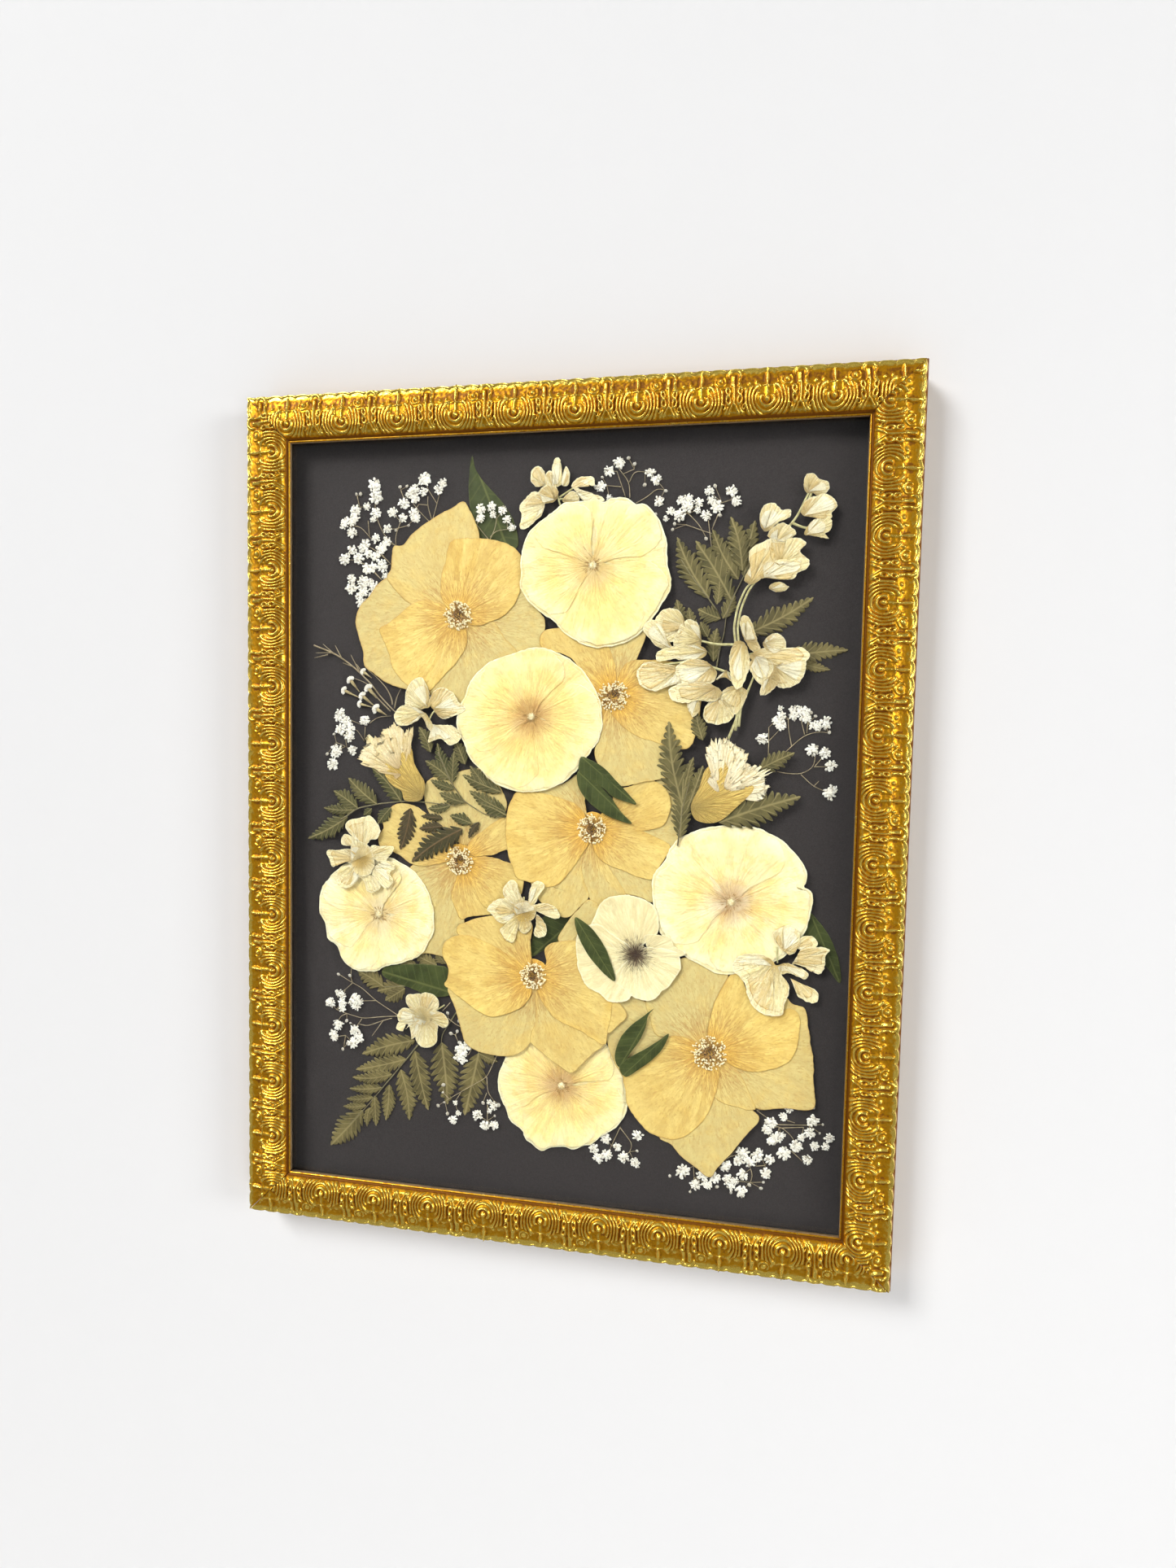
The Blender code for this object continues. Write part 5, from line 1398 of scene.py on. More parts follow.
def round_rim(centre: Place, radius: float) -> Array:
    """Return the ragged round rim of the tissue under a flower's heart."""
    return smooth_rim([polar(centre, radius, k * 0.6283) for k in range(10)], 0.8, 0.4)


def lay_base(shape: Shape, centre: Place, radius: float, depth: float, sheer: float) -> None:
    """Lay the round tissue under a flower's heart.

    Args:
        shape: The flower's mesh.
        centre: The flower's centre.
        radius: The tissue's radius.
        depth: The depth of the lowest petal.
        sheer: How sheer it is.
    """
    lay_sheet(shape, round_rim(centre, radius), depth - 0.06,
              lambda places, out: shares(len(places), sheer, 1.0), np.array(centre))


@dataclass(frozen=True)
class Petal:
    """One petal of a rose: how sheer and how golden it is, and its outline."""

    sheer: float
    warm: float
    outline: Numbers


@dataclass(frozen=True)
class Rose:
    """A single rose with broad thin petals round a ring of stamens."""

    name: str
    centre: Place
    level: int
    ring: float
    petals: tuple[Petal, ...]
    base: float = 9.0
    grow: float = 1.03
    sheet_step: float = 0.07
    thickness: float = 0.05
    stamens: int = 150
    styles: int = 34
    style_ring: float = 3.1

    def build(self, cover: Cover, finishes: Finishes) -> None:
        """Build the petals and stamens.

        Args:
            cover: What lies behind, which this flower is then added to.
            finishes: The materials by name.
        """
        shape, depth = new_shape(), level_depth(self.level)
        lay_base(shape, self.centre, self.base, depth, 0.2)
        for k, petal in enumerate(self.petals):
            rim = smooth_rim(pairs(petal.outline), 0.9, 0.32, 3.7 * k + self.level)
            rim = centre_of(rim) + (rim - centre_of(rim)) * self.grow

            def look(places: Array, out: Array, petal: Petal = petal) -> Array:
                """Make a petal greyer where it lies on the bare board, with a darker line along its
                rim as a painted shadow at its edge.
                """
                behind = cover.behind(places)
                thin = petal.sheer * (1.0 - 0.45 * behind) + 0.12 * (1.0 - behind)
                return shares(len(places), thin, petal.warm, smoothstep(0.978, 0.998, out))

            lay_sheet(shape, rim, depth + self.sheet_step * k, look, np.array(self.centre),
                      wave=0.05, step=1.4, curl=0.06, pleat=0.14)
            cover.lay(rim)
        thicken(shape, self.thickness)
        self.add_stamens(shape, depth + self.sheet_step * len(self.petals) + 0.02)
        slots = ("rose", "anther", "filament", "style")
        finish_piece(shape, self.name + "_petals", [finishes[key] for key in slots],
                     self.name)

    def add_stamens(self, shape: Shape, depth: float) -> None:
        """Add the ring of stamens and the styles in its middle.

        Args:
            shape: The flower's mesh.
            depth: The depth of the top petal's face.
        """
        draw = random.Random(self.name)
        for k in range(self.stamens):
            angle = k * GOLDEN_ANGLE + draw.uniform(-0.3, 0.3)
            far = self.ring * math.sqrt(draw.uniform(0.16, 1.0)) * draw.uniform(0.92, 1.08)
            lift = depth + draw.uniform(0.16, 0.5)
            end, start = polar(self.centre, far, angle), polar(self.centre, 1.7, angle + 0.2)
            path = np.array([(*start, depth + 0.1), (*end, lift)])
            lay_tube(shape, path, np.array([0.16, 0.1]), 3, slot=2)
            size = draw.uniform(0.40, 0.60)
            add_bead(shape, (*end, lift + 0.1), (size * 1.25, size * 0.9, size * 0.7),
                     draw.uniform(0, HALF_TURN), draw.uniform(-0.3, 0.3), slot=1)
        for _ in range(self.styles):
            angle = draw.uniform(0, ANY_TURN)
            far = self.style_ring * math.sqrt(draw.random())
            place = (*polar(self.centre, far, angle), depth + draw.uniform(0.1, 0.3))
            add_bead(shape, place, (0.5, 0.3, 0.26), draw.uniform(0, HALF_TURN), slot=3)


@dataclass(frozen=True)
class Bloom:
    """A round cream bloom: overlapping broad petals, sheer at the rim, round a small knob."""

    name: str
    centre: Place
    level: int
    outline: Numbers
    petals: int = 6
    turn: float = 0.3
    heart: float = 0.8
    wrinkle: float = 0.06
    pale: float = 0.2
    sheet_step: float = 0.045
    thickness: float = 0.03
    knob: float = 1.75
    grains: int = 34
    threads: int = 26

    def wedge(self, rim: Array, middle: float, half: float, draw: random.Random) -> Path:
        """Return one petal's outline, which ends a little inside the bloom's own.

        Args:
            rim: The bloom's outline.
            middle: The angle of the petal's middle line.
            half: Half the angle that it spans.
            draw: The bloom's random numbers.

        Returns:
            The outline.
        """
        share = np.linspace(-1.0, 1.0, 25)
        angles = middle + share * half
        round_off = 1.0 - 0.24 * np.abs(share) ** 5 - draw.uniform(0.012, 0.03)
        wave = np.sin(share * draw.uniform(4.0, 7.0) + draw.uniform(0, 3))
        far = rim_reach(rim, self.centre, angles) * round_off * (1.0 - 0.018 * np.abs(wave))
        points = [polar(self.centre, f, a) for f, a in zip(far, angles)]
        back = middle + math.pi
        ends = ((0.25, middle + 0.9 * half), (0.07, back - 0.35), (0.07, back + 0.35),
                (0.25, middle - 0.9 * half))
        return points + [polar(self.centre, far[12] * part, angle) for part, angle in ends]

    def build(self, cover: Cover, finishes: Finishes) -> None:
        """Build the sheer back petals, the broad front petals and the knob.

        Args:
            cover: What lies behind, which this flower is then added to.
            finishes: The materials by name.
        """
        shape, draw, depth = new_shape(), random.Random(self.name), level_depth(self.level)
        heart = np.array(self.centre)
        rim = smooth_rim(pairs(self.outline), 0.8, 0.5, self.level)

        def sheer_look(places: Array, out: Array) -> Array:
            """Make the back petals greyer where they lie on the bare board."""
            pale = np.maximum(self.pale, smoothstep(0.97, 1.0, out) * 0.8)
            return shares(len(places), 0.85 - 0.5 * cover.behind(places), rim=pale)

        lay_sheet(shape, rim, depth, sheer_look, heart, wave=0.03, hub=heart, curl=0.03)
        cover.lay(rim)
        stride = 2 if self.petals % 2 else self.petals - 1
        for k in range(self.petals):
            middle = self.turn + 2 * math.pi * (k * stride % self.petals) / self.petals
            half = math.pi / self.petals * draw.uniform(1.5, 2.0)
            petal = smooth_rim(self.wedge(rim, middle, half, draw), 0.8, 0.6, 5.1 * k)

            def look(places: Array, out: Array, seed: float = 7.3 * k + self.level) -> Array:
                """Make a petal patchy, and paler and sheerer towards the bloom's rim."""
                patch = drift(places, 0.09, seed)
                share = distances(places, heart) / rim_reach(rim, heart, angles_of(places, heart))
                thin = smoothstep(0.82, 0.97, share) * (0.25 + 1.1 * patch)
                edge = smoothstep(0.975, 1.0, out) * smoothstep(0.6, 0.9, share) * 0.7
                pale = self.pale * (1.0 + 0.9 * patch) + 0.22 * smoothstep(0.5, 0.95, share)
                return shares(len(places), thin, self.heart, np.maximum(edge, pale))

            lay_sheet(shape, petal, depth + self.sheet_step * (k + 1), look, heart,
                      wave=self.wrinkle, step=1.2, curl=0.04, pleat=0.4)
        thicken(shape, self.thickness)
        self.add_knob(shape, depth + self.sheet_step * (self.petals + 1), draw)
        slots = ("bloom", "knob", "filament")
        finish_piece(shape, self.name + "_petals", [finishes[key] for key in slots],
                     self.name)

    def add_knob(self, shape: Shape, top: float, draw: random.Random) -> None:
        """Add the grainy knob in the bloom's middle and the threads round it.

        Args:
            shape: The bloom's mesh.
            top: The depth of the top petal's face.
            draw: The bloom's random numbers.
        """
        add_bead(shape, (*self.centre, top + 0.05), (self.knob, self.knob, 0.5), slot=1, finer=2)
        for k in range(self.grains):
            angle, far = k * GOLDEN_ANGLE, 0.35 * math.sqrt(k) * 1.05
            place = (*polar(self.centre, far, angle), top + 0.45 - 0.05 * far)
            add_bead(shape, place, (0.24, 0.24, 0.2), slot=1)
        for _ in range(self.threads):
            angle, far = draw.uniform(0, ANY_TURN), draw.uniform(2.2, 5.0)
            place = (*polar(self.centre, far, angle), top + 0.12)
            add_bead(shape, place, (draw.uniform(0.5, 1.3), 0.16, 0.12), angle, slot=2)


@dataclass(frozen=True)
class Leaf:
    """One or two smooth pressed leaves, each from its stalk end to its tip."""

    name: str
    level: int
    outlines: tuple[Numbers, ...]
    thickness: float = 0.12
    rib_height: float = 0.16

    def build(self, finish: Material) -> None:
        """Build the leaves.

        Args:
            finish: Their material.
        """
        shape = new_shape()
        for k, outline in enumerate(self.outlines):
            rim = smooth_rim(pairs(outline), 0.8, 0.12, k)
            one, other, length = farthest_pair(rim)
            base, axis = rim[one], (rim[other] - rim[one]) / length
            aside = np.array([-axis[1], axis[0]])
            width = np.abs((rim - base) @ aside).max()
            start = len(shape.verts)
            # The second share lightens the leaf's rim as a painted highlight.
            lay_sheet(shape, rim, level_depth(self.level) + 0.1 * k,
                      lambda places, out: shares(len(out), 0.0, smoothstep(0.93, 1.0, out) * 0.5),
                      base, wave=0.05, step=1.3, hub=base + axis * length / 2)
            shape.verts.ensure_lookup_table()
            flows = shape.verts.layers.float_vector["flow"]
            for vertex in shape.verts[start:]:
                spot = np.array([vertex.co.x, vertex.co.z]) - base
                across = float(spot @ aside) / width
                vertex[flows] = (float(spot @ axis) / length, across, 0.0)
                vertex.co.y += self.rib_height * math.exp(-((across / 0.12) ** 2))
        thicken(shape, self.thickness)
        finish_piece(shape, self.name + "_blade", [finish], self.name)


@dataclass(frozen=True)
class Frond:
    """A piece of fern: ribs, and toothed pinnae given as base, tip and width."""

    name: str
    level: int
    pinnae: tuple[Numbers, ...]
    ribs: tuple[Numbers, ...] = ()
    brown: tuple[Numbers, ...] = ()
    deep: float = 0.0
    thickness: float = 0.1

    def lay_pinna(self, shape: Shape, pinna: Numbers, depth: float, brown: float,
                  draw: random.Random) -> None:
        """Lay one toothed pinna with its midrib.

        Args:
            shape: The frond's mesh.
            pinna: Its base's x and z, its tip's x and z, and its width.
            depth: Its depth.
            brown: How brown it is, from 0 to 1.
            draw: The frond's random numbers.
        """
        base, tip, width = np.array(pinna[:2]), np.array(pinna[2:4]), pinna[4]
        length = float(np.linalg.norm(tip - base))
        axis = (tip - base) / length
        aside = np.array([-axis[1], axis[0]])
        teeth = max(4, round(length / (1.5 + 0.17 * width)))
        made, along, across = grid_of(shape, teeth * 8, 6)
        across = across * 2 - 1
        beyond = across > 0
        # A slender outline, and teeth that alternate on its two sides.
        envelope = np.sin(math.pi * np.clip(along, 0, 1) ** 0.72) ** 0.72 * (1 - 0.25 * along)
        envelope = np.maximum(envelope, 0.07 * (1 - along))
        phase = (along * teeth + 0.5 * beyond) % 1.0
        tooth = np.abs(np.sin(math.pi * phase**1.5)) ** 0.42
        notch = 0.34 + 0.022 * width
        half = 0.5 * width * 1.3 * envelope * (1 - notch * (1 - tooth))
        jitter = np.array([draw.uniform(0.85, 1.1) for _ in range(2 * teeth + 2)])
        half *= jitter[np.clip((along * teeth).astype(int) + teeth * beyond, 0, 2 * teeth)]
        # The teeth point forwards, and the whole pinna bends a little.
        lateral = across * half
        sway = draw.uniform(-0.05, 0.05) * length * np.sin(math.pi * along)
        forward = along * length * 0.94 + 0.55 * np.abs(lateral) * (1 - along**3)
        places = base + axis * forward[:, None] + aside * (lateral + sway)[:, None]
        fold = 0.16 * ridge(across, 0.25) + 0.08 * np.abs(across) * (1 - tooth)
        put(made, places, depth + fold)
        flow = np.column_stack([along, across * (half / (half.max() + 1e-6)), along * 0])
        tone = self.deep * draw.uniform(0.6, 1.0)
        paint(shape, made, shares(len(made), tone, rim=brown), flow)
        merge(shape, made)

    def build(self, green: Material, dark: Material, rib: Material) -> None:
        """Build the pinnae and the ribs.

        Args:
            green: The green pinnae's material.
            dark: The browned pinnae's material.
            rib: The ribs' material.
        """
        shape, draw, depth = new_shape(), random.Random(self.name), level_depth(self.level)
        for slot, pinnae in enumerate((self.pinnae, self.brown)):
            count = len(shape.faces)
            for k, pinna in enumerate(pinnae):
                self.lay_pinna(shape, pinna, depth + 0.05 * (k % 8), float(slot), draw)
            shape.faces.ensure_lookup_table()
            set_slot(shape.faces[count:], slot)
        thicken(shape, self.thickness)
        for line in self.ribs:
            add_stem(shape, pairs(line), depth + 0.25, 0.42, 0.2, 2)
        finish_piece(shape, self.name + "_frond", [green, dark, rib], self.name)


@dataclass(frozen=True)
class Blossom:
    """A loose blossom: crumpled petals by their outlines, with stalks and a warm heart."""

    name: str
    centre: Place
    level: int
    petals: tuple[Numbers, ...]
    stalks: tuple[Numbers, ...] = ()
    slot: str = "blossom_petal"
    folds: int = 2
    heart: float = 0.6
    reach_heart: bool = True
    stalk_size: float = 0.55
    grow: float = 1.06
    base: float = 6.5
    thickness: float = 0.04

    def lay_folds(self, shape: Shape, rim: Array, own: Array, root: Array, height: float,
                  heart: Array, tone: float, draw: random.Random) -> None:
        """Lay a petal's folds: slimmer sheets that fan out from its root on top of it.

        Args:
            shape: The flower's mesh.
            rim: The petal's rim.
            own: A point well inside it.
            root: Its point nearest to the flower's centre.
            height: Its depth.
            heart: Where its veins run from.
            tone: How sheer it is.
            draw: The flower's random numbers.
        """
        count, start = len(rim), int(np.argmin(distances(rim, root)))
        at = start + count * 0.12
        for fold in range(self.folds * 2):
            span = count * draw.uniform(0.16, 0.3)
            arc = np.arange(at, min(at + span, start + count * 0.9)).astype(int) % count
            at += span * draw.uniform(0.8, 1.25)
            if len(arc) < 5:
                break
            edge = root + (rim[arc] - root) * draw.uniform(0.72, 0.96)
            pleat = np.vstack([root + (own - root) * draw.uniform(0.0, 0.25), edge])
            shade = draw.uniform(0.0, 1.0)

            def look(places: Array, out: Array, shade: float = shade) -> Array:
                """Paint one fold paler as a painted highlight and another darker ochre as painted
                shade, and each fold brown at its rim.
                """
                edge = smoothstep(0.9, 1.0, out)
                # The rim share paints a lit fold pale and the stain share a shaded fold ochre:
                # painted light and shade.
                return shares(len(places), 0.3 * tone, 0.5 * self.heart,
                              0.7 * (shade < 0.4) * (1 - edge), 0.45 * (shade > 0.65) + 0.5 * edge)

            lay_sheet(shape, pleat, height + 0.05 + 0.03 * fold, look, heart, wave=0.08, step=1.0,
                      curl=0.08)

    def build(self, finishes: Finishes, main: str = "blossom") -> None:
        """Build the petals with their inner folds, and the stalks.

        Args:
            finishes: The materials by name.
            main: Which of them the petals have.
        """
        shape, draw, depth = new_shape(), random.Random(self.name), level_depth(self.level)
        centre = np.array(self.centre)
        if not self.folds:
            lay_base(shape, self.centre, self.base, depth, 0.0)
        for k, outline in enumerate(self.petals):
            rim = smooth_rim(pairs(outline), 0.5, 0.42, k * 2.3)
            own = centre_of(rim)
            rim = own + (rim - own) * self.grow
            root = rim[np.argmin(distances(rim, centre))]
            heart = centre if self.reach_heart else root
            tone = draw.uniform(0.0, 0.45)

            def look(places: Array, out: Array, tone: float = tone) -> Array:
                """Make a petal more or less sheer, and pale at its rim away from the heart."""
                away = smoothstep(3.0, 8.0, distances(places, heart))
                pale = smoothstep(0.94, 1.0, out) * away * 0.5
                return shares(len(places), tone, self.heart, pale)

            height = depth + 0.05 * (k % 8) + 0.2 * (self.folds > 0)
            lay_sheet(shape, rim, height, look, heart, wave=0.09, step=0.9, hub=own, curl=0.08,
                      pleat=0.2)
            self.lay_folds(shape, rim, own, root, height, heart, tone, draw)
        thicken(shape, self.thickness)
        for stalk in self.stalks:
            add_stem(shape, pairs(stalk), depth + 0.05, self.stalk_size, self.stalk_size * 0.7,
                     slot=1, flat=0.35)
        finish_piece(shape, self.name + "_petals", [finishes[main], finishes["stalk"]],
                     self.name)


@dataclass(frozen=True)
class Spray:
    """Baby's breath: hair-thin stems with small white pompoms and buds."""

    name: str
    level: int
    heads: Numbers
    stems: tuple[Numbers, ...]
    bud_size: float = 1.45
    join_reach: float = 9.0

    def add_head(self, shape: Shape, centre: Place, size: float, draw: random.Random) -> None:
        """Add one pompom of tiny petals.

        Args:
            shape: The spray's mesh.
            centre: Its middle.
            size: Its radius.
            draw: The spray's random numbers.
        """
        depth = level_depth(self.level) + 0.1
        lean = draw.uniform(0, ANY_TURN)
        # A dark flat core under the petals: partly the floret's tan centre, partly painted shade in
        # the gaps between them.
        add_bead(shape, (*centre, depth), (size * 0.62, size * 0.55, 0.18), lean, deep=0.9)
        count = round(12 + 7.0 * size)
        for k in range(count):
            share = math.sqrt((k + 0.6) / count)
            angle = lean + k * GOLDEN_ANGLE + draw.uniform(-0.4, 0.4)
            far = size * 0.92 * share * draw.uniform(0.82, 1.08)
            ahead = depth + 0.40 - 0.26 * share + draw.uniform(-0.08, 0.08)
            tone = draw.uniform(0.4, 0.7) if draw.random() < 0.13 else draw.uniform(0.0, 0.14)
            long = size * draw.uniform(0.20, 0.34)
            add_bead(shape, (*polar(centre, far, angle), ahead),
                     (long, long * draw.uniform(0.55, 0.85), 0.17),
                     angle + draw.uniform(-0.7, 0.7), draw.uniform(-0.35, 0.35), deep=tone)

    def build(self, finishes: Finishes) -> None:
        """Build the stems, pompoms and buds.

        Args:
            finishes: The materials by name.
        """
        shape, draw, depth = new_shape(), random.Random(self.name), level_depth(self.level) + 0.22
        for stem in self.stems:
            add_stem(shape, pairs(stem), depth - 0.06, 0.22, 0.15, 1)
        tips = [pairs(stem)[k] for stem in self.stems for k in (0, -1)]
        for x, z, size in zip(self.heads[::3], self.heads[1::3], self.heads[2::3]):
            near = min(tips, key=lambda tip: np.hypot(tip[0] - x, tip[1] - z))
            if size < np.hypot(near[0] - x, near[1] - z) < self.join_reach:
                add_stem(shape, [near, (x, z)], depth - 0.06, 0.14, 0.11, 1)
            if size > self.bud_size:
                self.add_head(shape, (x, z), size, draw)
            else:
                add_bead(shape, (x, z, depth + 0.1), (size, size * 0.8, 0.4),
                         draw.uniform(0, ANY_TURN), deep=0.55)
        finish_piece(shape, self.name + "_spray", [finishes["breath"], finishes["wisp"]],
                     self.name)


@dataclass(frozen=True)
class WaxSprig:
    """A sprig of wax flower: a thin stem with needles, small cones and florets."""

    name: str
    level: int
    stem: Numbers
    needles: tuple[Numbers, ...]
    cones: tuple[Numbers, ...]
    florets: int = 7

    def add_cone(self, shape: Shape, cone: Numbers, depth: float, draw: random.Random) -> None:
        """Add one small cone, with florets at its mouth.

        Args:
            shape: The sprig's mesh.
            cone: Its mouth's x and z, its root's x and z, and its size.
            depth: The depth of its root.
            draw: The sprig's random numbers.
        """
        x0, z0, x1, z1, size = cone
        path = np.array([(x0, z0, depth + 0.2),
                         ((x0 * 2 + x1) / 3, (z0 * 2 + z1) / 3, depth + 0.2),
                         ((x0 + x1) / 2, (z0 + z1) / 2, depth + 0.15), (x1, z1, depth)])
        radii = np.array([size * 0.34, size * 0.3, size * 0.2, 0.24]) * 0.8
        lay_tube(shape, path, radii, 8, slot=2)
        angle = math.atan2(z0 - z1, x0 - x1)
        for k in range(self.florets):
            spread = angle + (k - self.florets // 2) * 0.42
            add_bead(shape, (*polar((x0, z0), size * 0.5, spread), depth + 0.3),
                     (size * 0.42, size * 0.26, 0.22), spread, draw.uniform(-0.2, 0.2), deep=0.25)

    def build(self, finishes: Finishes) -> None:
        """Build the stem, needles and cones.

        Args:
            finishes: The materials by name.
        """
        shape, draw, depth = new_shape(), random.Random(self.name), level_depth(self.level) + 0.3
        add_stem(shape, pairs(self.stem), depth, 0.3, 0.5, 1)
        for needle in self.needles:
            add_stem(shape, pairs(needle), depth + 0.05, 0.36, 0.12, 1)
        for cone in self.cones:
            self.add_cone(shape, cone, depth, draw)
        slots = ("breath", "wisp", "straw")
        finish_piece(shape, self.name + "_sprig", [finishes[key] for key in slots],
                     self.name)


@dataclass(frozen=True)
class Carnation:
    """A carnation pressed from the side: a ribbed calyx and a head of fringed, crinkled petals."""

    name: str
    level: int
    outline: Numbers
    calyx: Numbers
    mouth: Place
    heads: int = 9
    facing: float = 1.6
    spread: float = 2.3
    pale: float = 0.6
    sheet_step: float = 0.045
    thickness: float = 0.04

    def lay_calyx(self, shape: Shape, depth: float) -> None:
        """Lay the calyx, a flattened cup with ribs along it.

        Args:
            shape: The flower's mesh.
            depth: The depth of its back.
        """
        start = len(shape.faces)
        lay_sheet(shape, smooth_rim(pairs(self.calyx), 0.7, 0.1), depth,
                  lambda places, out: shares(len(out), 0.0, 1.0, smoothstep(0.9, 1.0, out) * 0.4),
                  np.array(self.calyx[:2]), wave=0.05, step=0.8, curl=-0.1, pleat=0.5)
        shape.faces.ensure_lookup_table()
        set_slot(shape.faces[start:], 1)

    def petal_rim(self, k: int, head: Array, draw: random.Random) -> Array:
        """Return the fringed rim of one petal.

        Args:
            k: Which petal.
            head: The whole head's rim.
            draw: The flower's random numbers.

        Returns:
            The rim's points.
        """
        middle = self.facing + self.spread * (((k * 5) % self.heads) / (self.heads - 1) - 0.5)
        half = self.spread / self.heads * draw.uniform(1.0, 1.7)
        share = np.linspace(-1, 1, 31)
        reach = rim_reach(head, self.mouth, middle + share * half)
        fringe = np.where(np.arange(31) % 2 == 0, 1.0, 0.94 - 0.05 * draw.random())
        layer = 1.0 - 0.28 * (k / self.heads) * draw.uniform(0.4, 1.0)
        reach = reach * fringe * layer * (1 - 0.12 * np.abs(share) ** 3)
        points = [polar(self.mouth, r, middle + s * half) for r, s in zip(reach, share)]
        points += [polar(self.mouth, 0.2 * reach[15], middle + s * half * 0.6)
                   for s in (0.8, 0.0, -0.8)]
        return smooth_rim(points, 0.5, 0.12, 2.2 * k)

    def build(self, finishes: Finishes) -> None:
        """Build the petals and the calyx.

        Args:
            finishes: The materials by name.
        """
        shape, draw, depth = new_shape(), random.Random(self.name), level_depth(self.level)
        head = smooth_rim(pairs(self.outline), 0.8, 0.2, 4)
        for k in range(self.heads):
            rim = self.petal_rim(k, head, draw)

            def look(places: Array, out: Array, tone: float = draw.uniform(0.0, 0.5)) -> Array:
                """Make a petal pale, and brown at its rim."""
                edge = smoothstep(0.9, 1.0, out)
                return shares(len(places), 0.5 * tone, 0.8, self.pale * (1 - edge), 0.35 * edge)

            lay_sheet(shape, rim, depth + 0.12 + self.sheet_step * k, look, np.array(self.mouth),
                      wave=0.08, step=0.85, curl=0.05, pleat=0.5)
        self.lay_calyx(shape, depth + 0.30)
        thicken(shape, self.thickness)
        finish_piece(shape, self.name + "_head", [finishes["carnation"], finishes["calyx"]],
                     self.name)


# Where the flowers lie

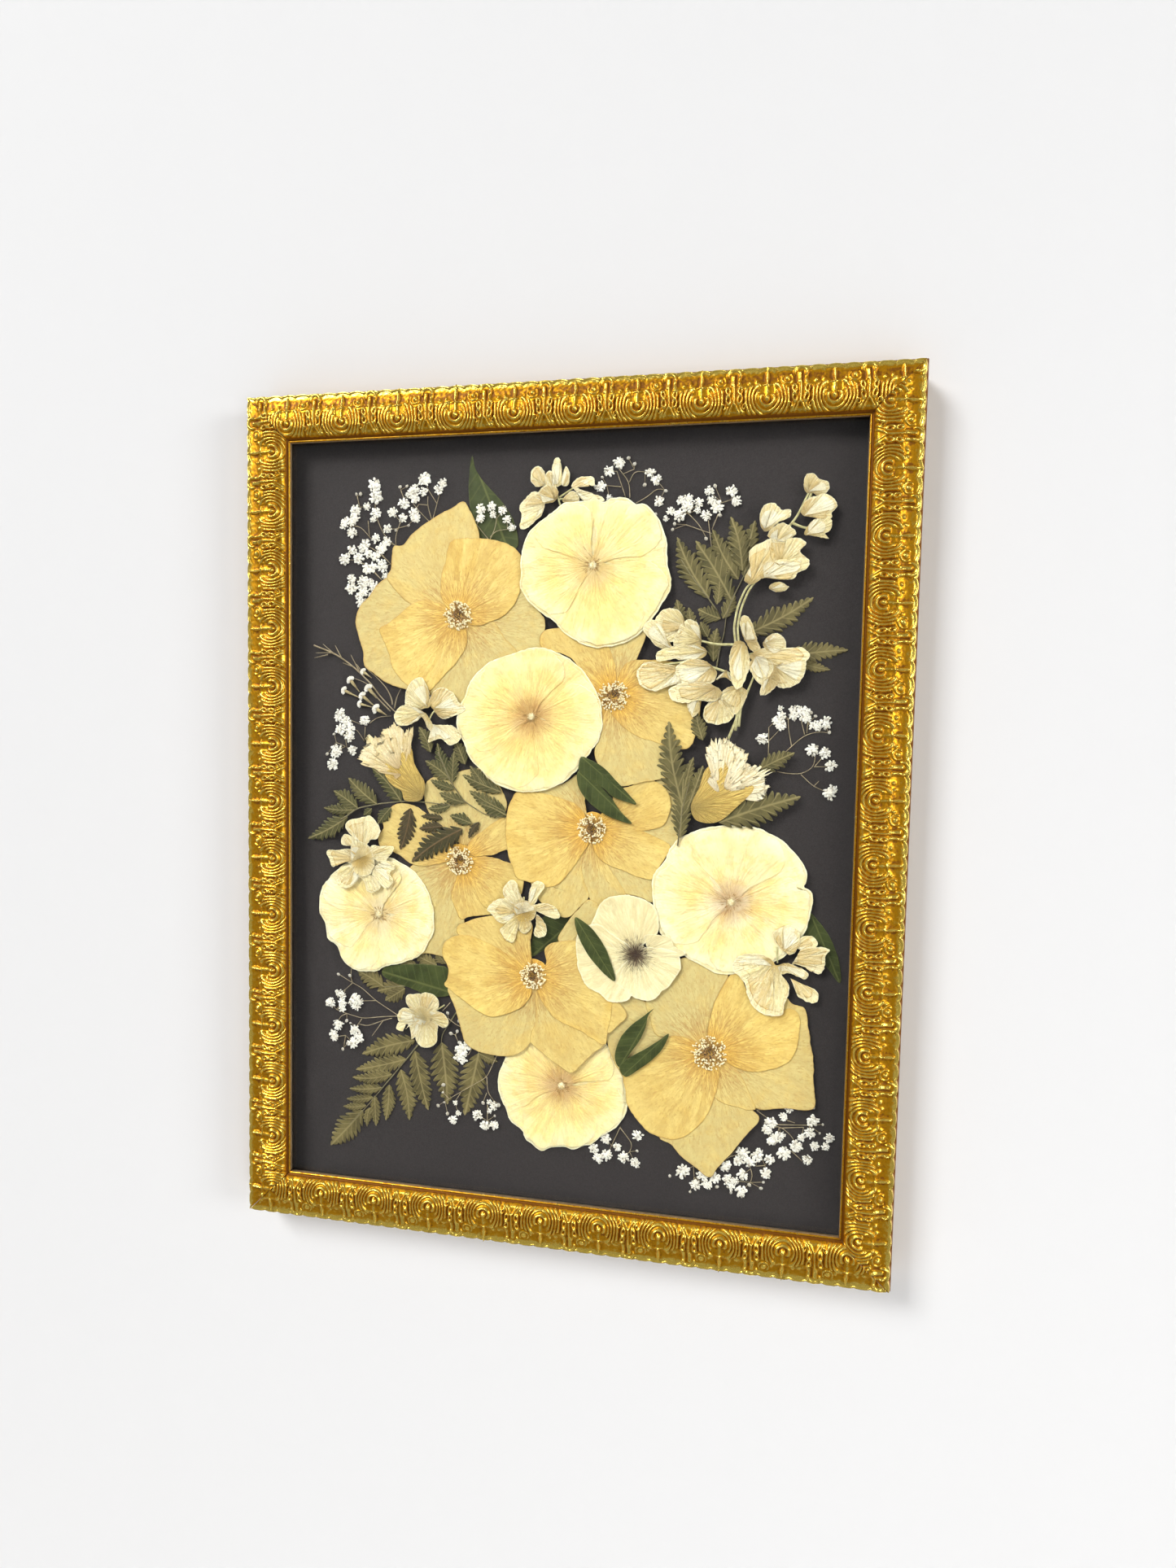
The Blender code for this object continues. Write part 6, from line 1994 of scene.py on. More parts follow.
ROSES = (
    Rose("rose_left", (-52.5, -21.0), 1, 7.4, (
        Petal(0.95, 0.3, (
            -72, 18, -66, 23, -58, 24, -48, 27, -40, 27, -33, 20, -28, 10, -30, 3, -40, -5, -50,
            -12, -60, -5, -70, 5)),
        Petal(0.85, 0.35, (
            -54, -24, -62, -22, -75, -23, -82, -30, -80, -45, -76, -60, -76, -71, -68, -71, -60,
            -72, -54, -62, -50, -53, -55, -45, -57, -38, -54, -30)),
        Petal(0.3, 0.9, (
            -52, -27, -56, -36, -57, -40, -55, -46, -51.5, -52, -46, -50, -38, -49, -32, -47,
            -38, -38, -46, -29)),
        Petal(0.3, 0.9, (
            -48, -19, -41, -18, -30, -20, -22, -23, -18, -30, -20, -38, -30, -45, -38, -45, -44,
            -36, -49, -26)),
        Petal(0.25, 0.8, (
            -48, -15, -46, -9.5, -40, -5, -34, 0, -26, 3, -22, 0, -20, -15, -27, -14, -35, -17,
            -45, -18)),
        Petal(0.45, 0.7, (
            -55, -18, -62, -8, -70, 2, -80, 7.5, -89, 7.3, -93, 3, -96.5, -0.5, -95, -5, -98,
            -10, -97, -15, -88, -18, -78, -24, -65, -23)))),
    Rose("rose_upper_left", (-54.5, 107.0), 2, 7.5, (
        Petal(1.0, 0.1, (
            -37, 104.5, -27, 110, -21.5, 120, -15, 112, -9, 105, -9, 98, -9.5, 91, -18, 90,
            -23.5, 88, -29, 95)),
        Petal(0.85, 0.35, (
            -52, 102, -37, 104, -30, 95, -23.5, 88, -30, 85, -40, 80, -46, 72, -50, 62, -58, 60,
            -68, 66, -72, 69, -62, 80, -53, 92)),
        Petal(0.8, 0.2, (
            -93.5, 126.5, -99, 123, -104, 117, -109.5, 110.5, -111, 104.5, -109.5, 97, -106.5,
            88, -106, 82, -100, 77, -92, 72.3, -84, 69.8, -77, 69, -60, 95, -56, 107, -75, 119)),
        Petal(0.65, 0.3, (
            -89.5, 143.5, -85, 143.5, -80, 149, -70, 156, -60, 161, -53, 164.5, -50.5, 162, -45,
            150, -44.5, 145.5, -54.5, 107, -80, 113.5, -89, 121, -93.5, 128, -91.5, 131, -90.5,
            140)),
        Petal(0.2, 0.45, (
            -97.5, 100.5, -93, 103, -85, 109, -80, 113, -72, 115, -54.5, 107, -51, 100, -50.5,
            92.5, -52, 89, -57, 82, -63, 76, -69.5, 69, -72, 68.5, -80, 70, -88, 77, -91, 82,
            -92, 87, -95, 94)),
        Petal(0.15, 0.5, (
            -58, 145, -46, 146, -35, 144.5, -27.5, 142, -22, 137, -21.5, 130, -22, 121, -25,
            113, -30, 108, -37, 104.5, -45, 102.5, -50, 104, -54.5, 107, -60, 111, -63, 116,
            -64, 123, -63, 130, -61, 135, -60.5, 140)))),
    Rose("rose_centre", (18.0, -1.5), 2, 7.3, (
        Petal(1.0, 0.1, (
            24, 2, 48, 22, 55, 26, 62, 26, 65, 15, 64, 0, 61, -8, 56, -13, 48, -8, 34, -4)),
        Petal(0.9, 0.3, (15, 5, 14, 15, 18, 22, 12, 27, 4, 22, -5, 19, -10, 17, -5, 14, 5, 12)),
        Petal(0.95, 0.4, (
            19, -10, 25, -18, 35, -22, 42, -24.5, 49.5, -26, 50, -37, 43, -35, 33, -33, 25, -26,
            20, -17)),
        Petal(0.8, 0.5, (
            18, -9, 14, -16, 12.5, -24, 15, -32, 22.5, -43, 27, -37, 36, -35.5, 30, -25, 22, -14)),
        Petal(0.7, 0.5, (
            16, -9, 13, -20, 14, -28, 17, -36, 12, -42, 6, -47.5, 0, -46, -6, -42, -10, -37,
            -13, -30, -4, -31, 5, -24, 12, -14)),
        Petal(0.3, 0.8, (
            22, 4, 28, 12, 30, 18, 38, 21, 45, 24.5, 50, 23.5, 55, 20, 57.5, 14, 57, 8, 54, 2,
            45, -1, 35, 0, 25, -1)),
        Petal(0.25, 0.85, (
            24, -2, 35, 0, 45, -2, 52, -5, 58, -8.5, 55, -15, 51, -22, 49.5, -25.5, 42, -24.5,
            35, -22, 25, -18, 19, -10)),
        Petal(0.1, 0.9, (
            15, 3, 10, 10, 3, 13, -5, 15, -15, 16.3, -21, 16, -25, 10, -27, 0, -26, -13, -24,
            -20, -20.5, -28, -14, -29.5, -5, -32, 1, -30, 7, -23, 13, -14, 17, -6)))),
    Rose("rose_lower_right", (80.5, -112.5), 2, 8.6, (
        Petal(0.95, 0.2, (
            80, -112, 66, -106, 54, -105, 50, -92, 40, -86, 30, -90, 28, -105, 30, -116, 34,
            -124, 38, -129, 50, -121, 62, -112)),
        Petal(0.9, 0.4, (
            79, -110, 66, -105, 54, -105.5, 51, -98, 48, -88, 55, -75, 65, -66, 78, -66, 88,
            -72, 86, -80, 83, -90, 81, -100)),
        Petal(0.7, 0.15, (
            90, -115, 116, -81.5, 120, -85, 126, -87, 128, -96, 130.5, -110, 131.5, -124, 132,
            -135.5, 118, -136.7, 104, -138, 100, -128, 94, -119)),
        Petal(0.75, 0.15, (
            84, -136, 91, -138, 101, -140, 105.5, -143, 105, -146, 99, -154, 92, -164, 87, -170,
            82.5, -176.5, 75, -172, 69, -168, 63, -162, 57, -159, 70, -156, 77, -148, 82, -140)),
        Petal(0.6, 0.5, (
            82, -116, 93, -119, 97, -124, 100, -130, 104, -139, 101, -140, 95, -139, 89, -138,
            84, -135, 83, -129, 82, -122)),
        Petal(0.2, 0.6, (
            38, -129, 45, -125, 51, -120, 56, -114, 60, -107, 65, -106, 73, -108, 80, -112, 85,
            -120, 85, -128, 83, -136, 81, -142, 77, -149, 71, -155, 65, -158.5, 59, -158.5, 51,
            -156, 45, -150, 40, -143, 39, -136)),
        Petal(0.1, 0.85, (
            82, -110, 80, -103, 81.5, -93, 84, -84, 88, -76, 92, -71, 96, -75, 100, -84, 106,
            -89, 113, -90, 119, -87, 123, -90, 123.5, -100, 121.5, -110, 117, -115, 109, -118.5,
            101, -120, 93, -118))), 17.0),
    Rose("rose_upper_right", (28.0, 66.5), 3, 7.6, (
        Petal(0.75, 0.6, (21, 90, 33, 97, 43, 99, 40, 88, 37, 82, 32, 78, 28, 70)),
        Petal(0.35, 0.9, (-9, 98, 5, 100, 22, 94, 27, 85, 28, 70, 15, 75, 5, 86, -9.5, 91)),
        Petal(0.5, 1.0, (28, 67, 22, 80, 14, 84, 8, 80, 14, 62, 21, 50)),
        Petal(0.8, 0.45, (
            25.5, 61, 23, 55, 21.5, 45, 19, 38, 21, 32, 25, 27, 30, 22, 35, 21.5, 45, 24, 55,
            26, 60.5, 27.5, 59, 33, 55, 41, 47, 45, 38, 48, 31, 54)),
        Petal(0.3, 0.9, (
            28, 68, 34, 82, 45, 84, 60, 82, 70, 72, 70, 55, 66, 42, 58, 41.5, 50, 44, 40, 47,
            32, 53, 27, 59)))),
    Rose("rose_lower_centre", (-11.5, -79.5), 3, 7.0, (
        Petal(1.0, 0.2, (2, -60, 8, -48, 18, -38, 24, -44, 20, -55, 12, -61)),
        Petal(0.75, 0.25, (
            -12, -84, -35, -95, -57, -89.5, -53, -100, -50, -110, -47.5, -118, -43, -121, -35,
            -123, -25, -123, -17, -120, -12.5, -114, -10, -105, -8.5, -96, -9.5, -88)),
        Petal(0.75, 0.35, (
            -9, -88, -3, -95, 5, -101, 15, -106, 26.5, -112, 21, -117.5, 15, -124, 9.5, -129, 3,
            -125.5, -5, -120, -12, -114, -9.5, -104)),
        Petal(0.6, 0.2, (29, -88, 35, -91, 38, -97, 33, -103, 28, -107, 26, -98)),
        Petal(0.3, 0.7, (
            -7, -80, -4, -72, -5, -65, 1, -61.5, 12, -60.5, 20, -65, 26, -75, 30, -87, 29.5,
            -98, 28, -105, 27, -112, 15, -106.5, 0, -100, -6, -92, -9, -86)),
        Petal(0.35, 0.55, (
            -13, -74, -13.5, -62, -13, -52, -20, -48, -30, -48.5, -37, -50, -46, -52.5, -53,
            -57, -52, -60, -45, -65, -30, -74, -18, -79)),
        Petal(0.1, 0.65, (
            -16, -76, -30, -67, -45, -61, -55, -62, -60, -67, -60, -73, -57, -79, -58, -85,
            -59.5, -87.5, -56, -90, -48, -95.5, -40, -100.5, -34, -102.5, -25, -100, -17, -95.5,
            -12.5, -88)))),
)

BLOOMS = (
    Bloom("cream_bloom_bottom", (4.5, -137.0), 1, (
        -25, -122, -27, -127, -29.5, -133, -30, -140, -28.5, -147, -25, -154, -22.5, -159, -16,
        -164, -15, -167, -10, -171, -5.5, -173.5, 0, -171, 7, -170, 11.5, -170.8, 15, -169, 21,
        -167, 26, -162, 32, -158, 36, -154, 39, -148, 39.5, -143, 38.5, -138, 38, -130, 35,
        -124, 31.5, -119, 27, -112, 17, -105, 5, -102.5, -8, -105, -18, -112), 7, 0.2, 0.85,
        0.06, 0.12),
    Bloom("cream_bloom_left", (-97.5, -52.0), 2, (
        -132.5, -49, -132, -43, -130, -38, -126, -33, -121, -28, -110, -23, -100, -22, -91, -21,
        -85, -24, -79, -27, -74, -32, -70, -38, -67.5, -45, -66.5, -53, -67, -61, -70, -67, -72,
        -71, -77, -75, -85, -78, -95, -81, -98, -83, -105, -84, -111, -83.5, -116, -81, -120,
        -76, -122, -71, -127.5, -67, -128, -64, -129, -59, -132, -53), 8, 0.9, 0.4, 0.07, 0.3),
    Bloom("cream_bloom_right", (89.0, -35.0), 3, (
        49.5, -28, 50, -23, 55, -17, 57, -12, 62, -5, 69, -1, 77, 2, 85, 3, 93, 3, 100, 2.5,
        107, 0, 114, -4, 119, -9, 123, -14, 125.5, -20, 125, -24, 123.5, -25.5, 127, -27.5,
        128.5, -31, 127.5, -39, 126, -46, 121, -55, 114, -62, 105, -67, 94, -70.5, 85, -72, 75,
        -68, 67, -64, 60, -60, 54, -52, 51, -44, 50, -36), 7, 0.55, 1.0, 0.06, 0.3),
    Bloom("cream_bloom_centre", (-14.5, 55.5), 4, (
        -50, 66, -54, 56, -54.5, 50, -50, 40, -48, 35, -40, 26, -32, 20, -22, 16.7, -12, 17, -3,
        19.3, 4, 23, 11, 30, 17, 38.5, 21.5, 46, 22.5, 56, 20, 66, 15, 75, 9, 82, 1, 87, -7, 90,
        -15, 90.5, -25, 87.5, -36, 83.5, -44, 77.5, -48.5, 71), 6, 0.75, 0.85, 0.06, 0.1),
    Bloom("cream_bloom_top", (16.0, 131.5), 4, (
        -21.5, 130, -21, 138, -19, 145, -15, 151, -10, 155, -5, 158.5, 0, 162.5, 7, 163, 14,
        164, 16, 165, 21, 162.5, 25, 164.5, 33, 164, 37, 161, 40, 161.5, 44, 159, 48, 154, 51,
        148, 52.5, 142, 53, 136, 53.5, 130, 55.5, 124, 55.5, 120, 52.5, 114, 50, 110, 45, 103,
        40, 97, 33, 93, 25, 91, 20, 90.3, 15, 91, 8, 94, 1, 99, -5, 105, -15, 112, -21, 120), 9,
        0.1, 0.45, 0.12, 0.15),
)

PANSY = Blossom("pansy", (42.0, -64.5), 4, (
    (22, -45, 24, -40, 30, -36, 37, -35, 45, -36.5, 51, -41, 52.5, -46, 52, -53, 47, -57, 42,
     -61, 35, -63, 28, -58, 20, -52),
    (41, -64, 30, -56, 22, -51, 14, -54, 12, -60, 12.5, -68, 14, -76, 18, -82, 24, -85, 28,
     -88.5, 34, -89, 39, -86, 39, -82, 34, -77, 36, -70),
    (33, -75, 33, -79, 38, -83, 42, -86, 48, -87, 53, -85, 55, -82, 59, -79, 63, -73, 64, -68,
     63, -63, 51, -61, 45, -62, 39, -68),
    (47, -55, 53, -54, 59, -55, 61, -59, 67, -62, 64, -64, 57, -64, 50, -62)), folds=0,
    heart=1.0)

LEAVES = (
    Leaf("leaf_top", 0, (
        (-48.7, 189, -47, 182.5, -43, 176.5, -36, 169, -30, 162, -26, 155, -24, 148, -24, 142,
         -32, 138, -42, 140, -46, 150, -49.5, 163, -50.3, 175),)),
    Leaf("leaf_right", 0, (
        (127.5, -38.5, 131, -42, 136, -48, 140, -56, 142.5, -64, 143, -73, 137, -66, 130, -58,
         124, -50, 125, -43),)),
    Leaf("leaf_centre", 0, (
        (-13, -62, -10, -52, -6, -48, 2, -46, 12, -46, 13, -52, 6, -57, 0, -62, -8, -67, -13,
         -70),)),
    Leaf("leaf_lower_left", 1, (
        (-95, -81.5, -85, -79, -75, -78, -65, -78, -59, -79, -57, -86, -56.5, -93, -65, -95,
         -73, -93.5, -81, -91, -89, -89, -96, -85),)),
    Leaf("leaf_pair_lower", 4, (
        (52.3, -91.5, 49.5, -95, 48, -102, 45, -109, 41, -115, 35.5, -124, 33, -121, 33, -115,
         36, -107, 41, -101, 47, -96),
        (60, -104, 57, -112, 52, -118, 45, -124, 38, -128.5, 35, -124, 39, -119, 45, -115, 51,
         -111, 55, -108))),
    Leaf("leaf_on_pansy", 5, (
        (10.5, -47, 15, -49, 20, -53, 24, -58, 27, -63, 29.5, -69, 31, -73, 32, -79, 27, -76,
         20, -69, 15, -62, 13, -58, 11, -53),)),
    Leaf("leaf_pair_centre", 5, (
        (10.5, 28, 17, 25, 24, 19, 28, 15, 33, 8, 39, 2.2, 31, 4, 24, 7, 16, 13, 12, 18, 10.2,
         23),
        (12, 35.5, 17, 34, 24, 30, 30, 24, 36, 18, 41, 12, 35, 13.5, 28, 16, 25, 19, 17, 24, 11,
         28, 11, 32))),
)

FRONDS = (
    Frond("fern_upper_right", 0, (
        (60, 100, 58, 115.5, 7), (66, 98, 64, 111.5, 6), (74, 96, 70, 104, 6),
        (77, 84, 78.5, 101.5, 7), (81, 105, 87, 117, 6), (80, 105, 68, 110, 8),
        (78, 112, 79, 124, 5), (90, 128, 83, 156, 10), (88, 124, 74, 150, 10),
        (91, 125, 95.5, 154, 10), (85, 114, 65.5, 145, 12), (74, 115, 56.5, 147, 11)), (
        (78.5, 80, 80, 90, 82, 98, 82.5, 105), (78, 109, 73, 116, 65, 126, 60, 134),
        (82.5, 105, 85, 114, 89, 122, 93.5, 132)), deep=0.3),
    Frond("fern_right", 0, ((93, 97.5, 126, 116, 11),)),
    Frond("fern_far_right", 0, ((118, 84, 134, 80, 5), (110, 86, 143, 90, 9))),
    Frond("fern_lower_left", 0, (
        (-83, -90, -100, -95, 8), (-83, -92, -95, -100, 8), (-76, -79, -89, -77, 5),
        (-65, -78, -79, -72, 7), (-60, -77, -66, -71, 6), (-95, -92, -111.5, -83.5, 10)), (
        (-60, -84, -72, -88, -84, -91, -95, -92),)),
    Frond("fern_bottom_left", 0, (
        (-107, -162, -127.2, -185.2, 12), (-105, -159, -119.5, -161, 4.5),
        (-103, -160, -104.5, -171.5, 4.5), (-101, -154, -117.5, -156.5, 5),
        (-100, -153, -99, -171, 6), (-96, -148, -116, -150.5, 6),
        (-91.5, -146, -93.5, -167.5, 7), (-90, -140, -114.5, -144, 7),
        (-85, -137, -79.5, -166.5, 10), (-82, -131, -113, -140, 9),
        (-77, -126, -68.5, -160, 11), (-77, -120, -109.5, -131, 11)), (
        (-75, -122, -81, -130, -89, -140, -97, -150, -105, -160, -115, -171),)),
    Frond("fern_bottom_centre", 0, (
        (-62, -120, -58, -156, 14), (-41, -124, -49, -161, 13), (-41, -124, -30, -128, 6)), (
        (-52, -100, -62, -116, -62, -122), (-52, -100, -46, -112, -41, -124))),
    Frond("fern_left", 2, (
        (-116, 0, -140.5, -13.5, 9), (-112, 4, -131, 4.5, 6), (-110, 5, -125, 14.5, 8),
        (-102, 5, -107, 1, 4), (-91, 6, -99, -4, 6), (-99, 7.5, -116.5, 22, 9),
        (-85, 9, -103, 28, 9), (-69, 36, -76, 50, 7), (-58, 22, -66, 42, 7),
        (-58, 22, -73, 32, 8), (-57, 20, -56, 38, 6), (-50, 30, -56, 43, 7),
        (-30, 16, -53, 25, 7), (-28, 6, -49, 17, 7), (-27, 4, -42, 10, 8),
        (-50, 10, -65, 15, 6), (-56, 17, -70, 21.5, 5), (-58, 8, -71, 6, 5),
        (-46, -1, -59, 3, 6), (-38, 18, -48, 30, 6)), (
        (-120, -2, -110, 5, -99, 7.5, -85, 9.5, -72, 9.5, -55, 8),
        (-65, 36, -58, 21, -51, 11, -39, 4, -27, 3)), (
        (-62, 1, -75, 2, 4), (-80, 6, -86, -18, 9), (-42, 0, -48, -9.5, 4),
        (-62, -3, -76, -5, 6), (-51, -4, -81, -24, 12)), deep=0.8),
    Frond("fern_by_carnation", 4, (
        (73, 45, 69, 60, 7), (66, 10, 74, 34, 9), (64, 14, 69, 38, 7), (63, -4, 64, 28, 9),
        (64, 12, 55.5, 57, 13), (100, 31, 118.5, 40.5, 8), (82, 4.5, 123.5, 19.5, 14)), (
        (62, -8, 63, 4, 64, 12, 67, 24),), deep=0.35),
)

SPRAYS = (
    Spray("breath_upper_left", 0, (
        -102, 175.8, 3.7, -101.2, 169.9, 3.7, -112.2, 171.4, 1, -109.8, 171.4, 1.3, -106.2,
        164.9, 2.3, -101, 161.4, 3, -112.7, 162.8, 3.2, -113.3, 159.3, 3, -118.3, 157, 2.8,
        -119.8, 154.9, 1.8, -114.8, 157, 2.5, -114.4, 151.4, 2.9, -102.7, 158.1, 1.8, -94.8,
        152.8, 2.6, -101.2, 148.1, 2.6, -95, 146.4, 2.8, -98, 142.8, 3.2, -107.1, 145.2, 3,
        -108.6, 143.1, 2.6, -114.8, 142.2, 2.9, -118.9, 137.5, 3.2, -110.9, 137.8, 3.1, -105.4,
        140.2, 2.6, -101.2, 138.7, 2.7, -105.9, 132.2, 3, -102.7, 132.8, 2.7, -97.4, 133.7, 3.4,
        -95.6, 128.4, 2.2, -114.8, 127, 2.8, -115, 122.2, 3.3, -108.3, 126, 3, -108.6, 122.8, 3,
        -107.7, 120.2, 2.6, -104.5, 125.2, 2.4, -102, 122.5, 3.2, -110.3, 118.1, 2.4, -108.9,
        114.3, 3.2, -103.9, 118.7, 1.5, -87.8, 174.4, 1.1, -83.9, 174.6, 1, -79.8, 172.5, 3.2,
        -79.8, 168.7, 3, -82.7, 170.5, 2.2, -74.2, 177.8, 3.7, -74.8, 171.6, 2.4, -64.2, 175.8,
        2.6, -66.6, 172.4, 2.6, -85.6, 165.8, 3.3, -91.8, 161.4, 2.9, -85.9, 158.4, 2.5, -80,
        161, 3, -78.9, 158.1, 2.7, -82.8, 154.4, 0.9, -89.9, 152, 0.9), (
        (-100.3, 157.8, -97.4, 151, -93.3, 146.4, -89.8, 144),
        (-115, 155.2, -109.8, 154.6, -103.9, 148.1), (-105.6, 157.5, -104.8, 149.3),
        (-111.8, 170.5, -110.4, 164.6), (-97.4, 139.3, -92.7, 134.6),
        (-101.5, 129.9, -97.4, 126.1), (-70.9, 155.5, -78, 162.5, -81, 166.4),
        (-70, 156.4, -72.7, 164.6, -72.4, 169), (-69.8, 156.9, -67.4, 165.2, -66.2, 169.9),
        (-67.4, 165.2, -72.1, 172.2), (-72.7, 164.6, -77.4, 165.2),
        (-87.4, 172.8, -85.6, 168.1), (-87.4, 156.4, -90.4, 148.7, -89.8, 144),
        (-90.4, 152.8, -83.9, 154.3), (-101.2, 169.9, -102, 163, -100.3, 157.8),
        (-107.1, 145.2, -100, 141, -92.7, 134.6), (-112, 137, -104, 133, -97.4, 126.1),
        (-108.3, 126, -102, 122, -97, 118))),
    Spray("breath_top", 0, (
        22.7, 178.2, 2.8, 27.7, 182.3, 3.1, 32.5, 184.4, 1.2, 35.6, 181.4, 1.2, 18.6, 170.9,
        2.9, 19.5, 175.5, 0.9, 23.2, 165.5, 1.7, 43.6, 176.8, 2.6, 46.8, 173.2, 2.7, 40.9, 171,
        1.2, 51.4, 167.7, 1.1, 48.2, 162.7, 2.7, 46.6, 156.5, 1.1), (
        (33.6, 165, 33.2, 172.7, 27.7, 179.5), (33.2, 172.7, 35.5, 178.2, 40.9, 177.3),
        (30, 176.8, 35.5, 179), (31.4, 165.5, 26.8, 178.2), (29, 170.5, 21.8, 171.4),
        (36.8, 162.3, 43.6, 165.9, 46.8, 169.5, 50.9, 168.2))),
    Spray("breath_upper_right", 1, (
        54.1, 157.7, 2.2, 51.8, 154.1, 1.6, 58.2, 155.5, 3.1, 59.5, 162.7, 2.8, 62.3, 160, 3.3,
        62.7, 163.6, 2.4, 67.7, 161.4, 2.6, 67.3, 157.7, 1.8, 72.7, 166.8, 2.4, 75.5, 169.1,
        1.2, 74.1, 162.3, 2.5, 76.8, 159.1, 3.2, 71.4, 155, 2.7, 83.6, 166.4, 3, 85.9, 161.8,
        2.7, 78.2, 155, 1.2, 56.2, 151.4, 1.1, 55.3, 148.6, 1, 71.8, 143.8, 1.1), (
        (61.8, 150.9, 72.7, 146.8, 74.5, 146.4), (62.7, 156.4, 68.2, 150.9, 71.8, 144.5),
        (72.7, 152.7, 74.5, 140), (77.3, 155.5, 74.5, 148.2), (79, 161, 83.6, 162.3))),
    Spray("breath_on_leaf", 1, (
        -43.6, 161.4, 2.7, -43.6, 156.8, 2.5, -37.7, 162.7, 2.6, -36.8, 158.6, 2.1, -31.8,
        160.5, 2.4, -29.5, 155.9, 2.3, -26.8, 151.8, 2.3), (
        (-38.6, 145.5, -45.5, 153.6), (-38.6, 145.5, -35.5, 151.8, -35, 156.4),
        (-38.2, 147.3, -35.5, 150.5, -29.1, 150.9))),
    Spray("breath_right", 0, (
        102, 46.5, 3.1, 110.1, 61.4, 1.5, 110.2, 57.2, 2.9, 108, 55.3, 2, 110.8, 53, 2.8, 116.5,
        60.5, 2.6, 116.5, 58, 2.5, 120, 60.5, 2.6, 122.5, 60, 2.2, 121.5, 57.3, 2.8, 123.3,
        56.3, 1.7, 124.8, 59.5, 1, 126.8, 57.8, 1, 126.5, 53.3, 2.6, 128, 52.5, 2.1, 131.8,
        54.5, 3.2, 133.6, 50, 1.1, 126, 41.5, 3.2, 131.8, 40, 2.9, 134.8, 33.8, 3, 134.8, 20.5,
        3.2, 136.2, 22.5, 2.4), (
        (109.3, 30.5, 111.5, 29.8, 120.8, 29.3, 127, 33, 127.3, 38), (127, 33, 130.5, 37.5),
        (127, 33.2, 131.5, 33.3), (120.8, 29.3, 127, 23.5, 131.5, 21.8),
        (127, 23.5, 129.5, 26.3), (113, 39.8, 116, 43, 122, 48.5, 129, 50.5, 133, 49.8),
        (116, 43, 114, 52.5, 114, 56), (122, 48.8, 120, 56), (123, 49.5, 123.2, 54),
        (105, 38, 105, 46, 104.8, 52), (105.2, 45.5, 109.2, 50))),
    Spray("breath_left", 0, (
        -121, 55.3, 3.2, -122.3, 53.3, 2.5, -117.7, 51.3, 3.2, -120.7, 47.3, 3.3, -115, 47.7, 3,
        -115.7, 43.3, 3.2, -124.5, 44.5, 1, -107, 52, 2.9, -123, 36, 3.2, -123.7, 34, 2.9,
        -125.3, 28.3, 3.3, -128.5, 33.7, 1.1, -114, 36, 2.9), (
        (-107, 40.7, -108, 42.7, -111.3, 46.7), (-107, 41.3, -106.7, 48.7),
        (-117.3, 37.7, -118, 42.7), (-120.7, 37, -116.7, 37.7, -123.3, 40),
        (-104, 50.7, -100, 54, -92, 54.7), (-114.7, 52, -110, 50.3))),
    Spray("breath_lower_left", 1, (
        -121.2, -86.8, 1.1, -114.5, -87, 1.2, -120.8, -97.2, 2.4, -118.5, -98.5, 2, -126,
        -102.8, 3, -119, -102.5, 2.6, -119, -105.5, 2.4, -111, -99, 2.8, -113.3, -101.5, 2.3,
        -110.8, -103.5, 2.8, -109, -101, 2.5, -116.3, -112.3, 1.2, -114.1, -113.4, 0.8, -121.3,
        -115, 3.1, -124, -120.5, 2.9, -123.3, -122.8, 1.8, -111.5, -117.5, 3.2, -109, -121, 3,
        -112.5, -124.5, 3.2, -115.8, -125, 1, -118.5, -128.3, 1.1), (
        (-86, -107.3, -94, -102.8, -99.5, -99.8, -107.5, -93.3, -113, -91, -120, -87.3),
        (-113, -91, -117.3, -95), (-113, -91.3, -114.3, -88, -113.5, -82),
        (-99.5, -99.8, -106.5, -100.5),
        (-86, -107.3, -95, -108.3, -107, -110.3, -113, -109, -116.5, -108.3, -122.5, -106.5),
        (-116.3, -108.3, -121, -110.3, -121.2, -113), (-107.5, -110.5, -110.5, -115),
        (-90, -108.8, -95, -110.3, -104.5, -114.5, -109, -113.5), (-95, -110.3, -101.5, -119.5),
        (-117, -120.5, -121, -121.5), (-117, -120.5, -118, -127.5))),
    Spray("breath_bottom_left", 1, (
        -58.4, -103.4, 1.1, -51.9, -107.1, 1.2, -56.4, -114.4, 1.3, -52.9, -112.9, 1.1, -50,
        -122.1, 4.1, -50.6, -126.8, 3.9, -60.3, -142.9, 1.4, -60.6, -147, 0.8, -63.2, -154.6,
        1.2, -57.9, -158.5, 1.2, -54.7, -161.5, 2.5, -51.8, -157.6, 1.7, -53.5, -152, 1.5,
        -59.7, -152.4, 0.8, -41.2, -157.6, 2.9, -36.8, -162.6, 2.9, -31.8, -162, 2.6, -32,
        -151.8, 2.5, -29.4, -150.9, 1.3, -34.7, -149.7, 1.6, -34.4, -154.7, 1.5, -38, -150.6,
        1.2, -31.5, -157, 0.8), (
        (-58.2, -106.2, -52.4, -110.3, -49.4, -110.6), (-61.2, -102.4, -57, -97.6),
        (-54, -115, -52.4, -118.5), (-44.1, -120.3, -46.5, -125),
        (-30.6, -123.5, -36.2, -136.5, -50.6, -145.9, -59.4, -151.8),
        (-36.2, -136.5, -35.6, -145, -32.4, -148.5), (-36.2, -145, -38.5, -151.5),
        (-35.6, -151.5, -35.6, -160.3), (-50.6, -146, -52.4, -149.7, -54, -151.5),
        (-57.4, -150, -60.3, -147.4))),
    Spray("breath_bottom", 0, (
        28.5, -163.3, 2.9, 22.4, -169.4, 2.8, 24.6, -174.2, 2.9, 29.3, -172, 3.1, 34.6, -167.2,
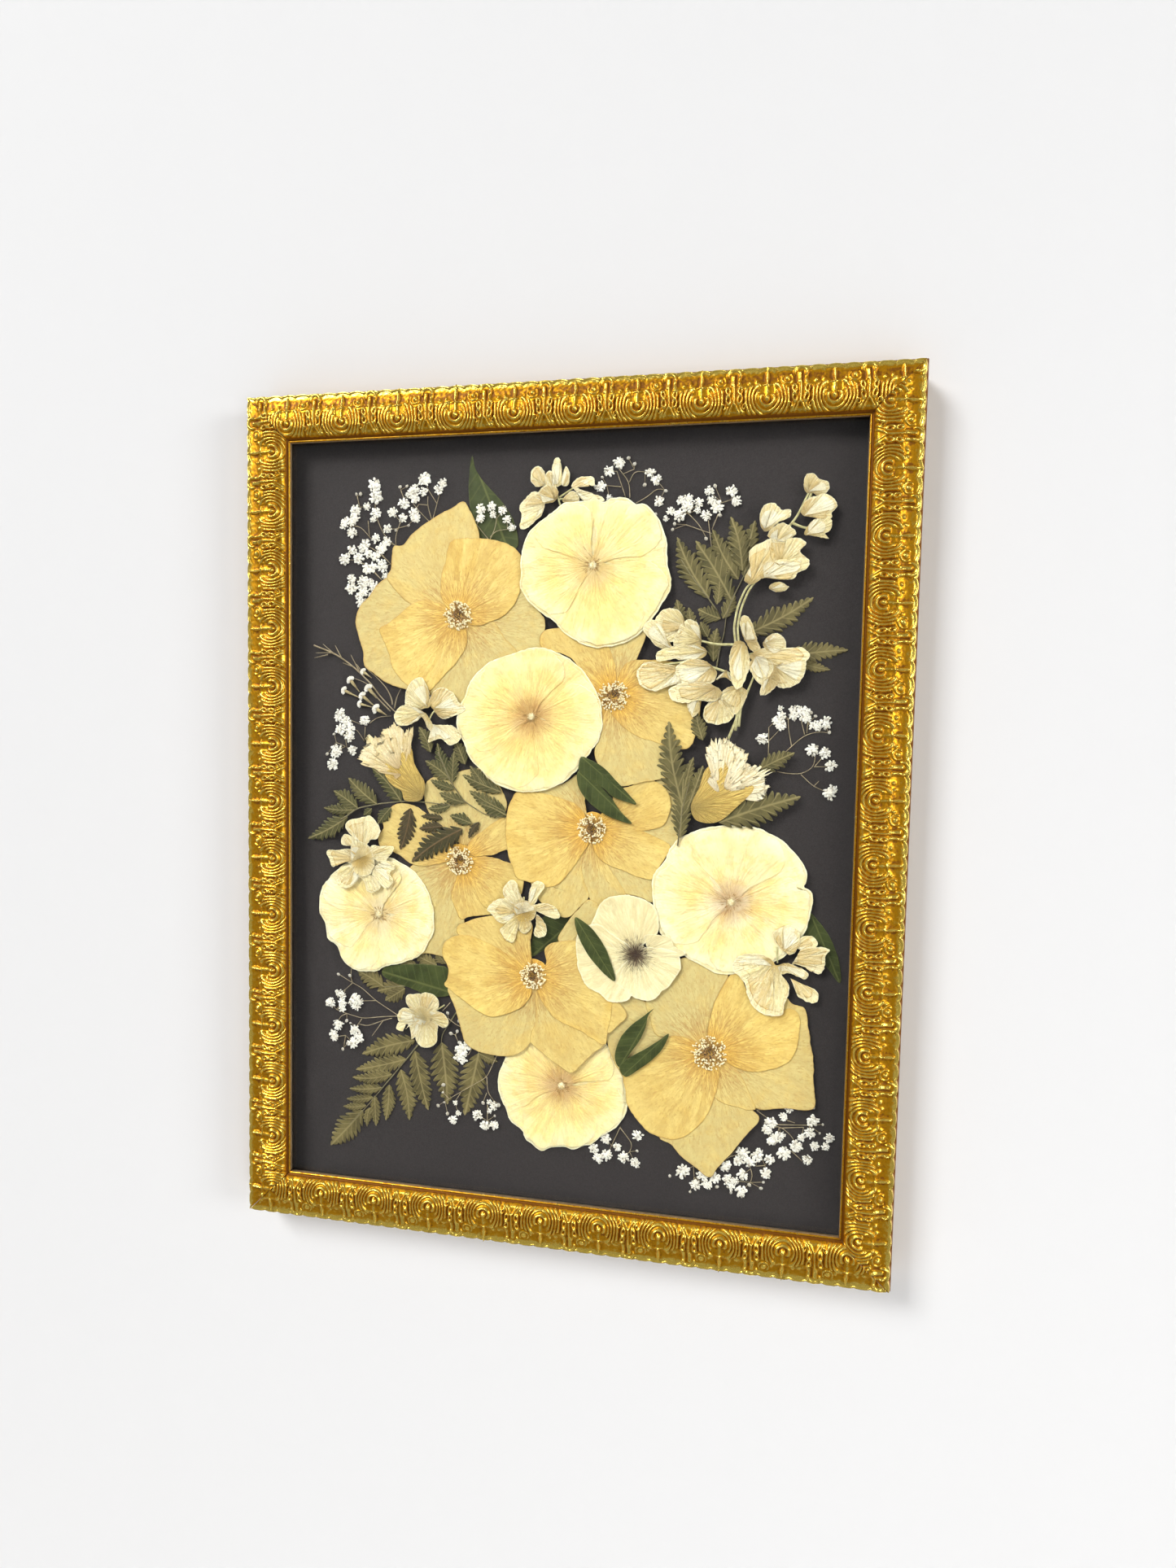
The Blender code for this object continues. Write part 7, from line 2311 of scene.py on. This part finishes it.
        2.4, 38, -172.4, 3, 44.1, -174.6, 2.8, 45, -159.8, 2.9, 45, -168.1, 0.9), (
        (35.9, -156.3, 31.5, -166.8), (35.9, -156.8, 42.8, -165, 41, -169))),
    Spray("breath_bottom_right", 0, (
        62.2, -179.4, 1, 68.7, -176.3, 3.9, 72.8, -186.5, 0.9, 75.4, -182.4, 2.9, 78.9, -177.2,
        3.1, 81.5, -181.6, 2.8, 85.4, -177.7, 3, 86.3, -182.3, 1.2, 90.2, -171.1, 3.2, 91.5,
        -178.1, 3, 93.3, -181.6, 2.2, 95, -178.1, 2.3, 98.9, -174.6, 2.9, 98.5, -183.3, 3.1,
        93.4, -184.4, 1, 98.5, -163.3, 3.3, 96.3, -167.7, 2.6, 102, -167.2, 3.1, 105.9, -164.2,
        3.2, 106.7, -161.6, 2, 112, -165, 2.7, 110.4, -172.4, 3, 109.3, -177.2, 0.9, 108.2,
        -180.5, 1.1, 102.4, -179.4, 1.2, 118.9, -161.1, 3.5, 130.2, -163.3, 2.6, 124.6, -156.8,
        3.3, 112, -145.9, 3.2, 110.2, -149.8, 2.7, 115, -153.3, 3.1, 112.4, -155.5, 2.5, 117.6,
        -152, 2, 120.7, -138.1, 2.3, 118, -142.4, 2.3, 132.4, -142.9, 3.2, 131, -149.4, 2.8,
        127.2, -152, 2.3, 133.7, -155.9, 2.4, 138.9, -155.5, 2.2, 140.7, -151.1, 2.6, 132.4,
        -136.2, 1.1, 137.2, -144.4, 0.8, 135.9, -149, 0.7), (
        (104.6, -140.3, 110.7, -144.2), (104.6, -140.3, 119.3, -137.7),
        (115, -146.8, 130.7, -145.5), (116, -148.5, 128, -146.8), (120.2, -144.2, 123.7, -145),
        (122.8, -159.8, 128, -164.2), (102.8, -171.1, 104.1, -174.6, 102.8, -178.1),
        (109.8, -168.5, 105.4, -169.4), (96.7, -160.7, 89.8, -168.5),
        (74.1, -172.9, 74.6, -179), (85, -170, 92, -166, 98.5, -163.3),
        (110, -150, 116, -147, 122.8, -152, 124.6, -156.8))),
)

SPRIG = WaxSprig("wax_flower", 1, (
    -87.3, 55.3, -90.7, 58, -98.7, 66, -102.7, 71.3, -109.3, 77.3, -113.3, 80.7, -120, 85.3,
    -125, 88, -136, 92), (
    (-125, 88, -130.7, 92.7), (-120, 85.3, -123.7, 92), (-128, 87, -135.7, 85.3),
    (-125, 88, -135, 88), (-109.3, 77.3, -114.7, 87), (-107, 76, -111.3, 82),
    (-113.3, 80.7, -119.3, 82.7), (-91, 60.7, -90.7, 62.7, -94, 69.3, -100, 75.3, -104.7, 78.7),
    (-92, 57.3, -100, 64.7, -105.3, 72, -113.3, 74.7), (-89.7, 58.7, -88.7, 64.7, -86.3, 69)), (
    (-107, 77.7, -102.7, 74.7, 2.6), (-114.3, 73, -109.7, 67.3, 3.2),
    (-117.7, 67.7, -109.3, 64, 2.9), (-104, 68.7, -100, 64, 3.4),
    (-107.3, 64.7, -101.3, 60, 3.2), (-108.7, 60.7, -102.7, 59.3, 2.6),
    (-99.3, 58, -94, 55, 3.6)))

BLOSSOMS = (
    Blossom("larkspur_top", (-3.2, 164.0), 2, (
        (-6, 172, -6, 180, -4.5, 185, -2.5, 185, -1, 178, -1.5, 172),
        (-0.5, 172, -0.3, 178, 1.2, 181, 3, 178, 2.2, 172),
        (-17, 176, -15.5, 180.5, -12, 181, -9.7, 177.5, -10, 172.7, -14, 171.5),
        (-9, 172, -8.8, 178, -6.8, 179, -5, 176, -5.5, 171.5),
        (-14, 164, -12, 169.5, -8, 172, -4, 171, -3, 166, -7, 163.5),
        (-22.3, 161.5, -20, 165, -15, 168.5, -10, 164, -11, 158, -15, 154, -19.5, 151, -22, 152,
         -21, 157),
        (4.5, 171.4, 8, 175, 11.8, 175.6, 15, 175, 15.5, 171, 12.7, 171.8, 9, 173.2, 5.5, 170),
        (5.5, 170.5, 11.8, 168.2, 19, 165.5, 21, 163.6, 13.6, 162.7, 10, 164.5),
        (0, 164.5, 4.5, 168.6, 8, 164.5, 7.3, 162.7, 1.8, 162.7)), (
        (-0.9, 160.5, -2.3, 164, -3.2, 168), (-3.2, 166, -13, 175), (-2, 166, 6, 171),
        (-2, 165, 9, 166))),
    Blossom("larkspur_left", (-69.0, 57.0), 4, (
        (-82, 61, -76, 58.5, -71, 55.5, -67, 48, -69, 47, -73, 54, -78, 57, -83, 59),
        (-87.3, 57.3, -84.7, 59.7, -80, 60.3, -76, 58.7, -74, 55.3, -80, 50.7, -86.7, 50, -88.7,
         54),
        (-82.7, 64.7, -82, 68, -78, 73.3, -74.7, 74.7, -71.3, 70.7, -70, 66, -69.3, 60, -76.7,
         59.3, -82, 60.7),
        (-69, 62, -67, 67.5, -62, 69.5, -57, 67, -53.5, 62, -50, 59, -55, 56, -62, 54, -66, 57),
        (-62, 50, -57, 50, -52.5, 46, -52.5, 43.5, -58, 40, -63, 43.5, -69.5, 41, -68, 47, -69,
         50)), (
        (-63, 60, -68, 57, -70, 52),)),
    Blossom("larkspur_on_bloom", (-107.5, -22.0), 4, (
        (-116, -5, -114, -2, -109, -0.5, -103, 0.5, -100, -1, -97, -6, -99, -11, -102, -11,
         -105, -15, -108, -14, -112, -10),
        (-118.5, -12, -116.5, -9.5, -112, -11, -109.5, -16, -113, -15, -118, -15),
        (-126.5, -19, -122, -18, -112, -18, -110, -21, -111, -25, -119, -24, -123, -27, -125,
         -23), (-101, -15, -97, -15, -92, -15, -89, -15, -92, -21, -97, -23, -102, -20),
        (-98, -25, -91, -23, -88, -26, -91, -29, -89, -33, -93, -37, -97, -34, -101, -29),
        (-106, -28, -101, -31, -96, -37, -100, -40, -104, -39, -105, -35, -108, -31),
        (-118, -27, -108, -30, -109, -33, -114, -38, -120, -37, -121, -32),
        (-112, -14, -105, -14, -101, -19, -100, -26, -104, -31, -110, -30, -113, -24, -113, -18)), (
        (-107, -14, -107.5, -24, -106, -30), (-112, -22, -107, -23, -100, -24)), folds=1,
        heart=0.9),
    Blossom("larkspur_centre", (-17.0, -46.5), 4, (
        (-36, -46, -32, -41, -25, -40, -19, -44, -27, -52, -31, -51, -34, -48),
        (-28, -35, -24, -30, -21, -31, -19, -37, -15, -43, -20, -44, -26, -40),
        (-12, -31, -8, -30, -6, -32, -9, -37, -11, -41, -14, -43),
        (-13, -43, -7, -41, -1, -42, 2, -46, 2, -47.5, -2, -48, -7, -46),
        (-10, -47, -8, -48, -5, -53, -5, -57, -8.5, -59, -11, -57, -10, -52),
        (-20, -47, -20, -53, -21, -59, -22.5, -62, -25, -61, -29, -56, -25, -52),
        (-18, -50, -13, -50, -13, -54, -16, -57, -19, -55),
        (-21, -42, -16, -40, -11, -43, -11, -48, -16, -51, -21, -49)), (
        (-17, -38, -17, -46, -18, -54),), folds=1, heart=0.9),
    Blossom("larkspur_right", (112.5, -61.5), 4, (
        (121, -54, 125, -50, 129, -50, 131, -54, 125, -57),
        (119, -71, 123, -74, 128, -75, 132.5, -78, 132, -81.5, 129, -82.5, 124, -80.5, 122.5,
         -79, 122, -75), (111, -66, 118, -64, 127, -68, 126, -71, 118, -68.5, 112, -70),
        (122, -60, 125, -56, 130, -55, 137, -56, 135, -59, 134.5, -65, 132, -68, 125, -63, 120,
         -64),
        (92, -66, 95, -62, 105, -61, 110, -64, 112, -66, 115, -71, 118, -75, 117.5, -80, 116,
         -84, 115, -89, 110, -90, 106, -89, 102, -86, 99, -81, 98, -76, 95, -72, 92, -70),
        (110, -50, 115, -46, 119, -45, 123, -50, 121, -57, 118, -59, 113, -55)), (
        (112, -56, 112.5, -64),), folds=2, heart=0.8),
    Blossom("larkspur_lower_left", (-72.0, -106.5), 2, (
        (-81.5, -99, -81, -95.5, -77, -94.5, -73, -94.5, -72, -100, -74, -105, -78, -103),
        (-73, -94.5, -69, -93.5, -65, -95, -63.5, -99, -65, -102, -70, -105, -73, -101),
        (-66, -102.5, -60, -104, -58, -108, -60, -111, -64, -110, -70, -108, -71, -105),
        (-64, -110, -64, -115, -65, -120, -71, -122.5, -75, -120, -76, -117, -75, -110, -70,
         -108),
        (-78.5, -119, -77, -112, -81, -111, -83, -115, -86.5, -113.5, -85, -110, -80, -106, -75,
         -107, -74, -113), (-85, -110, -86, -107, -84, -103, -80, -102.5, -74, -104, -75, -108),
        (-77, -103, -72, -101, -68, -104, -68, -108, -72, -111, -77, -109)), (
        (-72, -106, -64, -102, -60, -99),), folds=1, heart=0.45),
)

STOCK = Blossom("stock_stem", (90.0, 92.0), 5, (
    (117.8, 169, 119, 171.8, 121.5, 172, 124, 169.5, 127.5, 168.5, 128.3, 165.5, 125, 162.5,
     122, 164, 119, 164),
    (117.5, 155, 120, 160, 124, 161.5, 128, 162, 132, 159, 132.5, 157, 130, 154.5, 130.5, 152.5,
     127, 151.5, 124, 154, 119, 153.5),
    (119, 144.5, 122, 150, 127, 151.5, 130, 150, 129.5, 146, 126, 143.5, 129.5, 142.5, 123, 144),
    (98, 155, 100, 158, 104, 158.5, 107, 156, 110.5, 155.5, 110, 152.5, 106, 151, 103, 148, 100,
     147, 98, 151), (102, 144, 105, 148, 109, 149, 114, 145, 111, 142, 107, 141),
    (92, 124, 94, 130, 93.5, 136, 97, 139, 103, 141, 106, 134, 102, 127, 95, 122.2),
    (103, 141, 110, 141, 115, 142, 118.5, 139.5, 116, 136, 119.5, 132, 112, 129, 104, 133),
    (119.5, 132, 119, 128, 115, 126, 114, 124, 110, 123.5, 105, 125, 100, 124, 101, 130, 110,
     132), (103, 119.5, 107, 121.5, 111.8, 119.5, 107, 117.2),
    (90, 103, 91.5, 105, 95, 102, 97, 95, 99, 90, 95, 90),
    (101, 92, 106, 97, 110, 95, 111, 91, 106, 88),
    (96, 86, 103, 90, 115, 90, 118, 90, 121.5, 87, 119.5, 84, 112, 82, 104, 83),
    (119.5, 84, 120, 79, 117, 74, 110, 72, 105, 77, 108, 82, 114, 83),
    (105, 77, 101, 73, 97, 77, 95, 81, 98, 86, 104, 84),
    (106, 77, 109, 75, 104, 69, 100.5, 68, 102, 74),
    (87.5, 92, 91, 92, 94, 85, 93.5, 79, 90, 72, 88, 72, 85.5, 82),
    (83.5, 70, 88, 71, 93, 69, 92, 64, 88, 59, 84, 61, 81, 65),
    (49.5, 105, 54, 108.5, 59, 107.5, 61.5, 104, 63, 102, 61, 97, 55, 94, 51, 97, 48.5, 102),
    (43, 99, 45, 102.5, 49, 103, 53, 96, 56, 90, 51, 91, 46, 95),
    (61, 100, 64, 103, 68, 102, 70, 97, 69.5, 91, 64, 90, 59, 91, 59, 96),
    (55, 90, 69, 91, 72, 89, 71, 86, 57, 85, 51, 84, 51, 88),
    (40.5, 78, 44, 82, 51, 82, 59, 80, 60, 74, 55, 72, 48, 70, 43, 72),
    (65, 84, 71, 84, 75, 82, 78, 78, 76, 74, 69, 73, 61, 75, 60, 80),
    (57, 69, 59, 65, 65, 64, 69, 65, 78, 65, 80, 69, 75, 72, 65, 73, 59, 71),
    (75, 62, 74, 59, 75, 55, 78, 54, 83, 54, 87, 58, 85, 62, 80, 65),
    (65, 65, 68, 57, 71, 61, 69, 66), (79, 75, 83.5, 79.5, 85, 76, 88, 73, 83, 76)), (
    (88.7, 50, 89.5, 60, 89.5, 72, 88, 90, 86.5, 100, 88, 110, 92, 120, 95, 122),
    (90.3, 52, 91, 62, 91, 75, 89.6, 90, 88.2, 100, 89.6, 109, 93, 118, 96, 122),
    (85.5, 46, 92.5, 65, 97, 77), (95, 122, 105, 140, 115, 153, 120, 164),
    (90, 76, 80, 80, 66, 84, 52, 82), (89, 92, 78, 92, 66, 95, 56, 99),
    (90, 86, 98, 88, 108, 84), (100, 132, 108, 130), (112, 150, 118, 147, 124, 147),
    (108, 146, 104, 152), (117, 157, 124, 157), (120, 160, 122, 167), (90, 70, 80, 68, 68, 68),
    (88, 62, 80, 58)), folds=2, heart=0.55, reach_heart=False, stalk_size=0.75, grow=1.14)

CARNATIONS = (
    Carnation("carnation_left", 3, (
        -106.7, 42.7, -105.3, 46, -100, 47, -97.3, 50.7, -93.3, 52, -89.3, 55.3, -83.3, 50.7,
        -78, 51.3, -78.7, 45.3, -79.3, 40, -79.7, 36, -82, 30, -88, 24, -97, 24, -102, 25.7,
        -101.3, 28.7, -109.3, 28.7, -113, 30, -112.3, 34, -110, 37.3, -106, 40), (
        -73, 12, -74, 10.5, -83, 10, -85, 15, -89, 17, -93, 21, -95, 26, -93, 32, -89, 37, -84,
        39.5, -79.7, 38, -78, 30, -75.3, 25.3, -72, 20, -72, 16), (-84.0, 24.0), 9, 2.2, 2.4,
        0.2),
    Carnation("carnation_right", 5, (
        86, 22, 101, 23, 105, 22, 109.5, 26, 109, 31, 109, 33, 104, 34, 100, 38, 98, 41, 91, 43,
        88, 46, 83, 49, 77, 49, 73, 46, 72, 43, 75, 39, 77, 37, 75, 31), (
        68, 12, 70, 6, 73, 4.5, 79, 4.2, 83.5, 6, 91, 13, 95, 17, 98.5, 22, 97, 29, 90, 34, 82,
        35, 75, 31, 72, 22), (82.0, 18.0), 9, 1.05, 1.9),
)

# The room


@dataclass(frozen=True)
class Lamp:
    """A soft square light that looks at the frame.

    A matt one is left out of the glass's and the gold's reflections.
    """

    name: str
    place: Numbers
    size: float
    watts: float
    matt: bool = False

    def build(self) -> None:
        """Add the light to the scene."""
        data = bpy.data.lights.new(self.name, "AREA")
        data.size = self.size
        data.energy = self.watts
        light = add_object(self.name, data)
        light.location = self.place
        light.visible_glossy = not self.matt
        light.rotation_mode = "QUATERNION"
        light.rotation_quaternion = (-Vector(self.place)).to_track_quat("-Z", "Y")


@dataclass(frozen=True)
class Studio:
    """The photograph's viewpoint, with plain soft studio light, a pale wall and a floor."""

    place: Numbers = (0.0885, -0.4174, 0.0445)
    yaw: float = -10.11
    pitch: float = -3.15
    roll: float = 1.14
    lens: float = 18.73
    sensor: float = 36.0
    lamps: tuple[Lamp, ...] = (
        Lamp("KeyLight", (-2.0, -2.4, 2.3), 1.3, 111.0),
        Lamp("LowLight", (1.1, -1.6, -0.62), 0.5, 7.5, True),
        Lamp("SideLight", (2.4, -1.3, 0.4), 0.9, 28.0),
        Lamp("BackLight", (-0.8, 2.2, 1.2), 1.4, 60.0))
    sky: Colour = (0.97, 0.98, 1.0, 1.0)
    sky_strength: float = 0.1
    wall_paint: Colour = (0.83, 0.83, 0.83, 1.0)
    wall_size: float = 3.0
    wall_gap: float = 0.004
    floor_paint: Colour = (0.82, 0.81, 0.8, 1.0)
    floor_size: float = 4.0
    floor_height: float = -0.75

    def build_camera(self) -> None:
        """Set up the camera where the photograph was taken from."""
        data = bpy.data.cameras.new("Camera")
        data.sensor_width = self.sensor
        data.lens = self.lens
        data.clip_start, data.clip_end = 0.01, 50.0
        yaw, pitch, roll = (math.radians(angle) for angle in (self.yaw, self.pitch, self.roll))
        ahead = Vector((math.sin(yaw) * math.cos(pitch), math.cos(yaw) * math.cos(pitch),
                        math.sin(pitch)))
        flat_right = ahead.cross(Vector((0, 0, 1))).normalized()
        flat_up = flat_right.cross(ahead)
        right = math.cos(roll) * flat_right + math.sin(roll) * flat_up
        up = -math.sin(roll) * flat_right + math.cos(roll) * flat_up
        turned = Matrix((right, up, -ahead)).transposed().to_4x4()
        camera = add_object("Camera", data)
        camera.matrix_world = Matrix.Translation(self.place) @ turned
        bpy.context.scene.camera = camera

    def build_lights(self) -> None:
        """Set up the lamps and the even surroundings."""
        for lamp in self.lamps:
            lamp.build()
        world = bpy.data.worlds.new("Surroundings")
        world.use_nodes = True
        ground = world.node_tree.nodes["Background"]
        ground.inputs["Color"].default_value = self.sky
        ground.inputs["Strength"].default_value = self.sky_strength
        bpy.context.scene.world = world

    def lay_plane(self, name: str, size: float, stand: Matrix,
                  material: Material) -> bpy.types.Object:
        """Lay a square plane of the room.

        Args:
            name: Its name.
            size: Its side.
            stand: Where it stands.
            material: Its material.

        Returns:
            The plane.
        """
        shape = bmesh.new()
        bmesh.ops.create_grid(shape, x_segments=1, y_segments=1, size=size / 2, matrix=stand)
        plane = add_object(name, mesh_of(shape, name, [material]))
        return plane

    def build_wall(self) -> None:
        """Stand the pale wall behind the frame. It is clear from behind and throws no shadow."""
        material, graph, shader = start_material("StudioWall", 0.9, Base_Color=self.wall_paint)
        behind = graph.add("NewGeometry").outputs["Backfacing"]
        see_through(material, graph, shader, behind)
        upright = Matrix.Translation((0, self.wall_gap, 0)) @ Matrix.Rotation(math.pi / 2, 4, "X")
        self.lay_plane("studio_wall", self.wall_size, upright, material).visible_shadow = False

    def build_floor(self) -> None:
        """Lay the floor far below the frame, where the glass and the gold don't mirror it."""
        material, _, _ = start_material("StudioFloor", 0.85, Base_Color=self.floor_paint)
        low = Matrix.Translation((0, 0, self.floor_height))
        floor = self.lay_plane("studio_floor", self.floor_size, low, material)
        floor.visible_glossy = floor.visible_transmission = False

    def build(self) -> None:
        """Build the whole room."""
        self.build_camera()
        self.build_lights()
        self.build_wall()
        self.build_floor()
        bpy.context.scene.view_settings.view_transform = "Standard"


# Finishes, by the names that the pieces ask for. Colours come in the order of their fields.


FERN = {"pairs": 7.0, "slant": 1.2}

FINISHES = {
    # The rose's rim colour is darker: a painted shadow line along each petal's edge.
    "rose": PetalFinish(
        "RosePetal", tint(234, 206, 118), tint(212, 176, 88), tint(204, 187, 124),
        tint(230, 182, 74), tint(160, 104, 38), tint(180, 142, 72), heart_reach=19.0),
    "bloom": PetalFinish(
        "BloomPetal", tint(245, 225, 136), tint(234, 202, 116), tint(214, 204, 152),
        tint(182, 126, 56), tint(206, 168, 92), tint(250, 249, 222), heart_reach=14.0,
        heart_rays=22.0, vein_reach=34.0, vein_strength=0.45, crease_strength=0.07, relief=0.7,
        core=0.4),
    "pansy": PetalFinish(
        "PansyPetal", tint(246, 236, 188), tint(228, 212, 160), tint(206, 194, 150),
        tint(46, 27, 14), tint(92, 58, 30), tint(250, 246, 220), heart_reach=9.0,
        heart_rays=24.0, vein_reach=15.0, vein_strength=0.35, fine_strength=0.3, core=0.35),
    # The blossom's stain colour is also the painted shade of its darker folds.
    "blossom": PetalFinish(
        "BlossomPetal", tint(250, 242, 200), tint(240, 225, 165), tint(234, 221, 176),
        tint(218, 174, 70), tint(198, 168, 102), tint(249, 244, 218), tint(200, 160, 86),
        heart_reach=9.0, vein_reach=22.0, vein_count=13.0, vein_strength=0.45, crease_size=4.5,
        crease_strength=0.45, relief=1.4),
    "carnation": PetalFinish(
        "CarnationPetal", tint(251, 242, 200), tint(238, 216, 150), tint(222, 204, 152),
        tint(218, 176, 96), tint(190, 150, 88), tint(253, 248, 220), tint(190, 144, 76),
        heart_reach=14.0, vein_count=16.0, vein_strength=0.6, crease_size=4.0,
        crease_strength=0.5, relief=1.2),
    "calyx": PetalFinish(
        "CarnationCalyx", tint(234, 208, 130), tint(214, 178, 94), tint(204, 178, 96),
        tint(232, 202, 110), tint(178, 140, 62), tint(206, 172, 90), heart_reach=60.0,
        vein_reach=90.0, vein_count=22.0, vein_strength=0.8, relief=1.6),
    "leaf": LeafFinish("LeafBlade", tint(66, 74, 34), tint(48, 56, 22), tint(104, 108, 58)),
    "fern": LeafFinish("FernBlade", tint(116, 105, 64), tint(86, 78, 46), tint(156, 142, 96),
                       rib_width=0.10, side_strength=0.45, **FERN),
    "brown": LeafFinish("BrownFern", tint(92, 68, 48), tint(72, 52, 38), tint(126, 98, 66),
                        rib_width=0.09, side_strength=0.3, **FERN),
    "rib": GrainFinish("FernRib", tint(126, 118, 84), tint(104, 94, 64), 2.0),
    "anther": GrainFinish("StamenHeads", tint(252, 242, 206), tint(232, 208, 146), 1.2,
                          relief=0.1),
    "filament": GrainFinish("Filaments", tint(190, 150, 84), tint(156, 116, 60), 1.5),
    "style": GrainFinish("Styles", tint(112, 84, 50), tint(80, 58, 34), 1.2),
    "knob": GrainFinish("BloomKnob", tint(248, 238, 198), tint(216, 192, 132), 1.0, relief=0.1),
    "stalk": GrainFinish("PaleStalk", tint(196, 190, 140), tint(168, 158, 104), 2.5),
    "breath": GrainFinish("BreathPetal", tint(251, 249, 240), tint(232, 226, 208), 1.5,
                          fleck=0.12),
    "wisp": GrainFinish("BreathStem", tint(176, 160, 126), tint(142, 126, 94), 3.0),
    "straw": GrainFinish("WaxCone", tint(186, 170, 124), tint(150, 132, 88), 2.0),
    "board": GrainFinish("CharcoalBoard", tint(44, 38, 37), tint(39, 34, 33), 2.0, relief=0.003,
                         roughness=0.92, fleck=0.05),
    "spacer": GrainFinish("BlackSpacer", tint(20, 19, 19), tint(14, 13, 13), 2.0,
                          roughness=0.9),
    "panel": GrainFinish("Hardboard", tint(128, 92, 58), tint(104, 72, 44), 1.6, fleck=0.45),
    "wood": GrainFinish("BareWood", tint(190, 150, 100), tint(160, 120, 74), 2.4,
                        stretch=(1.0, 1.0, 0.12), roughness=0.7),
    "steel": GrainFinish("PlatedSteel", tint(196, 192, 182), tint(170, 164, 150), 2.0,
                         relief=0.01, roughness=0.35, metallic=1.0, fleck=0.15),
    "gold": GildedFinish(),
}

# The solids that show as they are, and each one's finish.
BARE_NODES = {
    "mount_board": "board", "spacer_mat": "spacer", "backing_panel": "panel",
    "sawtooth_hanger": "steel", "turn_point_top": "steel", "turn_point_bottom": "steel",
    "turn_point_left": "steel", "turn_point_right": "steel",
}

# The broad flowers in the order in which they lie on one another.
BROAD_ORDER = (
    "rose_left", "cream_bloom_bottom", "rose_upper_left", "rose_centre", "rose_lower_right",
    "cream_bloom_left", "rose_upper_right", "rose_lower_centre", "cream_bloom_right",
    "cream_bloom_top", "cream_bloom_centre")


def dress_node(name: str, material: Material) -> None:
    """Give a solid that shows as it is its material."""
    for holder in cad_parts[name].material_slots:
        holder.material = material
    log.info("%s: dressed as %s", name, material.name)


def write_sizes() -> None:
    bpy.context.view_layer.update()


def main() -> None:
    """Build every piece, in the order in which they were pressed."""
    logging.basicConfig(level=logging.INFO, format="%(message)s")
    Studio().build()
    effects = Effects()
    finishes = {key: finish.make(effects) for key, finish in FINISHES.items()}

    dress_node("glass_pane", make_glass())
    for name, finish in BARE_NODES.items():
        dress_node(name, finishes[finish])
    Moulding().build(finishes["gold"], finishes["wood"])
    cover = Cover()
    broad = {flower.name: flower for flower in (*ROSES, *BLOOMS)}
    for name in BROAD_ORDER:
        broad[name].build(cover, finishes)
    PANSY.build(finishes, "pansy")
    for piece in (*BLOSSOMS, STOCK, *CARNATIONS):
        piece.build(finishes)
    for leaf in LEAVES:
        leaf.build(finishes["leaf"])
    for frond in FRONDS:
        frond.build(finishes["fern"], finishes["brown"], finishes["rib"])
    for spray in (*SPRAYS, SPRIG):
        spray.build(finishes)
    write_sizes()


if __name__ == "__main__":
    main()
